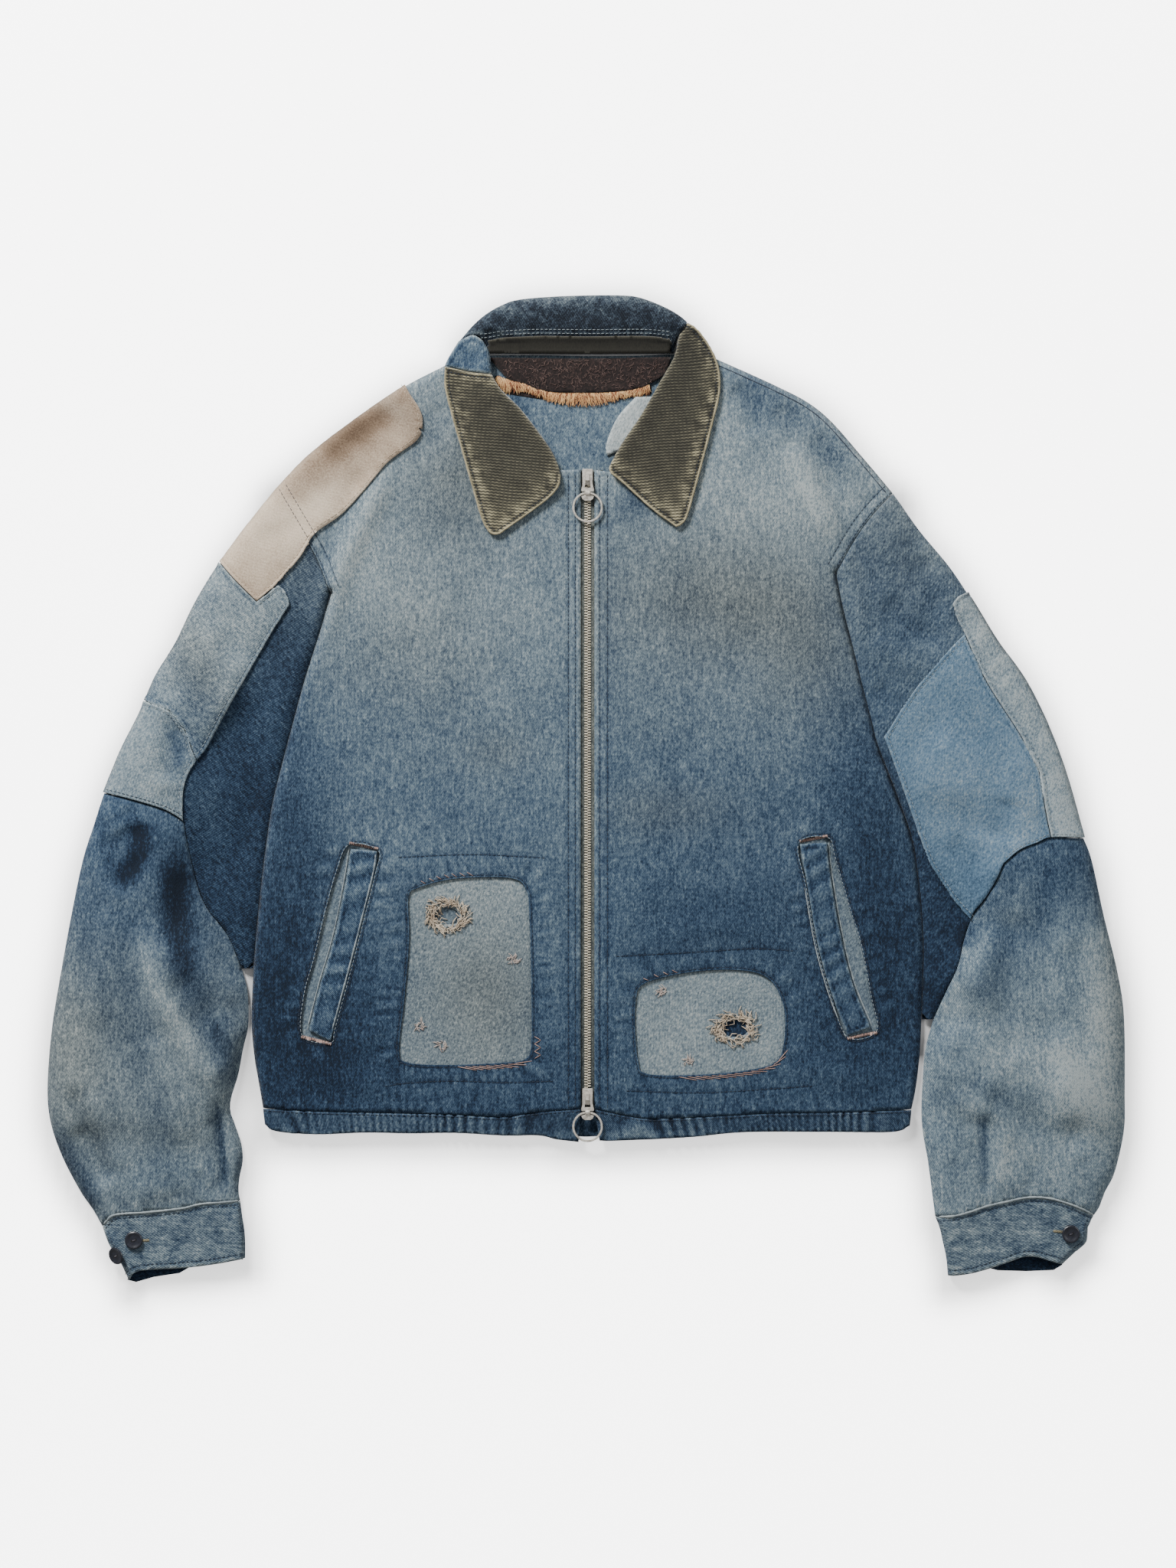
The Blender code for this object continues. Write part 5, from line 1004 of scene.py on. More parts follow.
class Graph:
    """A node material, put together from short calls. Numbers and colours go on the nodes' own sockets."""

    def __init__(self, name):
        self.material = bpy.data.materials.new(name)
        self.material.use_nodes = True
        self.tree = self.material.node_tree
        self.shader = self.tree.nodes["Principled BSDF"]

    def add(self, kind, settings=None, **inputs):
        node = self.tree.nodes.new("ShaderNode" + kind)
        for key, value in (settings or {}).items():
            setattr(node, key, value)
        for key, value in inputs.items():
            self.put(node, key.replace("_", " "), value)
        return node

    def put(self, node, key, value):
        socket = node.inputs[int(key)] if key.isdigit() else node.inputs[key]
        if isinstance(value, bpy.types.NodeSocket):
            self.tree.links.new(value, socket)
        else:
            socket.default_value = value

    def math(self, operation, first, second=0.0, third=None):
        node = self.tree.nodes.new("ShaderNodeMath")
        node.operation = operation
        for i, value in enumerate((first, second) if third is None else (first, second, third)):
            self.put(node, str(i), value)
        return node.outputs[0]

    def value(self, name):
        return self.add("Attribute", {"attribute_name": name}).outputs["Fac"]

    def place(self, turn, scale):
        """Where a point lies on the floor plan, turned to the weave and scaled to a number a metre."""
        coordinate = self.add("TexCoord").outputs["Object"]
        mapping = self.add("Mapping", {"vector_type": "POINT"}, Vector=coordinate, Rotation=(0, 0, turn))
        return self.add("Mapping", {"vector_type": "POINT"}, Vector=mapping.outputs[0],
                        Scale=scale).outputs[0]

    def noise(self, turn, scale, detail=2.0, roughness=0.5):
        node = self.add("TexNoise", Vector=self.place(turn, scale), Scale=1.0, Detail=detail,
                        Roughness=roughness)
        return self.math("SUBTRACT", node.outputs["Fac"], 0.5)

    def stripes(self, turn, pitch, wobble=0.0):
        """Soft ribs across the turned X, their pitch in metres: -1 to 1."""
        place = self.place(turn, (1, 1, 1))
        apart = self.add("SeparateXYZ", Vector=place).outputs[0]
        along = self.math("MULTIPLY", apart, 2 * math.pi / pitch)
        if wobble:
            along = self.math("MULTIPLY_ADD", self.noise(turn, (90, 90, 90)), wobble, along)
        return self.math("SINE", along)

    def ramp(self, fac, stops, exposure=None):
        node = self.add("ValToRGB", Fac=fac)
        ramp = node.color_ramp
        exposure = exposure or EXPOSURE
        ramp.elements[0].position, ramp.elements[1].position = stops[0][0], stops[-1][0]
        ramp.elements[0].color, ramp.elements[1].color = shade(stops[0][1], exposure), shade(stops[-1][1],
                                                                                             exposure)
        for position, colour in stops[1:-1]:
            ramp.elements.new(position).color = shade(colour, exposure)
        return node.outputs["Color"]

    def mix(self, fac, first, second):
        node = self.add("Mix", {"data_type": "RGBA"})
        self.put(node, "0", fac)
        self.put(node, "6", first)
        self.put(node, "7", second)
        return node.outputs[2]

    def finish(self, colour, roughness, height, depth, strength=0.5, **constants):
        """Joins the colour and the relief to the shader."""
        self.put(self.shader, "Base Color", colour)
        self.put(self.shader, "Roughness", roughness)
        if height is not None:
            bump = self.add("Bump", Height=height, Distance=depth, Strength=strength)
            self.put(self.shader, "Normal", bump.outputs[0])
        for key, value in constants.items():
            self.put(self.shader, key.replace("_", " "), value)
        return self.material


def shade(colour, exposure):
    """A colour of 0 to 255 as the eye sees it, as the linear colour that a shader takes."""
    return (*(exposure * (((c / 255 + 0.055) / 1.055) ** 2.4 if c > 10 else c / 3295) for c in colour), 1.0)


EXPOSURE = 0.60

# How each cloth fades, from its darkest tone to its most worn one
BLUE = [
    (0.0, (20, 33, 50)), (0.15, (31, 51, 76)), (0.30, (49, 72, 98)), (0.45, (74, 96, 119)),
    (0.60, (100, 120, 137)), (0.75, (125, 146, 160)), (0.88, (148, 167, 177)), (1.0, (184, 197, 200))]
GREY = [
    (0.0, (34, 37, 40)), (0.15, (50, 55, 58)), (0.30, (70, 76, 77)), (0.45, (94, 100, 98)),
    (0.60, (118, 123, 118)), (0.75, (143, 147, 139)), (0.88, (164, 167, 157)), (1.0, (190, 191, 180))]
CREAM = [(0.0, (100, 80, 62)), (0.35, (150, 127, 105)), (0.7, (208, 186, 162)), (1.0, (250, 230, 204))]
OLIVE = [
    (0.0, (26, 25, 20)), (0.30, (52, 50, 41)), (0.5, (84, 81, 68)), (0.72, (128, 122, 98)),
    (1.0, (188, 178, 142))]
SKY_BLUE = [
    (0.0, (24, 40, 60)), (0.2, (54, 80, 104)), (0.4, (82, 110, 134)), (0.6, (106, 134, 158)),
    (0.8, (134, 158, 176)), (1.0, (176, 190, 196))]
PALE_BLUE = [(0.0, (98, 112, 122)), (0.5, (174, 186, 188)), (1.0, (240, 244, 240))]
TWILL_TURN = -0.52


def denim(name, turn=0.0, twill=1.0, streaks=1.0, fleck=1.0, stops=None):
    """Worn denim: warp streaks along the turned Y, a fine twill across them, and fade, worn places and dirt,
    with the painted shade and highlight of folds and grooves that its values carry.
    """
    g = Graph(name)
    slub = g.noise(turn, (620, 110, 120), 3.0)
    long_slub = g.noise(turn, (240, 22, 30), 2.0)
    yarn = g.noise(turn, (1150, 520, 600), 2.0)
    speck = g.noise(turn, (520, 380, 420), 3.0, 0.7)
    cloud = g.noise(turn, (34, 26, 30), 3.0)
    blotch = g.noise(turn, (150, 110, 120), 3.0)
    rib = g.stripes(turn + TWILL_TURN, 0.00120, 5.0)
    fade = g.value("fade")
    wear = g.value("wear")
    tone = g.math("MULTIPLY_ADD", wear, 0.20, fade)
    tone = g.math("MULTIPLY_ADD", slub, 0.55 * streaks, tone)
    tone = g.math("MULTIPLY_ADD", long_slub, 0.14 * streaks, tone)
    tone = g.math("MULTIPLY_ADD", yarn, 0.65 * fleck, tone)
    tone = g.math("MULTIPLY_ADD", speck, 1.0 * fleck, tone)
    tone = g.math("MULTIPLY_ADD", cloud, 0.20, tone)
    tone = g.math("MULTIPLY_ADD", blotch, 0.16, tone)
    tone = g.math("MULTIPLY_ADD", rib, 0.055 * twill, tone)
    colour = g.mix(g.value("warm"), g.ramp(tone, stops or BLUE), g.ramp(tone, GREY))
    relief = g.math("MULTIPLY_ADD", rib, 0.35 * twill, yarn)
    relief = g.math("MULTIPLY_ADD", slub, 0.7, relief)
    roughness = g.math("MULTIPLY_ADD", yarn, 0.2, 0.86)
    return g.finish(colour, roughness, relief, 0.0006, 0.6, Sheen_Weight=0.05, Specular_IOR_Level=0.15)


def canvas(name, turn):
    """Plain-woven cream canvas with a soft stain."""
    g = Graph(name)
    warp = g.stripes(turn, 0.0011, 2.0)
    weft = g.stripes(turn + math.pi / 2, 0.0011, 2.0)
    yarn = g.noise(turn, (900, 900, 900), 2.0)
    cloud = g.noise(turn, (45, 60, 45), 3.0)
    tone = g.math("MULTIPLY_ADD", g.value("wear"), 0.16, g.value("fade"))
    tone = g.math("MULTIPLY_ADD", yarn, 0.62, tone)
    tone = g.math("MULTIPLY_ADD", cloud, 0.34, tone)
    woven = g.math("MULTIPLY", warp, weft)
    tone = g.math("MULTIPLY_ADD", woven, 0.08, tone)
    colour = g.mix(g.value("warm"), g.ramp(tone, CREAM), g.ramp(tone, GREY))
    relief = g.math("MULTIPLY_ADD", woven, 0.5, yarn)
    return g.finish(colour, 0.92, relief, 0.0003, 0.5, Sheen_Weight=0.1, Specular_IOR_Level=0.2)


def corduroy(name, turn):
    """Corduroy whose wales are in the mesh: the pile is worn pale on their tops."""
    g = Graph(name)
    yarn = g.noise(turn, (420, 1600, 800), 3.0)
    cloud = g.noise(turn, (60, 40, 50), 3.0)
    patchy = g.noise(turn, (190, 260, 200), 2.0)
    tone = g.math("MULTIPLY_ADD", g.value("wear"), 0.24, g.value("fade"))
    tone = g.math("MULTIPLY_ADD", yarn, 0.50, tone)
    tone = g.math("MULTIPLY_ADD", cloud, 0.10, tone)
    tone = g.math("MULTIPLY_ADD", patchy, 0.10, tone)
    return g.finish(g.ramp(tone, OLIVE), 0.93, yarn, 0.0004, 0.5, Sheen_Weight=0.25, Specular_IOR_Level=0.2)


def wool(name):
    """Brushed dark brown wool with stray lighter fibres."""
    g = Graph(name)
    fuzz = g.noise(0.4, (900, 500, 700), 4.0, 0.65)
    cloud = g.noise(0.0, (70, 90, 70), 3.0)
    tone = g.math("ADD", g.math("MULTIPLY_ADD", fuzz, 2.4, 0.13), g.math("MULTIPLY", cloud, 0.4))
    colour = g.ramp(tone, [(0.0, (26, 18, 17)), (0.45, (58, 43, 40)), (0.8, (92, 70, 62)),
                           (1.0, (140, 116, 104))])
    return g.finish(colour, 0.95, fuzz, 0.0006, 0.6, Sheen_Weight=0.3, Specular_IOR_Level=0.15)


def thread(name, light, dark, turn=0.0):
    """Twisted thread: two tones of one colour with a fine twist."""
    g = Graph(name)
    twist = g.noise(turn, (1800, 1800, 1800), 2.0)
    patchy = g.noise(turn, (120, 120, 120), 2.0)
    tone = g.math("MULTIPLY_ADD", twist, 0.9, 0.5)
    tone = g.math("MULTIPLY_ADD", patchy, 0.9, tone)
    colour = g.ramp(tone, [(0.15, dark), (0.85, light)])
    return g.finish(colour, 0.85, twist, 0.0002, 0.4, Sheen_Weight=0.15, Specular_IOR_Level=0.25)


def metal(name, light, dark, rough, metallic=0.5):
    """Aged metal: brushed light, with dull spots and fine scratches."""
    g = Graph(name)
    spots = g.noise(0.3, (420, 380, 400), 4.0, 0.6)
    scratch = g.noise(0.9, (2600, 120, 900), 3.0)
    tone = g.math("MULTIPLY_ADD", spots, 1.4, 0.62)
    tone = g.math("MULTIPLY_ADD", scratch, 0.5, tone)
    colour = g.ramp(tone, [(0.1, dark), (0.8, light)], 1.0)
    roughness = g.math("MULTIPLY_ADD", spots, 0.3, rough)
    return g.finish(colour, roughness, scratch, 0.00008, 0.3, Metallic=metallic)


def horn(name):
    """Dark navy plastic of a worn button."""
    g = Graph(name)
    cloud = g.noise(0.0, (260, 300, 280), 3.0)
    scratch = g.noise(0.7, (1400, 160, 600), 3.0)
    tone = g.math("MULTIPLY_ADD", cloud, 0.9, 0.45)
    tone = g.math("MULTIPLY_ADD", scratch, 0.5, tone)
    colour = g.ramp(tone, [(0.1, (20, 22, 32)), (0.6, (36, 39, 52)), (1.0, (66, 68, 80))])
    roughness = g.math("MULTIPLY_ADD", scratch, 0.4, 0.38)
    return g.finish(colour, roughness, scratch, 0.00008, 0.3, Specular_IOR_Level=0.5)


# How faded each cloth is down the garment, its soft spots of fading, dirt and painted shade (x, y, half
# width, half height, turn, more), and how grey-brown the dirt has made it
LOOK_LEFT = (
    [(-260, 0.24), (-230, 0.28), (-150, 0.33), (-60, 0.47), (0, 0.58), (60, 0.62), (150, 0.74), (230, 0.70),
     (340, 0.76)],
    [(-235, -60, 42, 130, 6, -0.22), (-240, -190, 60, 70, 0, -0.16), (-228, 40, 26, 80, 12, -0.12),
     (-60, -235, 90, 16, 0, 0.04), (-170, 190, 26, 60, 20, 0.10), (-100, 250, 28, 40, -10, -0.14),
     (-20, -120, 22, 120, 0, 0.10), (-165, -60, 30, 60, -12, 0.05), (-120, -30, 80, 18, 0, 0.06),
     (-196, -210, 30, 30, 0, -0.06), (-20, 120, 20, 200, 0, -0.03), (-150, 60, 50, 60, 0, -0.06),
     (-120, -20, 60, 20, 0, -0.06), (-100, 205, 30, 16, -20, -0.08), (-190, 200, 12, 40, -28, -0.08)],
    [(-260, 0.0), (0, 0.08), (150, 0.2), (340, 0.28)],
    [(-100, 240, 40, 50, 0, 0.35), (-130, 110, 60, 50, 0, 0.2), (-70, 30, 30, 16, 0, 0.2)])
# The darker spots by the right shoulder's folds and just under the right collar leaf are painted shade: the
# folds' trough and the leaf's shadow.
LOOK_RIGHT = (
    [(-260, 0.33), (-230, 0.34), (-150, 0.34), (-110, 0.34), (-60, 0.42), (0, 0.50), (60, 0.60),
     (150, 0.66), (230, 0.84), (340, 0.80)],
    [(228, -60, 40, 120, -6, -0.20), (240, -170, 50, 60, 0, -0.14), (215, 30, 26, 80, -12, -0.12),
     (100, 160, 60, 45, 0, -0.10), (150, 290, 30, 40, 0, -0.12), (196, 250, 18, 50, 14, 0.04),
     (22, -120, 22, 120, 0, 0.10), (90, -100, 70, 20, 0, -0.04), (20, 120, 20, 200, 0, -0.04),
     (140, 303, 14, 30, 40, -0.22), (196, 262, 12, 40, 38, -0.26), (128, 318, 14, 12, 0, -0.12),
     (42, 231, 28, 13, 38, -0.32), (200, 182, 10, 26, 10, -0.12), (190, 110, 24, 70, 0, -0.12),
     (40, 215, 40, 40, 0, -0.08)], [(-260, 0.0), (0, 0.06), (150, 0.3), (340, 0.15)],
    [(110, 150, 70, 46, 0, 0.35), (170, 110, 40, 50, 0, 0.2), (60, -15, 50, 20, 0, 0.25)])
LOOK_UPPER_LEFT = (
    [(-150, 0.16), (-60, 0.18), (0, 0.24), (60, 0.26), (120, 0.36), (220, 0.52)],
    [(-262, 20, 16, 90, 14, -0.06), (-300, -20, 18, 60, 10, 0.04), (-232, 100, 18, 50, 16, -0.14),
     (-204, 183, 14, 16, 0, -0.12)], [(-150, 0.0), (60, 0.05), (180, 0.35)], [])
LOOK_UPPER_RIGHT = (
    [(-180, 0.12), (-60, 0.18), (40, 0.40), (100, 0.50), (180, 0.47), (230, 0.62)],
    [(262, 180, 12, 40, -24, 0.12), (238, 140, 16, 40, -20, -0.04), (270, 110, 16, 12, 0, 0.04),
     (240, 112, 16, 22, -20, -0.06), (272, 176, 10, 16, -30, 0.10)], [(-180, 0.0), (100, 0.1), (230, 0.4)],
    [])
LOOK_LOWER_LEFT = (
    [(-340, 0.66), (-260, 0.66), (-180, 0.58), (-120, 0.48), (-60, 0.40), (0, 0.40)],
    [(-405, -190, 20, 70, 8, 0.12), (-345, -60, 14, 30, -20, 0.10), (-330, -60, 20, 40, 20, -0.06),
     (-302, -262, 12, 24, 0, 0.07)], [(-340, 0.25), (-200, 0.3), (-100, 0.15), (0, 0.0)],
    [(-405, -200, 30, 70, 0, 0.3), (-330, -300, 50, 20, 0, -0.15)])
LOOK_LOWER_RIGHT = (
    [(-340, 0.74), (-260, 0.78), (-180, 0.76), (-120, 0.68), (-70, 0.44), (-30, 0.34)],
    [(400, -180, 20, 80, -6, 0.14), (284, -240, 18, 54, 0, -0.11), (340, -240, 30, 40, 0, 0.05),
     (404, -232, 14, 30, 0, 0.06), (390, -252, 20, 22, 0, 0.10)],
    [(-340, 0.1), (-200, 0.12), (-100, 0.06), (0, 0.0)], [(412, -150, 16, 90, 0, 0.25)])
LOOK_CUFF = (
    [(-390, 0.68), (-340, 0.64), (-320, 0.60)],
    [(378, -348, 14, 12, 0, -0.1), (-355, -352, 14, 12, 0, -0.08)], [(0, 0.15)], [])
LOOK_CREAM = (
    [(140, 0.62), (200, 0.90), (260, 0.60), (320, 0.46)],
    [(-225, 222, 30, 30, 0, 0.12), (-150, 276, 16, 22, 58, 0.08)], [(0, 0.0)],
    [(-162, 305, 10, 40, 58, 0.25)])
LOOK_ARM = (
    [(20, 0.54), (70, 0.64), (130, 0.76), (190, 0.76)],
    [(-300, 70, 12, 50, 30, -0.12), (-268, 112, 13, 24, 0, 0.10)], [(20, 0.15), (190, 0.3)],
    [(-306, 100, 22, 50, 30, 0.3)])
LOOK_BAND = ([(-20, 0.78), (70, 0.82)], [(-320, 20, 8, 30, -20, -0.10)], [(0, 0.15)], [])
LOOK_PANEL = (
    [(-110, 0.40), (-70, 0.46), (-40, 0.60), (30, 0.62), (120, 0.66)],
    [(343, -20, 14, 40, -10, 0.18), (300, -20, 30, 30, 0, 0.06)], [(0, 0.0)], [])
LOOK_STRIP = (
    [(-40, 0.98), (40, 0.86), (160, 0.84)], [(325, 70, 10, 40, -30, -0.05)], [(-40, 0.0), (160, 0.25)], [])
LOOK_WINDOW_LEFT = (
    [(-220, 0.74), (-150, 0.66), (-80, 0.84)], [(-60, -180, 20, 16, 0, -0.08)], [(0, 0.3)],
    [(-80, -160, 40, 50, 0, 0.3)])
LOOK_WINDOW_RIGHT = ([(-225, 0.80), (-140, 0.80)], [(70, -185, 20, 20, 0, 0.04)], [(0, 0.25)], [])
LOOK_BACKING_LEFT = ([(0, 0.55)], [], [(0, 0.3)], [])
LOOK_BACKING_RIGHT = ([(0, 0.18)], [], [(0, 0.0)], [])
LOOK_HEM = ([(-276, 0.28), (-250, 0.30)], [(-150, -262, 60, 20, 0, 0.1)], [(0, 0.08)], [])
LOOK_WELT = ([(-200, 0.40), (-120, 0.40), (-40, 0.44)], [], [(0, 0.0)], [])
LOOK_LINING = ([(0, 0.62)], [], [(0, 0.25)], [])
LOOK_COLLAR = (
    [(340, 0.06), (366, 0.10), (378, 0.22), (390, 0.44)],
    [(-60, 366, 20, 20, 20, 0.06), (30, 370, 20, 14, 0, -0.08)], [(0, 0.55)], [])
LOOK_WING = ([(325, 0.55), (332, 0.38), (358, 0.50)], [], [(0, 0.0)], [])
LOOK_BACK = (
    [(-260, 0.30), (0, 0.45), (200, 0.56), (340, 0.64)], [(-60, 300, 14, 12, 0, -0.3)], [(0, 0.1)], [])
LOOK_PALE = ([(0, 0.62)], [], [(0, 0.0)], [])
LOOK_DARK = ([(0, 0.10)], [], [(0, 0.0)], [])
LOOK_TAPE = ([(-250, 0.34), (250, 0.46)], [], [(0, 0.5)], [])
LOOK_CORD = ([(200, 0.54), (225, 0.42), (260, 0.33), (328, 0.32), (346, 0.18)], [], [(0, 0)], [])


def add_front(node, runs, holes, marks, look, finish):
    outline = shrunk(loop(*runs))
    return sheet(node, outline, drape, finish, DENIM, look, "denim_faded", holes=holes, marks=marks,
                 rows=seam_rows(outline))


def add_hem(node, seam, low, side_end, zip_end, finish):
    """A front's hem: a doubled band, gathered all along."""
    outline = shrunk(loop(seam, zip_end, back(low), side_end, step=2.0))

    def gathers(plan, values):
        values["wear"] = values["wear"] * 0.5 + 1.4 * pucker(plan) + 0.9 * np.exp(-((plan[:, 1] + 270)
                                                                                    / 3) ** 2)

    return sheet(node, outline, lambda plan: drape(plan) + pucker(plan), finish, HEM, LOOK_HEM,
                 "denim_indigo",
                 ("hem_back",), gathers, step=2.4)


def add_window(side, outline, hole, look, backing_look, finish, backing_finish):
    """The patch behind a window of a front, and the denim behind the worn hole in it."""
    window, worn = ring_of(outline), ring_of(hole, 2.0)
    sheet(f"patch_front_{side}", shrunk(window, -6.0), lambda plan: drape(plan) - DENIM - 0.4, finish,
          PATCH, look,
          "denim_pale", holes=[worn], step=3.0)
    sheet(f"backing_front_{side}", shrunk(worn, -12.0), lambda plan: drape(plan) - DENIM - PATCH - 0.8,
          backing_finish, 0.9, backing_look, "denim_mid" if side == "left" else "denim_indigo", step=3.0)
    return window


def welt_lumps(plan, line):
    """A welt pulled in by its stitches: lumps along it."""
    position = nearest(plan, line)[1]
    uneven = 1.6 * np.sin(position / 15) + 1.1 * np.sin(position / 41 + 1) + 0.15 * plan[:, 0]
    return (0.7 + 0.3 * np.sin(position / 12)) * np.cos(2 * math.pi * position / 17 + uneven)


def add_pocket(side, outline, welt_edge, inner_edge, finish, lining_finish):
    """A slanted pocket: its mouth is cut through the front, with a welt in it and the lining behind."""
    mouth = ring_of(outline, 2.0)
    welt = shrunk(loop(welt_edge, [welt_edge[-1], inner_edge[0]], inner_edge,
                       [inner_edge[-1], welt_edge[0]], step=2.0))
    middle = smooth([((a[0] + b[0]) / 2, (a[1] + b[1]) / 2) for a, b in zip(welt_edge, back(inner_edge))])

    def top(plan):
        return drape(plan) + 0.1 + 0.35 * welt_lumps(plan, middle)

    def worn(plan, values):
        edge = nearest(plan, closed(welt))[0]
        values["wear"] = 0.7 * welt_lumps(plan, middle) + 1.2 * np.exp(-(edge / 1.5) ** 2) \
            - 1.2 * np.exp(-((edge - 3.2) / 0.8) ** 2)

    sheet(f"welt_{side}", shrunk(welt, 0.3), top, finish, 1.6, LOOK_WELT, "denim_mid", step=1.9, add=worn)
    sheet(f"lining_{side}", shrunk(mouth, -5.0), lambda plan: drape(plan) - 2.3, lining_finish, 0.8,
          LOOK_LINING,
          "denim_pale", step=4.0)
    return mouth


def leaf_height(crease):
    """A collar leaf lies on the front, and turns up and over at its crease."""
    line = smooth(crease)

    def height(plan):
        distance = nearest(plan, line)[0]
        bed = loft(plan) + 0.5 * unevenness(plan)
        full = bed + LEAF_LIFT + LEAF_CREASE * np.exp(-(distance / 14) ** 2)
        return bed + LEAF_LOW + (full - bed - LEAF_LOW) * rolled(distance, LEAF_ROLL)
    return height


WALE_PITCH = 2.3


def add_leaf(node, crease, others, turn, finish, denim_piece=False):
    """A collar leaf. Its wales are rows of the mesh, and its edge is a worn roll with a seam inside it."""
    outline = shrunk(loop(crease, *others, step=2.0))
    outer = path(*others)
    crease_line = smooth(crease)
    base = leaf_height(crease)
    c, s = math.cos(turn), math.sin(turn)

    def wale(plan):
        across = -plan[:, 0] * s + plan[:, 1] * c
        return np.cos(2 * math.pi * (across + 0.5 * waves(plan, 31, 30, 80)) / WALE_PITCH)

    def top(plan):
        edge = nearest(plan, outer)[0]
        inner = eased((edge - 2.5) / 2.5)
        roll = 0.45 * np.exp(-((edge - 1.4) / 1.2) ** 2) - 0.35 * np.exp(-((edge - 3.4) / 0.8) ** 2)
        soft = 0.45 * waves(plan, 33, 26, 70)
        ribs = 0 if denim_piece else 0.2 * wale(plan) * (0.35 + 0.65 * inner)
        return base(plan) + ribs + roll + soft * inner - 0.5 * (1 - rolled(edge, 1.2))

    def worn(plan, values):
        edge = nearest(plan, outer)[0]
        fold = nearest(plan, crease_line)[0]
        frayed = 0.5 + 0.5 * waves(plan, 35, 5, 16)
        rib = 0 if denim_piece else 1.5 * wale(plan)
        # Pale along the rolled edge and the crease as worn cloth, and darker in the dip inside the roll as
        # painted shade.
        values["wear"] = rib + 2.6 * np.exp(-(edge / 1.5) ** 2) - 1.3 * np.exp(-((edge - 3.3) / 0.7) ** 2) \
            + (1.5 + 0.6 * rib) * frayed * np.exp(-((edge - 6) / 7) ** 2) + 1.1 * np.exp(-(fold / 2.4) ** 2) \
            + 0.15 * waves(plan, 36, 7, 30)
        if denim_piece:
            values["wear"] *= 0.8

    options = {"step": 2.4} if denim_piece else {"step": 3.2, "across": WALE_PITCH / 4, "turn": turn}
    slot = "denim_indigo" if denim_piece else "corduroy_olive"
    look = LOOK_WING if denim_piece else LOOK_CORD
    return sheet(node, outline, top, finish, LEAF, look, slot, ("front_left", "front_right"), worn, **options)


def collar_height(plan):
    """The folded back of the collar: highest along its middle, down to the floor at its fold."""
    fold = nearest(plan, smooth(COLLAR_FOLD))[0]
    full = 4.4 + (COLLAR_TOP - 4.4) * eased((plan[:, 1] - 342) / 24)
    lumps = ridges(plan, COLLAR_CREASES) + 0.5 * waves(plan, 41, 12, 40)
    return RIM + (full + lumps * eased((plan[:, 1] - 356) / 5) - RIM) * rolled(fold, 11.0)


COLLAR_CREASES = [
    ([(-84, 372), (-76, 362), (-64, 358)], 1.5, 4), ([(-62, 380), (-66, 366), (-60, 358)], -1.4, 4),
    ([(-40, 386), (-42, 372), (-38, 360)], 0.9, 5), ([(-12, 386), (-4, 370), (-8, 360)], -0.8, 5),
    ([(14, 386), (24, 372), (22, 360)], 0.9, 5), ([(40, 384), (46, 370), (52, 360)], -0.9, 4),
    ([(58, 380), (64, 368), (66, 360)], 1.1, 4)]


def add_collar(denim_finish, back_finish, cord_finish, band_finish, wool_finish):
    right_end = [(78.5, 366.3), (71.5, 355), (68, 342.5)]
    neck = [(68, 342.5), (0, 342), (-80, 342.5)]
    left_end = [(-80, 342.5), (-82.6, 353), (-90, 356.2), (-102.5, 350)]
    outline = shrunk(loop(COLLAR_FOLD, right_end, neck, left_end, step=2.4))

    def mottled(plan, values):
        fold = nearest(plan, smooth(COLLAR_FOLD))[0]
        values["wear"] = 0.7 * waves(plan, 43, 4, 18, 30, 0.6, -0.5) + 0.7 * np.exp(-(fold / 5) ** 2) \
            + 1.2 * np.exp(-((plan[:, 1] - 358) / 1.4) ** 2)

    collar = tube("collar_back", outline, [path(right_end, neck, left_end)], collar_height, back_finish, LEAF,
                  LOOK_COLLAR, "denim_indigo", ("back",), mottled, marks=[smooth(COLLAR_FOOT)], step=2.4)
    patch("collar_band", collar, [(-77, 330)] + COLLAR_FOOT[1:-1] + [(66, 353), (64, 330)], [COLLAR_FOOT],
          band_finish, LOOK_CORD)
    add_leaf("collar_leaf_left", LEFT_CREASE, [LEFT_LEAF_EDGE, LEFT_LEAF_OUTER, LEFT_LEAF_LOW], -0.10,
             cord_finish[0])
    add_leaf("collar_leaf_right", RIGHT_CREASE, [RIGHT_LEAF_OUTER, RIGHT_LEAF_LOW], 0.10, cord_finish[1])
    add_leaf("collar_wing_left", back(LEFT_WING_CREASE), [back(LEFT_WING_TOP), back(LEFT_WING_OUTER),
                                                         back(LEFT_LEAF_EDGE)], 0, denim_finish, True)
    facing = shrunk(loop([(-78, 339.5), (0, 339), (66, 340)], [(66, 340), (62, 323)], back(FACING_LOW[1:-1]),
                         [FACING_LOW[1], (-78, 339.5)]))
    sheet("neck_facing", facing, lambda plan: 3.4 + 0.5 * waves(plan, 51, 16, 50), wool_finish, DENIM,
          LOOK_DARK, "wool_brown", step=2.6)


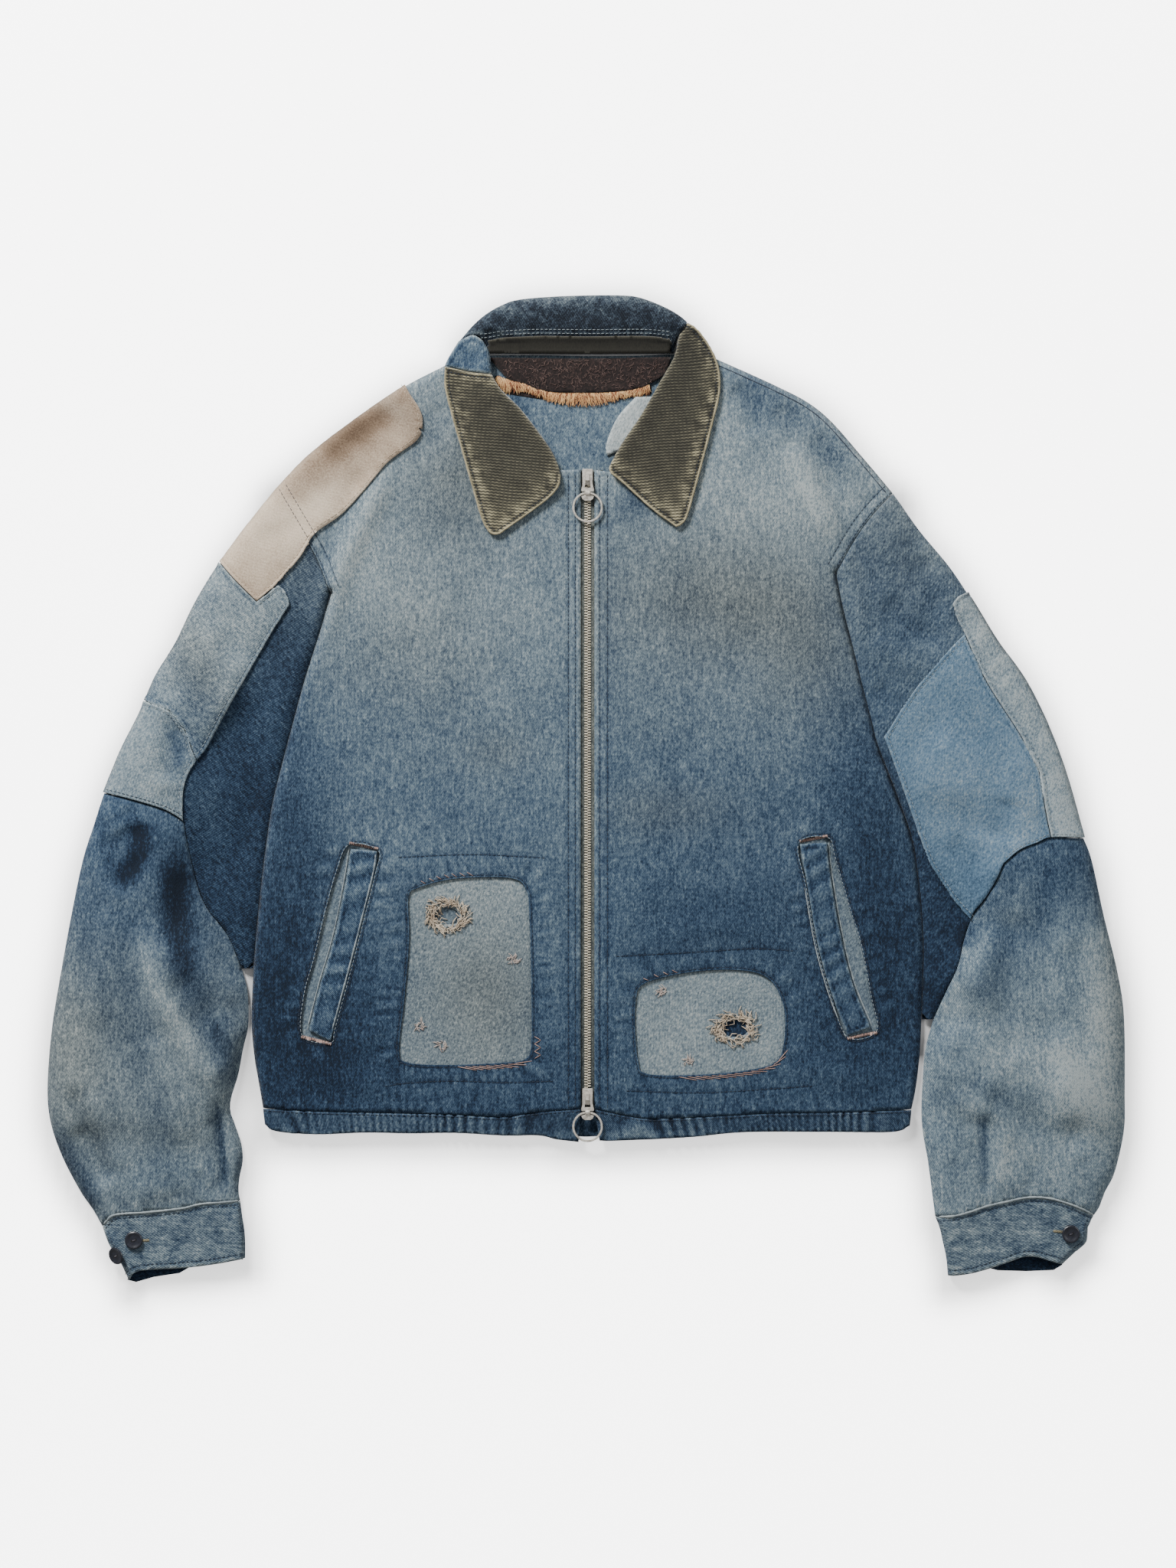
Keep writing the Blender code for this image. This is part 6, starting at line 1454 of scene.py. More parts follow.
def add_sleeves(finish):
    """Both sleeves and their cuffs, their meshes following the seams of the patches. Gives the meshes that
    other pieces lie on.
    """
    cloths = {}
    for side, upper_arm, armhole, side_top, elbow, inner, gusset, seams, looks in (
            ("left", LEFT_UPPER_ARM, LEFT_ARMHOLE, LEFT_SIDE_TOP, LEFT_ELBOW, LEFT_INNER_ELBOW,
             LEFT_GUSSET_END, (CREAM_SEAM, CREAM_END, ARM_PATCH_INNER, ARM_PATCH_LOW, BAND_INNER),
             LOOK_UPPER_LEFT),
            ("right", RIGHT_UPPER_ARM, RIGHT_ARMHOLE, RIGHT_SIDE_TOP, RIGHT_ELBOW, RIGHT_INNER_ELBOW,
             RIGHT_GUSSET_END, (PANEL_TOP, PANEL_SIDE, PANEL_INNER, STRIP_INNER), LOOK_UPPER_RIGHT)):
        outline = shrunk(loop(upper_arm, elbow, inner, gusset, back(side_top), back(armhole)))
        marks = [smooth(run) for run in seams]
        rows = [beside(line, d)[1:-1] for line in marks for d in (-4.2, -3.2, -2.2, -1.1, 1.1, 2.2, 3.2, 4.2)]
        cloths[side] = tube(f"sleeve_{side}_upper", outline, [path(armhole), path(elbow, inner)], drape,
                            finish[f"upper_{side}"], DENIM, looks,
                            "denim_indigo" if side == "left" else "denim_mid", marks=marks,
                            rows=rows + seam_rows(outline))
    for side, forearm, cuff, inner_arm, inner, elbow, look in (
            ("left", LEFT_FOREARM, LEFT_CUFF_SEAM, LEFT_INNER_ARM, LEFT_INNER_ELBOW, LEFT_ELBOW,
             LOOK_LOWER_LEFT),
            ("right", RIGHT_FOREARM, RIGHT_CUFF_SEAM, RIGHT_INNER_ARM, RIGHT_INNER_ELBOW, RIGHT_ELBOW,
             LOOK_LOWER_RIGHT)):
        outline = shrunk(loop(forearm, cuff, back(inner_arm), back(inner), back(elbow)))
        tube(f"sleeve_{side}_lower", outline, [path(cuff), path(elbow, inner)], drape,
             finish[f"lower_{side}"], DENIM, look, "denim_mid", rows=seam_rows(outline))
    for side, seam, inner, low, outer in (
            ("left", LEFT_CUFF_SEAM, LEFT_CUFF_INNER, LEFT_CUFF_LOW, LEFT_CUFF_OUTER),
            ("right", RIGHT_CUFF_SEAM, RIGHT_CUFF_INNER, RIGHT_CUFF_LOW, RIGHT_CUFF_OUTER)):
        outline = shrunk(loop(seam, inner, low, outer, step=2.2))

        def worn(plan, values, seam=seam, low=low, outer=outer):
            edge = np.minimum(nearest(plan, smooth(low))[0], nearest(plan, smooth(outer))[0])
            values["wear"] = values["wear"] + 1.2 * np.exp(-(edge / 1.6) ** 2) \
                + 0.5 * waves(plan, 61, 5, 30, 20, 3.0) \
                + 1.4 * np.exp(-(nearest(plan, smooth(seam))[0] / 1.3) ** 2)

        tube(f"cuff_{side}", outline, [path(seam), path(low)], drape, finish[f"cuff_{side}"], CUFF, LOOK_CUFF,
             "denim_mid", add=worn, step=2.4, rows=seam_rows(outline))
    return cloths


def add_patches(shoulder, cloths, finish):
    left, right = cloths["left"], cloths["right"]
    patch("patch_shoulder_left", shoulder,
          CREAM_SEAM + CREAM_END[1:] + [(-330, 200), (-240, 290), (-150, 340)],
          [CREAM_SEAM, CREAM_END], finish["cream"], LOOK_CREAM)
    patch("patch_arm_left", left,
          ARM_PATCH_INNER + ARM_PATCH_LOW[1:] + [(-350, 150), (-310, 195)] + back(CREAM_END),
          [ARM_PATCH_INNER, ARM_PATCH_LOW, CREAM_END], finish["arm"], LOOK_ARM)
    patch("patch_elbow_left", left,
          BAND_INNER + [(-316, -40), (-400, -20), (-370, 90)] + back(ARM_PATCH_LOW[:5]),
          [BAND_INNER, ARM_PATCH_LOW[:5]], finish["band"], LOOK_BAND)
    patch("patch_elbow_right", right,
          PANEL_TOP + PANEL_SIDE[1:] + PANEL_INNER[1:] + [(312, -96), (330, -66), (364, -45)]
          + back(STRIP_INNER[4:]),
          [PANEL_TOP, PANEL_SIDE, PANEL_INNER, STRIP_INNER[4:]], finish["panel"], LOOK_PANEL)
    patch("patch_strip_right", right, STRIP_INNER + [(364, -60), (420, -50), (360, 160), (305, 170)],
          [STRIP_INNER], finish["strip"], LOOK_STRIP)


def add_back(finish):
    """The back lies on the floor, with shallow creases pushed up in it and its rim lifted at the sides."""
    outline = shrunk(loop(LEFT_SHOULDER, LEFT_ARMHOLE, LEFT_SIDE_TOP, LEFT_SIDE_LOW, LEFT_HEM_SEAM,
                          [(-4.8, -250), (5.4, -250)], back(RIGHT_HEM_SEAM), back(RIGHT_SIDE_LOW),
                          back(RIGHT_SIDE_TOP), back(RIGHT_ARMHOLE), back(RIGHT_SHOULDER),
                          back(BACK_NECK)), 0.5)
    plan, faces = fill(outline, step=5.0)
    rim = nearest(plan, closed(outline))[0]
    lift = 0.8 * eased((rim - 12) / 30) * np.maximum(waves(plan, 71, 60, 170), 0)
    for edge in (LEFT_SHOULDER, LEFT_SIDE, RIGHT_SHOULDER, RIGHT_SIDE):
        lift = np.maximum(lift, BACK_LIFT * np.clip(1 - nearest(plan, smooth(edge))[0] / RIM, 0, 1))
    verts = np.column_stack([plan, lift])
    obj = mesh_object("cloth_back", verts, faces[:, ::-1], finish, DENIM, looks_at(plan, LOOK_BACK))
    declare(obj, "back", verts, faces)


def add_hem_back(finish):
    left_seam = [(-246, -250.2)] + LEFT_HEM_SEAM[1:]
    right_seam = [(246, -251.2)] + RIGHT_HEM_SEAM[1:]
    low = [(246, -264), (183, -266), (80, -269), (10, -272), (-10, -272), (-66, -268), (-140, -266.5),
           (-213, -267), (-246, -262)]
    outline = shrunk(loop(left_seam, [(-4.8, -250), (5.4, -250)], back(right_seam), [right_seam[0], low[0]],
                          low, [low[-1], left_seam[0]]), 0.4)
    sheet("hem_back", outline, lambda plan: 1.75 + 0.2 * np.cos(2 * math.pi * plan[:, 0] / 10.4), finish, 1.6,
          LOOK_HEM, "denim_indigo", ("floor",), step=3.0)


def add_body(finish):
    add_back(finish["back"])
    left_window = add_window("left", LEFT_WINDOW, LEFT_HOLE, LOOK_WINDOW_LEFT, LOOK_BACKING_LEFT,
                             finish["window_left"], finish["backing_left"])
    right_window = add_window("right", RIGHT_WINDOW, RIGHT_HOLE, LOOK_WINDOW_RIGHT, LOOK_BACKING_RIGHT,
                              finish["window_right"], finish["backing_right"])
    left_pocket = add_pocket("left", LEFT_POCKET, LEFT_WELT_EDGE, LEFT_WELT_INNER, finish["welt_left"],
                             finish["lining"])
    right_pocket = add_pocket("right", RIGHT_POCKET, RIGHT_WELT_EDGE, RIGHT_WELT_INNER, finish["welt_right"],
                              finish["lining"])
    left_runs = [LEFT_SHOULDER, LEFT_ARMHOLE, LEFT_SIDE_TOP, LEFT_SIDE_LOW, LEFT_HEM_SEAM, ZIP_LEFT,
                 LEFT_NECK]
    front_left = add_front("front_left", left_runs, [left_window, left_pocket], [smooth(CREAM_SEAM)],
                           LOOK_LEFT, finish["front_left"])
    right_runs = [RIGHT_NECK, RIGHT_SHOULDER, RIGHT_ARMHOLE, RIGHT_SIDE_TOP, RIGHT_SIDE_LOW, RIGHT_HEM_SEAM,
                  ZIP_RIGHT]
    add_front("front_right", right_runs, [right_window, right_pocket], [], LOOK_RIGHT,
              finish["front_right"])
    add_hem("hem_front_left", LEFT_HEM_SEAM, LEFT_HEM_LOW, [LEFT_HEM_LOW[0], LEFT_HEM_SEAM[0]],
            [LEFT_HEM_SEAM[-1], LEFT_HEM_LOW[-1]], finish["hem_left"])
    add_hem("hem_front_right", RIGHT_HEM_SEAM, RIGHT_HEM_LOW, [RIGHT_HEM_LOW[0], RIGHT_HEM_SEAM[0]],
            [RIGHT_HEM_SEAM[-1], RIGHT_HEM_LOW[-1]], finish["hem_right"])
    add_hem_back(finish["hem_left"])
    pale_piece = shrunk(loop(PALE_EDGE, [PALE_EDGE[-1], PALE_OUTER[1]], PALE_OUTER[1:],
                             [PALE_OUTER[-1], PALE_EDGE[0]]))
    sheet("neck_inside_right", pale_piece, lambda plan: 2.6 + 0.2 * waves(plan, 81, 14, 40),
          finish["inside_pale"], PATCH, LOOK_PALE, "denim_pale", step=2.6)
    return front_left


CAMERA_AT = (0.00136, 0.00269)
FRAME_HEIGHT = 1.2288
LENS = 80.0
SENSOR = 36.0


def add_camera():
    """Straight above, so that the frame's height spans the photographed floor."""
    camera = bpy.data.objects.new("camera", bpy.data.cameras.new("camera"))
    camera.data.lens = LENS
    camera.data.sensor_width = SENSOR
    camera.location = (*CAMERA_AT, LENS / SENSOR * FRAME_HEIGHT + 0.006)
    camera.data.clip_end = 50
    bpy.context.scene.collection.objects.link(camera)
    bpy.context.scene.camera = camera


def add_light(name, place, aim, size, power, colour=(1.0, 1.0, 1.0)):
    light = bpy.data.lights.new(name, "AREA")
    light.shape = "DISK"
    light.size = size
    light.energy = power
    light.color = colour
    obj = bpy.data.objects.new(name, light)
    obj.location = place
    obj.rotation_euler = (Vector(aim) - Vector(place)).to_track_quat("-Z", "Y").to_euler()
    bpy.context.scene.collection.objects.link(obj)


def add_stage():
    """A pale floor that glows evenly, with a painted soft shadow round the jacket and painted deep shade in
    the gaps beside the sleeves and at the hem's corners, a large soft key from beyond the neck, and an even
    sky.
    """
    g = Graph("floor_pale")
    spots = g.noise(0.0, (3, 3, 3), 2.0)
    tone = g.math("MULTIPLY_ADD", spots, 0.02, 0.5)
    g.finish(g.ramp(tone, [(0.0, FLOOR_TONE), (1.0, (250, 250, 250))]), 0.9, None, 0, Specular_IOR_Level=0.1,
             Emission_Color=(1.0, 1.0, 1.0, 1.0),
             Emission_Strength=g.math("MULTIPLY", g.value("glow_and_painted_shadow"), FLOOR_GLOW))
    mesh = bpy.data.meshes.new("floor")
    side = np.concatenate([[-5000], np.arange(-560, 561, 8), [5000]])
    points = np.array([(x, y) for y in side for x in side], float)
    sleeves = [loop(forearm, back(outer), back(low), back(inner), back(arm), back(elbow), back(top), step=9.0)
               for forearm, outer, low, inner, arm, elbow, top in (
                   (LEFT_UPPER_ARM + LEFT_FOREARM[1:], LEFT_CUFF_OUTER, LEFT_CUFF_LOW, LEFT_CUFF_INNER,
                    LEFT_INNER_ARM, LEFT_INNER_ELBOW, LEFT_ARMHOLE + LEFT_INNER_ELBOW[:1]),
                   (RIGHT_UPPER_ARM + RIGHT_FOREARM[1:], RIGHT_CUFF_OUTER, RIGHT_CUFF_LOW, RIGHT_CUFF_INNER,
                    RIGHT_INNER_ARM, RIGHT_INNER_ELBOW, RIGHT_ARMHOLE + RIGHT_INNER_ELBOW[:1]))]
    body = loop(LEFT_SHOULDER, LEFT_ARMHOLE, LEFT_SIDE_TOP + LEFT_SIDE_LOW[1:], LEFT_HEM_LOW,
                back(RIGHT_HEM_LOW), back(RIGHT_SIDE_LOW), back(RIGHT_SIDE_TOP), back(RIGHT_ARMHOLE),
                back(RIGHT_SHOULDER), back(COLLAR_FOLD), step=9.0)
    glow_and_painted_shadow = np.ones(len(points))
    # Painted soft shadow: the floor glows less near each outline of the jacket, moved a little down and
    # across.
    for outline in sleeves + [body]:
        lower = closed(outline + SHADOW_STEP)
        away = np.where(inside(points, lower), 0, nearest(points, lower)[0])
        glow_and_painted_shadow = glow_and_painted_shadow * (1 - SHADOW * np.exp(-(away / SHADOW_REACH) ** 2))
    # No emission under the jacket; in the gaps beside the sleeves and at the hem's corners the floor is
    # painted dark as deep shade.
    for outline in GLOWLESS_SHADE_OUTLINES + sleeves + [body]:
        hidden = inside(points, outline)
        hidden[hidden] = nearest(points[hidden], closed(outline))[0] > 9
        glow_and_painted_shadow[hidden] = 0
    wide = len(side)
    quads = [(i, i + 1, i + wide + 1, i + wide) for row in range(wide - 1)
             for i in range(row * wide, row * wide + wide - 1)]
    mesh.from_pydata(placed(np.column_stack([points, np.full(len(points), -0.3)])).tolist(), [], quads)
    mesh.attributes.new("glow_and_painted_shadow", "FLOAT", "POINT").data.foreach_set("value", glow_and_painted_shadow.astype(np.float32))
    mesh.materials.append(g.material)
    floor = bpy.data.objects.new("floor", mesh)
    floor.visible_diffuse = False
    floor.visible_glossy = False
    bpy.context.scene.collection.objects.link(floor)
    world = bpy.data.worlds.new("sky")
    world.use_nodes = True
    world.node_tree.nodes["Background"].inputs["Color"].default_value = (1.0, 1.0, 1.0, 1.0)
    world.node_tree.nodes["Background"].inputs["Strength"].default_value = SKY
    bpy.context.scene.world = world
    add_light("key", (-1.25, 2.15, 1.45), (0.0, 0.0, 0.0), 0.8, KEY)
    add_light("rim", (2.1, 0.6, 1.3), (0.0, 0.0, 0.0), 1.2, KEY * 0.10)


FLOOR_TONE = (246, 246, 246)
FLOOR_GLOW = 5.6
# The painted shadow on the floor: how much of its emission it takes, how far it reaches, and how far the
# jacket's outline is moved for it.
SHADOW = 0.76
SHADOW_REACH = 19.0
SHADOW_STEP = np.array([2.0, -9.0])
SKY = 0.42
KEY = 185.0
# Where the floor has no emission: the middle, under the jacket, and the gaps beside the sleeves and at the
# hem's corners, painted dark as deep shade.
GLOWLESS_SHADE_OUTLINES = [np.array(run, float) for run in (
    [(-300, 150), (-330, 40), (-300, -40), (-225, -120), (-225, -250), (225, -250), (228, -120), (300, -50),
     (320, 60), (280, 170), (150, 290), (60, 375), (-60, 375), (-170, 300)],
    [(-300, -50), (-235, -50), (-238, -200), (-276, -200)],
    [(238, -50), (300, -50), (278, -222), (240, -222)],
    [(-262, -238), (-235, -238), (-235, -262), (-262, -262)],
    [(262, -238), (235, -238), (235, -262), (262, -262)])]


def finishes():
    """Every cloth has its own weave direction."""
    return {
        "back": denim("denim_back", 0.0), "front_left": denim("denim_front_left", 0.0),
        "front_right": denim("denim_front_right", 0.0), "hem_left": denim("denim_hem", 0.25, 1.6),
        "hem_right": denim("denim_hem_right", -0.2, 1.6), "upper_left": denim("denim_upper_left", -0.62, 1.5),
        "upper_right": denim("denim_upper_right", 0.55, 1.3), "lower_left": denim("denim_lower_left", 0.05),
        "lower_right": denim("denim_lower_right", -0.05),
        "cuff_left": denim("denim_cuff_left", 1.62, 1.6, 1.3),
        "cuff_right": denim("denim_cuff_right", 1.70, 1.6, 1.3), "cream": canvas("canvas_cream", 0.7),
        "arm": denim("denim_arm_patch", -0.5, 0.6, 0.4, 1.2),
        "band": denim("denim_elbow_band", 0.7, 1.6, 0.3),
        "panel": denim("denim_elbow_panel", 0.5, 0.8, 0.5, 1.1, SKY_BLUE),
        "strip": denim("denim_strip", 0.4, 0.6, 0.4),
        "window_left": denim("denim_window_left", 0.3, 1.2, 0.2, 1.1),
        "window_right": denim("denim_window_right", 0.5, 1.2, 0.2, 1.0),
        "backing_left": denim("denim_behind_left", 0.3, 1.2, 0.3),
        "backing_right": denim("denim_behind_right", 0.1),
        "welt_left": denim("denim_welt_left", -0.25, 1.2), "welt_right": denim("denim_welt_right", 0.25, 1.2),
        "lining": denim("denim_lining", 0.3, 0.8, 0.3), "collar": denim("denim_collar", 0.9, 2.0, 0.5, 1.3),
        "wing": denim("denim_wing", 0.6, 2.0, 0.4),
        "inside_pale": denim("denim_inside_pale", 0.2, 0.6, 0.3, 0.9, PALE_BLUE),
        "leaf_left": corduroy("corduroy_left", -0.10), "leaf_right": corduroy("corduroy_right", 0.10),
        "collar_band": corduroy("corduroy_band", 1.57), "wool": wool("wool_brown"),
    }


add_camera()
add_stage()
finish = finishes()
front_left = add_body(finish)
cloths = add_sleeves(finish)
add_patches(joined(front_left, cloths["left"]), cloths, finish)
add_collar(finish["wing"], finish["collar"], (finish["leaf_left"], finish["leaf_right"]),
           finish["collar_band"], finish["wool"])


def surface_below():
    """All the cloth, to lay threads on."""
    verts, faces, count = [], [], 0
    for points, triangles in SURFACES:
        verts.append(points)
        faces.append(triangles + count)
        count += len(points)
    return BVHTree.FromPolygons(np.vstack(verts).tolist(), np.vstack(faces).tolist())


def seat(points):
    """The height of the cloth's outer face below each point."""
    down = Vector((0, 0, -1))
    hits = [CLOTH.ray_cast(Vector((x, y, 60)), down)[0] for x, y in points]
    return np.array([hit.z if hit else 0.0 for hit in hits])


def capsule(sides=5):
    """A thread of unit length along X and unit radius: its points and faces."""
    angles = np.arange(sides) * 2 * math.pi / sides
    rings = [(t, r * math.cos(a), r * math.sin(a))
             for t, r in ((0.08, 0.8), (0.5, 1.0), (0.92, 0.8)) for a in angles]
    points = np.array(rings + [(0, 0, -0.3), (1, 0, -0.3)])
    faces = []
    for ring in range(2):
        for i in range(sides):
            a, b = ring * sides + i, ring * sides + (i + 1) % sides
            faces += [(a, b, b + sides), (a, b + sides, a + sides)]
    last = 2 * sides
    for i in range(sides):
        faces += [(i, 3 * sides, (i + 1) % sides), (last + i, last + (i + 1) % sides, 3 * sides + 1)]
    return points, np.array(faces)[:, ::-1]


def threads(name, starts, ends, finish, slot, width=0.28, lift=0.12, arch=0.1, heights=None, bend=None):
    """Short threads from each start to its end, lying on the cloth, each bowed up and sideways."""
    shape, shape_faces = capsule()
    starts, ends = np.array(starts, float), np.array(ends, float)
    middle = (starts + ends) / 2
    low, mid, high = heights or (seat(starts), seat(middle), seat(ends))
    t = shape[:, 0]
    along = ends - starts
    across = np.stack([-along[:, 1], along[:, 0]], axis=1)
    across /= np.maximum(np.linalg.norm(across, axis=1), 1e-9)[:, None]
    side = np.zeros(len(starts)) if bend is None else bend
    sideways = shape[:, 1] * width + side[:, None] * 4 * t * (1 - t)
    plan = starts[:, None] + along[:, None] * t[:, None] + across[:, None] * sideways[..., None]
    height = (low[:, None] * (1 - t) * (1 - 2 * t) + mid[:, None] * 4 * t * (1 - t)
              + high[:, None] * t * (2 * t - 1))
    height = height + lift + arch * 4 * t * (1 - t) + shape[:, 2] * width
    verts = np.concatenate([plan, height[..., None]], axis=2).reshape(-1, 3)
    faces = (shape_faces[None] + np.arange(len(starts))[:, None, None] * len(shape)).reshape(-1, 3)
    obj = mesh_object(name, verts, faces, finish)
    return obj


def at_length(line, positions):
    """Points of a line at these lengths along it."""
    before = np.concatenate([[0], np.cumsum(np.linalg.norm(np.diff(line, axis=0), axis=1))])
    return np.stack([np.interp(positions, before, line[:, k]) for k in range(2)], axis=1)


def running(rows, length=2.6, gap=0.9):
    """The starts and ends of a running stitch along each (line, offset)."""
    starts, ends = [], []
    for line, offset in rows:
        moved = beside(line, offset)
        first = np.arange(1.0, length_of(moved) - length - 1, length + gap)
        starts.append(at_length(moved, first))
        ends.append(at_length(moved, first + length))
    return np.vstack(starts), np.vstack(ends)


def across_line(line, first, last, pitch, inner, outer, seed, jitter=0.5):
    """Stitches across a line, from inner to outer beside it, between two lengths along it."""
    draw = np.random.default_rng(seed)
    position = np.arange(first, last, pitch)
    position = position + draw.uniform(-jitter, jitter, len(position))
    return (at_length(beside(line, inner), position + draw.uniform(-jitter, jitter, len(position))),
            at_length(beside(line, outer), position + draw.uniform(-jitter, jitter, len(position))))


def strand(line, radius, lift, sides=6, rough=0.0, seed=0):
    """A cord of cloth or thread that follows a line on the cloth: its points and faces."""
    draw = np.random.default_rng(seed)
    line = np.array(line, float)
    height = seat(line)
    height = np.convolve(np.pad(height, 2, "edge"), np.ones(5) / 5, "valid") + lift
    along = np.gradient(line, axis=0)
    along /= np.maximum(np.linalg.norm(along, axis=1), 1e-9)[:, None]
    across = np.stack([-along[:, 1], along[:, 0]], axis=1)
    size = radius * (1 + rough * draw.uniform(-1, 1, len(line)))
    size[0] = size[-1] = radius * 0.3
    angles = np.arange(sides) * 2 * math.pi / sides
    plan = line[:, None] + across[:, None] * (size[:, None] * np.cos(angles))[..., None]
    z = height[:, None] + size[:, None] * np.sin(angles)
    verts = np.concatenate([plan, z[..., None]], axis=2).reshape(-1, 3)
    faces = []
    for row in range(len(line) - 1):
        for i in range(sides):
            a, b = row * sides + i, row * sides + (i + 1) % sides
            faces += [(a, a + sides, b + sides), (a, b + sides, b)]
    return verts, np.array(faces)


def cords(name, lines, radius, lift, finish, rough=0.25):
    """Several cords as one piece."""
    verts, faces, count = [], [], 0
    for i, line in enumerate(lines):
        points, triangles = strand(line, radius, lift, rough=rough, seed=i)
        verts.append(points)
        faces.append(triangles + count)
        count += len(points)
    obj = mesh_object(name, np.vstack(verts), np.vstack(faces), finish, sharp=80)
    return obj


def frayed(places, seed):
    """Curly loose threads round worn holes: middle, half width, half height, how many and how long."""
    draw = np.random.default_rng(seed)
    starts, ends = [], []
    for x, y, wide, tall, count, length in places:
        angle = draw.uniform(0, 2 * math.pi, count)
        out = draw.uniform(0.95, 1.28, count)
        start = np.stack([x + wide * out * np.cos(angle), y + tall * out * np.sin(angle)], axis=1)
        turn = angle + draw.normal(math.pi / 2, 0.7, count)
        reach = draw.uniform(0.5, 1.1, count) * length
        starts.append(start)
        ends.append(start + np.stack([np.cos(turn), np.sin(turn)], axis=1) * reach[:, None])
    return np.vstack(starts), np.vstack(ends), draw


def add_stitches(navy, pale, tan, pink):
    zip_rows = [(LEFT_ZIP_EDGE, 4.6), (LEFT_ZIP_EDGE, 10.0), (RIGHT_ZIP_EDGE, -4.2), (RIGHT_ZIP_EDGE, -10.5)]
    dark = zip_rows + [
        (LEFT_WINDOW_LOOP, 1.8), (RIGHT_WINDOW_LOOP, 1.8),
        (smooth(LEFT_HEM_SEAM), -1.6), (smooth(RIGHT_HEM_SEAM), 1.6),
        (smooth(LEFT_ARMHOLE), 1.8), (smooth(LEFT_ARMHOLE), 8.2),
        (smooth(RIGHT_ARMHOLE), -1.8), (smooth(RIGHT_ARMHOLE), -8.6),
        (LEFT_POCKET_LOOP, 2.0), (RIGHT_POCKET_LOOP, 2.0),
        (smooth(LEFT_CUFF_SEAM), -2.8), (smooth(RIGHT_CUFF_SEAM), 2.8),
        (smooth(LEFT_CUFF_LOW), -4.6), (smooth(RIGHT_CUFF_LOW), 4.6),
        (smooth(LEFT_CUFF_OUTER), -4.4), (smooth(RIGHT_CUFF_OUTER), 4.4),
        (smooth(LEFT_ELBOW), 3.0)]
    dark += [(smooth(line), 0.0) for line in WINDOW_LINES]
    threads("stitches_navy", *running(dark), navy, "denim_indigo")
    light = [
        (smooth(ARM_PATCH_INNER), -3.2), (smooth(ARM_PATCH_LOW), 3.0), (smooth(BAND_INNER), -3.2),
        (smooth(PANEL_TOP), 3.2), (smooth(PANEL_SIDE), 3.0), (smooth(PANEL_INNER), 3.2),
        (smooth(STRIP_INNER), 3.2), (smooth(COLLAR_FOOT), 1.6), (smooth(COLLAR_FOOT), 4.4),
        (LEFT_POCKET_LOOP, 0.4), (RIGHT_POCKET_LOOP, 0.4), (smooth(RIGHT_ELBOW), -2.6)]
    threads("stitches_pale", *running(light, 2.4, 1.0), pale, "denim_pale", width=0.24)
    threads("stitches_cream", *running([(smooth(CREAM_SEAM), -3.0), (smooth(CREAM_END), -3.0)], 2.2, 1.2),
            tan, "canvas_cream", width=0.24)
    leaf = [(path(LEFT_LEAF_EDGE, LEFT_LEAF_OUTER, LEFT_LEAF_LOW), 3.6),
            (path(RIGHT_LEAF_OUTER, RIGHT_LEAF_LOW), -3.6)]
    threads("stitches_collar", *running(leaf, 1.7, 1.3), navy, "corduroy_olive", width=0.26)
    whips = [across_line(LEFT_WINDOW_LOOP, *span, 1.2, 4.6, seed) for span, seed in
             (((250, 298, 5.6), 2), ((20, 62, 6.2), 3))]
    whips += [across_line(RIGHT_WINDOW_LOOP, *span, 1.0, 4.2, seed) for span, seed in
              (((186, 270, 6.2), 4), ((20, 50, 8.0), 5))]
    starts = np.vstack([pair[0] for pair in whips])
    ends = np.vstack([pair[1] for pair in whips])
    zigzag = np.array([(-40 + (3.6 if i % 2 else -1.4), -193 - 2.9 * i) for i in range(7)], float)
    starts, ends = np.vstack([starts, zigzag[:-1]]), np.vstack([ends, zigzag[1:]])
    threads("stitches_whip", starts, ends, pink, "canvas_cream", width=0.30, arch=0.3)
    tacks = [across_line(np.array(line, float), 0.6, math.dist(*line) - 0.4, 0.85, -1.3, 1.3, seed, 0.2)
             for line, seed in (([(-186.5, -41.5), (-163.5, -46.2)], 1),
                                ([(-224, -193.2), (-200.5, -199)], 2),
                                ([(166.5, -40.2), (189, -35.8)], 3), ([(203.5, -194.8), (227, -190)], 4))]
    threads("bar_tacks", np.vstack([t[0] for t in tacks]), np.vstack([t[1] for t in tacks]), pink,
            "canvas_cream",
            width=0.42, lift=0.35, arch=0.5)


def add_fray(tan, pink):
    """Loose threads round the two worn holes and the small worn spots of the windows."""
    starts, ends, draw = frayed([(-109.5, -98.5, 11.5, 9.0, 120, 8.0), (-109.5, -98.5, 13.5, 11.0, 50, 6.5),
                                 (116, -187, 12.0, 8.5, 116, 8.0), (116, -187, 14.0, 10.5, 46, 6.5)], 7)
    threads("fray_rings", starts, ends, tan, "canvas_cream", width=0.42, lift=0.25, arch=1.2,
            bend=draw.normal(0, 1.4, len(starts)))
    starts, ends, draw = frayed([(-57.9, -132.5, 1.6, 1.6, 22, 5.0), (-130.8, -184.8, 2.0, 2.0, 22, 5.0),
                                 (-113.9, -200.4, 2.0, 2.0, 22, 5.0), (59, -158, 2.0, 2.2, 24, 5.0),
                                 (79.3, -212.7, 2.0, 1.6, 22, 5.0)], 9)
    threads("fray_spots", starts, ends, pink, "canvas_cream", width=0.26, lift=0.1, arch=0.6,
            bend=draw.normal(0, 0.8, len(starts)))


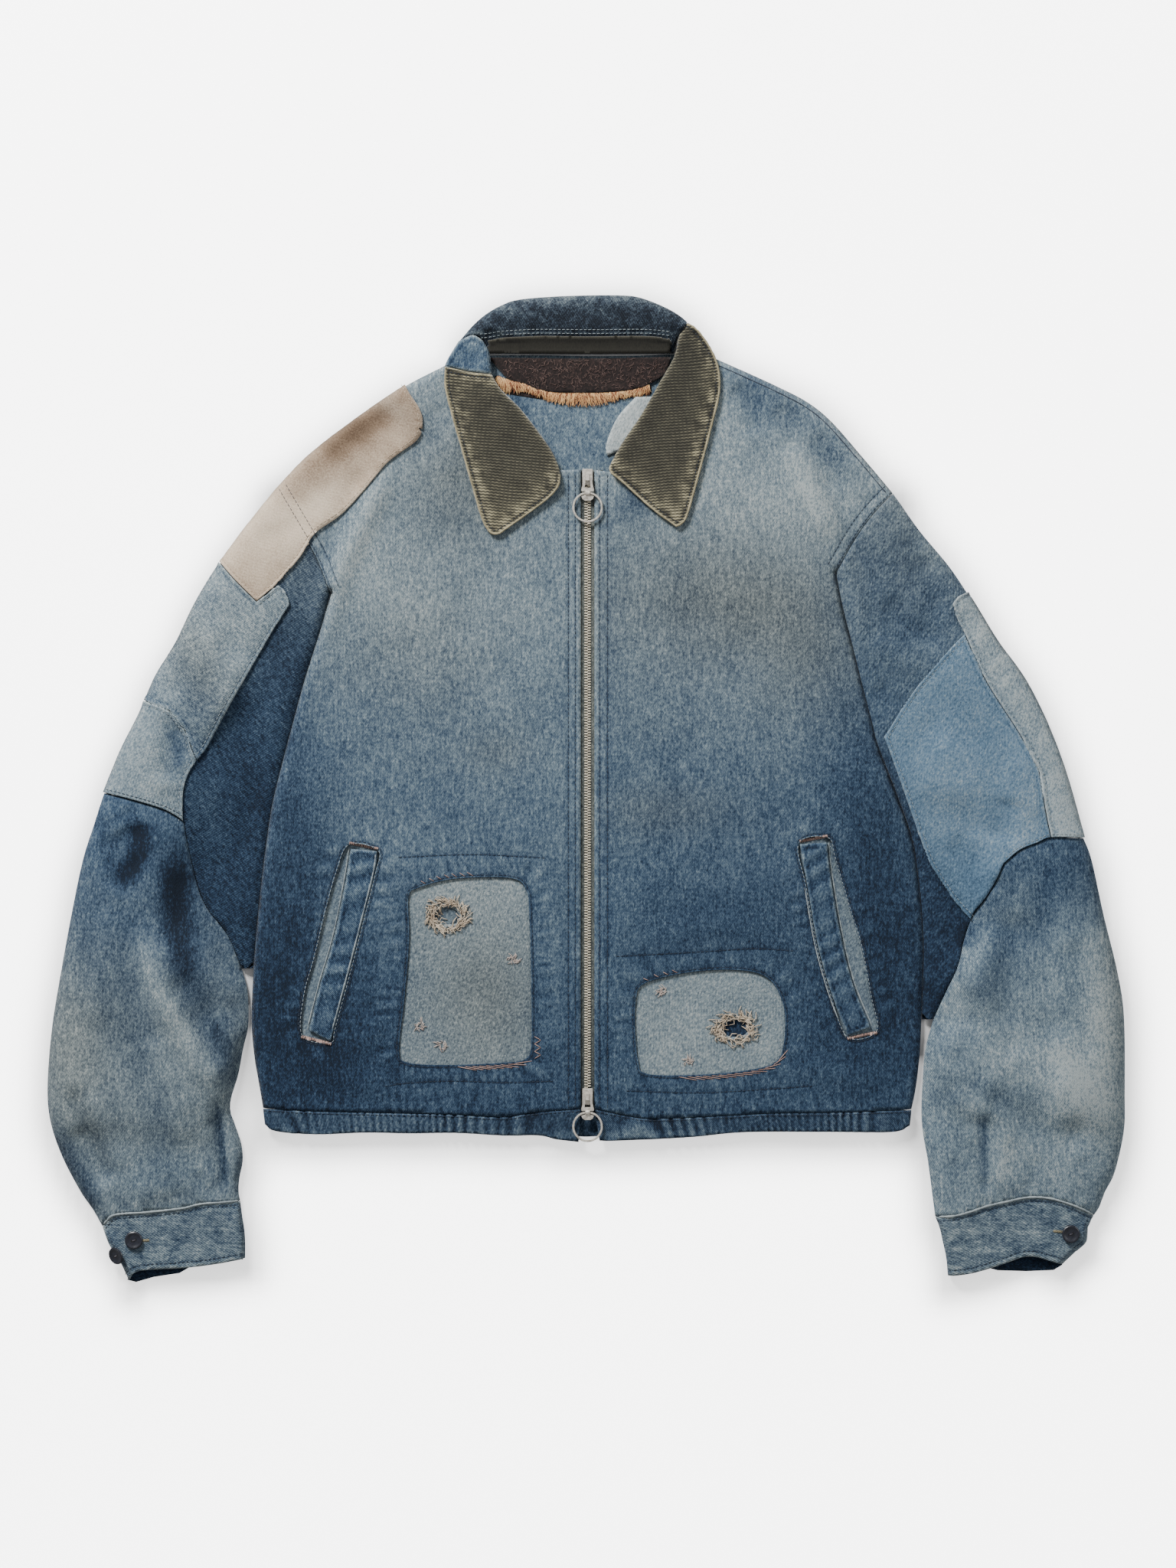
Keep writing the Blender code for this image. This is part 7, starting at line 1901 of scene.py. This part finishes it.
def add_fringe(hair_light, hair_dark, strip_finish):
    """The frayed lower end of the facing: a narrow strip under it, and many fine hairs."""
    low = smooth(FRINGE_LOW)
    top = smooth(FACING_LOW)[4:-4]
    outline = np.vstack([top, low[::-1]])
    plan, faces = fill(outline, step=2.2)
    verts = np.column_stack([plan, np.full(len(plan), 1.9)])
    obj = mesh_object("cloth_neck_fringe", verts, faces, strip_finish, 0.3, looks_at(plan, LOOK_DARK))
    declare(obj, "neck_fringe", verts, faces)
    draw = np.random.default_rng(12)
    for name, finish, count, reach in (("fringe_hairs_dark", hair_dark, 480, 10.5),
                                       ("fringe_hairs", hair_light, 620, 11.0)):
        position = draw.uniform(2, length_of(top) - 2, count)
        start = at_length(top, position) + np.stack([np.zeros(count), draw.uniform(-0.5, 1.0, count)], axis=1)
        wavy = 0.75 + 0.25 * np.sin(position / 9 + 1.2 * np.sin(position / 23))
        length = reach * wavy * draw.uniform(0.5, 1.1, count)
        lean = draw.normal(0, 0.28, count) + 0.25 * np.sin(position / 11)
        end = start + np.stack([length * np.sin(lean), -length * np.cos(lean)], axis=1)
        heights = (np.full(count, 2.9), draw.uniform(2.6, 3.2, count), draw.uniform(2.2, 2.9, count))
        hairs = threads(name, start, end, finish, "fringe_rust", width=0.26, lift=0.1, arch=0.2,
                        heights=heights,
                        bend=draw.normal(0, 0.9, count))


def add_zip(tape_finish, tooth_finish):
    """Two woven tapes, with the teeth clamped on their edges, each row half a pitch from the other."""
    for side, inner, outer in (("left", -0.6, -TAPE_OUTER), ("right", 0.6, TAPE_OUTER)):
        edges = sorted((ZIP_X + inner, ZIP_X + outer))
        outline = loop([(edges[0], ZIP_LOW_Y), (edges[0], ZIP_TOP_Y)],
                       [(edges[0], ZIP_TOP_Y), (edges[1], ZIP_TOP_Y)],
                       [(edges[1], ZIP_TOP_Y), (edges[1], ZIP_LOW_Y)],
                       [(edges[1], ZIP_LOW_Y), (edges[0], ZIP_LOW_Y)])
        plan, faces = fill(outline, step=4.0)
        verts = np.column_stack([plan, np.full(len(plan), TAPE_TOP)])
        obj = mesh_object(f"cloth_zip_tape_{side}", verts, faces, tape_finish, 0.7, looks_at(plan, LOOK_TAPE))
        declare(obj, f"zip_tape_{side}", verts, faces)
    profile = [(0.5, 0.6), (2.1, 0.6), (2.6, 0.42), (2.6, -0.42), (2.1, -0.6), (0.5, -0.6), (-0.2, -0.24),
               (-0.2, 0.24)]
    low, mid, high = 4.1, 5.1, 5.8
    shape = np.array([(x * s, y * s, z) for z, s in ((low, 0.95), (mid, 1.0), (high, 0.72)) for x,
                      y in profile])
    wide = len(profile)
    faces = [(ring * wide + i, ring * wide + (i + 1) % wide, (ring + 1) * wide + (i + 1) % wide,
              (ring + 1) * wide + i)
             for ring in range(2) for i in range(wide)] + [tuple(range(2 * wide, 3 * wide))]
    verts, all_faces = [], []
    pitch = 2.1
    for side, shift in ((-1, 0), (1, pitch / 2)):
        for y in np.arange(ZIP_LOW_Y + 17 + shift, ZIP_TOP_Y - 12, pitch):
            moved = shape * (side, 1, 1) + (ZIP_X, y, 0)
            start = len(verts) * len(shape)
            verts.append(moved)
            all_faces += [tuple(start + i for i in (face if side < 0 else face[::-1])) for face in faces]
    obj = mesh_object("zip_teeth", np.vstack(verts), all_faces, tooth_finish, sharp=40)
    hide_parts("zip_chain")


def lathe(profile, centre, count=36, tilt=None):
    """A turned shape from (radius, height) points, its ends closed."""
    angles = np.arange(count) * 2 * math.pi / count
    rings = np.array([(r * math.cos(a), r * math.sin(a), z) for r, z in profile for a in angles])
    faces = [(row * count + i, row * count + (i + 1) % count, (row + 1) * count + (i + 1) % count,
              (row + 1) * count + i)
             for row in range(len(profile) - 1) for i in range(count)]
    faces += [tuple(range(count))[::-1], tuple(range((len(profile) - 1) * count, len(profile) * count))]
    if tilt is not None:
        rings = rings @ tilt.T
    return rings + centre, faces


def turned(angles):
    """The matrix of a tilt about X and then Y."""
    a, b, _ = angles
    about_x = np.array([(1, 0, 0), (0, math.cos(a), -math.sin(a)), (0, math.sin(a), math.cos(a))])
    about_y = np.array([(math.cos(b), 0, math.sin(b)), (0, 1, 0), (-math.sin(b), 0, math.cos(b))])
    return about_y @ about_x


BUTTON_PROFILE = [
    (0.5, 0.1), (5.6, 0.0), (6.6, 0.35), (7.0, 1.0), (6.8, 1.75), (6.1, 2.2), (5.3, 2.1), (4.6, 1.65),
    (2.6, 1.45), (0.4, 1.45)]


def add_buttons(button_finish, hole_finish, thread_finish):
    """Two-hole buttons with a raised rim, a dished middle and the thread between the holes."""
    for node, angles in BUTTONS:
        low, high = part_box(node)
        middle = np.array([(a + b) / 2 for a, b in zip(low, high)]) / MM
        middle[:2] += CENTRE
        tilt = turned(angles)
        base = middle - tilt @ np.array([0, 0, 1.1])
        verts, faces = lathe(BUTTON_PROFILE, base, 40, tilt)
        obj = mesh_object("disc_" + node, verts, faces, button_finish, sharp=35)
        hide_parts(node)
        for k, side in enumerate((-1, 1)):
            place = base + tilt @ np.array([side * 1.55 * 0.94, side * 1.55 * 0.34, 1.30])
            verts, faces = lathe([(0.1, 0.1), (0.62, 0.1), (0.92, 0.22), (0.7, 0.26), (0.5, 0.17),
                                  (0.1, 0.16)],
                                 place, 16, tilt)
            hole = mesh_object(f"eyelet_{k}_{node}", verts, faces, hole_finish, sharp=35)
        ends = [base + tilt @ np.array([side * 1.5 * 0.94, side * 1.5 * 0.34 + more, 1.5]) for side in (-1, 1)
                for more in (0.2, -0.2)]
        starts, stops = np.array([ends[0], ends[1]]), np.array([ends[2], ends[3]])
        heights = (starts[:, 2] + 0.1, (starts[:, 2] + stops[:, 2]) / 2 + 0.3, stops[:, 2] + 0.1)
        threads("thread_" + node, starts[:, :2], stops[:, :2], thread_finish, "button_navy", width=0.24,
                lift=0,
                heights=heights)


def loose_sheet(name, outline, height, finish, look):
    """A small piece of cloth that shows from under another one."""
    plan, faces = fill(np.array(outline, float), step=3.0)
    verts = np.column_stack([plan, np.full(len(plan), height)])
    obj = mesh_object(name, verts, faces, finish, 1.0, looks_at(plan, look))
    flat = cut_size(plan)
    min(area_of(verts, faces), 0.999 * flat[0] * flat[1])


def add_cuff_insides(finish):
    """The inside of each cuff's lower layer, past the edge of the upper one, made dark as painted shade
    inside the cuff's open end.
    """
    loose_sheet("cuff_inside_left", [(-361, -384.2), (-354, -372), (-348, -366), (-320, -364), (-312, -374.4),
                                     (-320, -379), (-340, -382), (-354, -386)], 2.4, finish,
                                     LOOK_DARK)
    loose_sheet("cuff_inside_right", [(315, -375), (326, -364), (340, -358), (358, -360), (368, -366),
                                      (373, -372.4),
                                      (366, -376.6), (345, -377.5), (322, -376.8)], 2.4, finish,
                LOOK_DARK)


def add_buttonholes(finish):
    """The end of the buttonhole that shows beside each fastened button: a row of stitches across it."""
    rows = [across_line(np.array(line, float), 0.2, math.dist(*line), 0.7, -1.1, 1.1, seed, 0.1)
            for line, seed in (([(-351, -352.6), (-342.8, -352.2)], 11),
                               ([(371.5, -345.6), (364.5, -345.0)], 12))]
    threads("buttonholes", np.vstack([row[0] for row in rows]), np.vstack([row[1] for row in rows]), finish,
            "denim_mid", width=0.30, lift=0.15, arch=0.35)


def add_fuzz(light):
    """Stray fibres on the brushed wool."""
    draw = np.random.default_rng(15)
    points = np.stack([draw.uniform(-66, 60, 420), draw.uniform(316, 338, 420)], axis=1)
    points = points[inside(points, shrunk(loop([(-78, 339.5), (66, 340)], [(66, 340), (62, 323)],
                                               back(FACING_LOW[1:-1]),
                                               [FACING_LOW[1], (-78, 339.5)]), 1.5))]
    turn = draw.uniform(0, 2 * math.pi, len(points))
    reach = draw.uniform(1.5, 4.5, len(points))[:, None]
    threads("wool_fibres", points, points + reach * np.stack([np.cos(turn), np.sin(turn)], axis=1), light,
            "wool_brown",
            width=0.13, lift=0.1, arch=0.5, bend=draw.normal(0, 0.8, len(points)))


def add_piping(pale, cream, dark):
    """The worn pale edges: along the cuff seams, round the collar leaves and down the pockets."""
    cords("piping_cuffs", [beside(smooth(LEFT_CUFF_SEAM, 1.5), 0.4)[2:-1],
                           beside(smooth(RIGHT_CUFF_SEAM, 1.5), -0.4)[1:-2]],
          0.85, 0.15, pale)
    left_leaf = beside(path(LEFT_LEAF_OUTER, LEFT_LEAF_LOW), 0.9)
    right_leaf = beside(path(RIGHT_LEAF_OUTER, RIGHT_LEAF_LOW), -0.9)
    cords("piping_collar", [left_leaf[1:-1], right_leaf[1:-1]], 0.8, 0.0, cream)
    cords("piping_pockets", [beside(smooth(back(LEFT_WELT_EDGE), 1.6), 1.2),
                             beside(smooth(RIGHT_WELT_EDGE, 1.6), 1.2),
                             beside(smooth(LEFT_WELT_INNER[1:], 1.6), 1.6),
                             beside(smooth(RIGHT_WELT_INNER[:-1], 1.6), 1.6)],
          0.45, 0.1, pale, 0.5)
    cords("seam_hem", [smooth(LEFT_HEM_SEAM, 1.6)[3:-2], smooth(RIGHT_HEM_SEAM, 1.6)[3:-2],
                       beside(smooth(RIGHT_SHOULDER, 1.6), -4.6)[3:-2]], 0.5, -0.1, dark)


CLOTH = surface_below()
NAVY = thread("thread_navy", (58, 72, 92), (22, 30, 44))
PALE = thread("thread_pale", (190, 200, 200), (128, 142, 150))
TAN = thread("thread_tan", (240, 226, 202), (172, 148, 122))
PINK = thread("thread_pink", (222, 190, 176), (140, 102, 92))
CREAM_THREAD = thread("thread_cream", (204, 192, 154), (124, 114, 84))
add_stitches(NAVY, PALE, TAN, PINK)
add_fray(TAN, thread("thread_worn", (236, 226, 214), (186, 156, 146)))
add_fringe(thread("hair_orange", (255, 222, 160), (226, 152, 92)),
           thread("hair_rust", (176, 108, 68), (96, 58, 42)),
           wool("wool_rust"))
add_piping(PALE, CREAM_THREAD, NAVY)
add_cuff_insides(denim("denim_cuff_inside", 1.6, 1.0, 0.3))
add_buttonholes(CREAM_THREAD)
add_fuzz(thread("fibre_brown", (150, 122, 112), (84, 62, 58)))
METAL = metal("metal_aged", (222, 216, 205), (126, 118, 108), 0.34)
add_zip(denim("tape_worn", 0.0, 0.4, 0.2, 1.0, GREY),
        metal("metal_teeth", (232, 224, 204), (136, 126, 106), 0.42, 0.4))
for node in ("slider_upper", "slider_lower", "tab_upper", "tab_lower", "ring_upper", "ring_lower"):
    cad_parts[node].data.materials.clear()
    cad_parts[node].data.materials.append(METAL)
add_buttons(horn("button_navy"), thread("eyelet_dark", (24, 24, 32), (10, 10, 14)),
            thread("thread_button", (120, 116, 124), (60, 58, 70)))
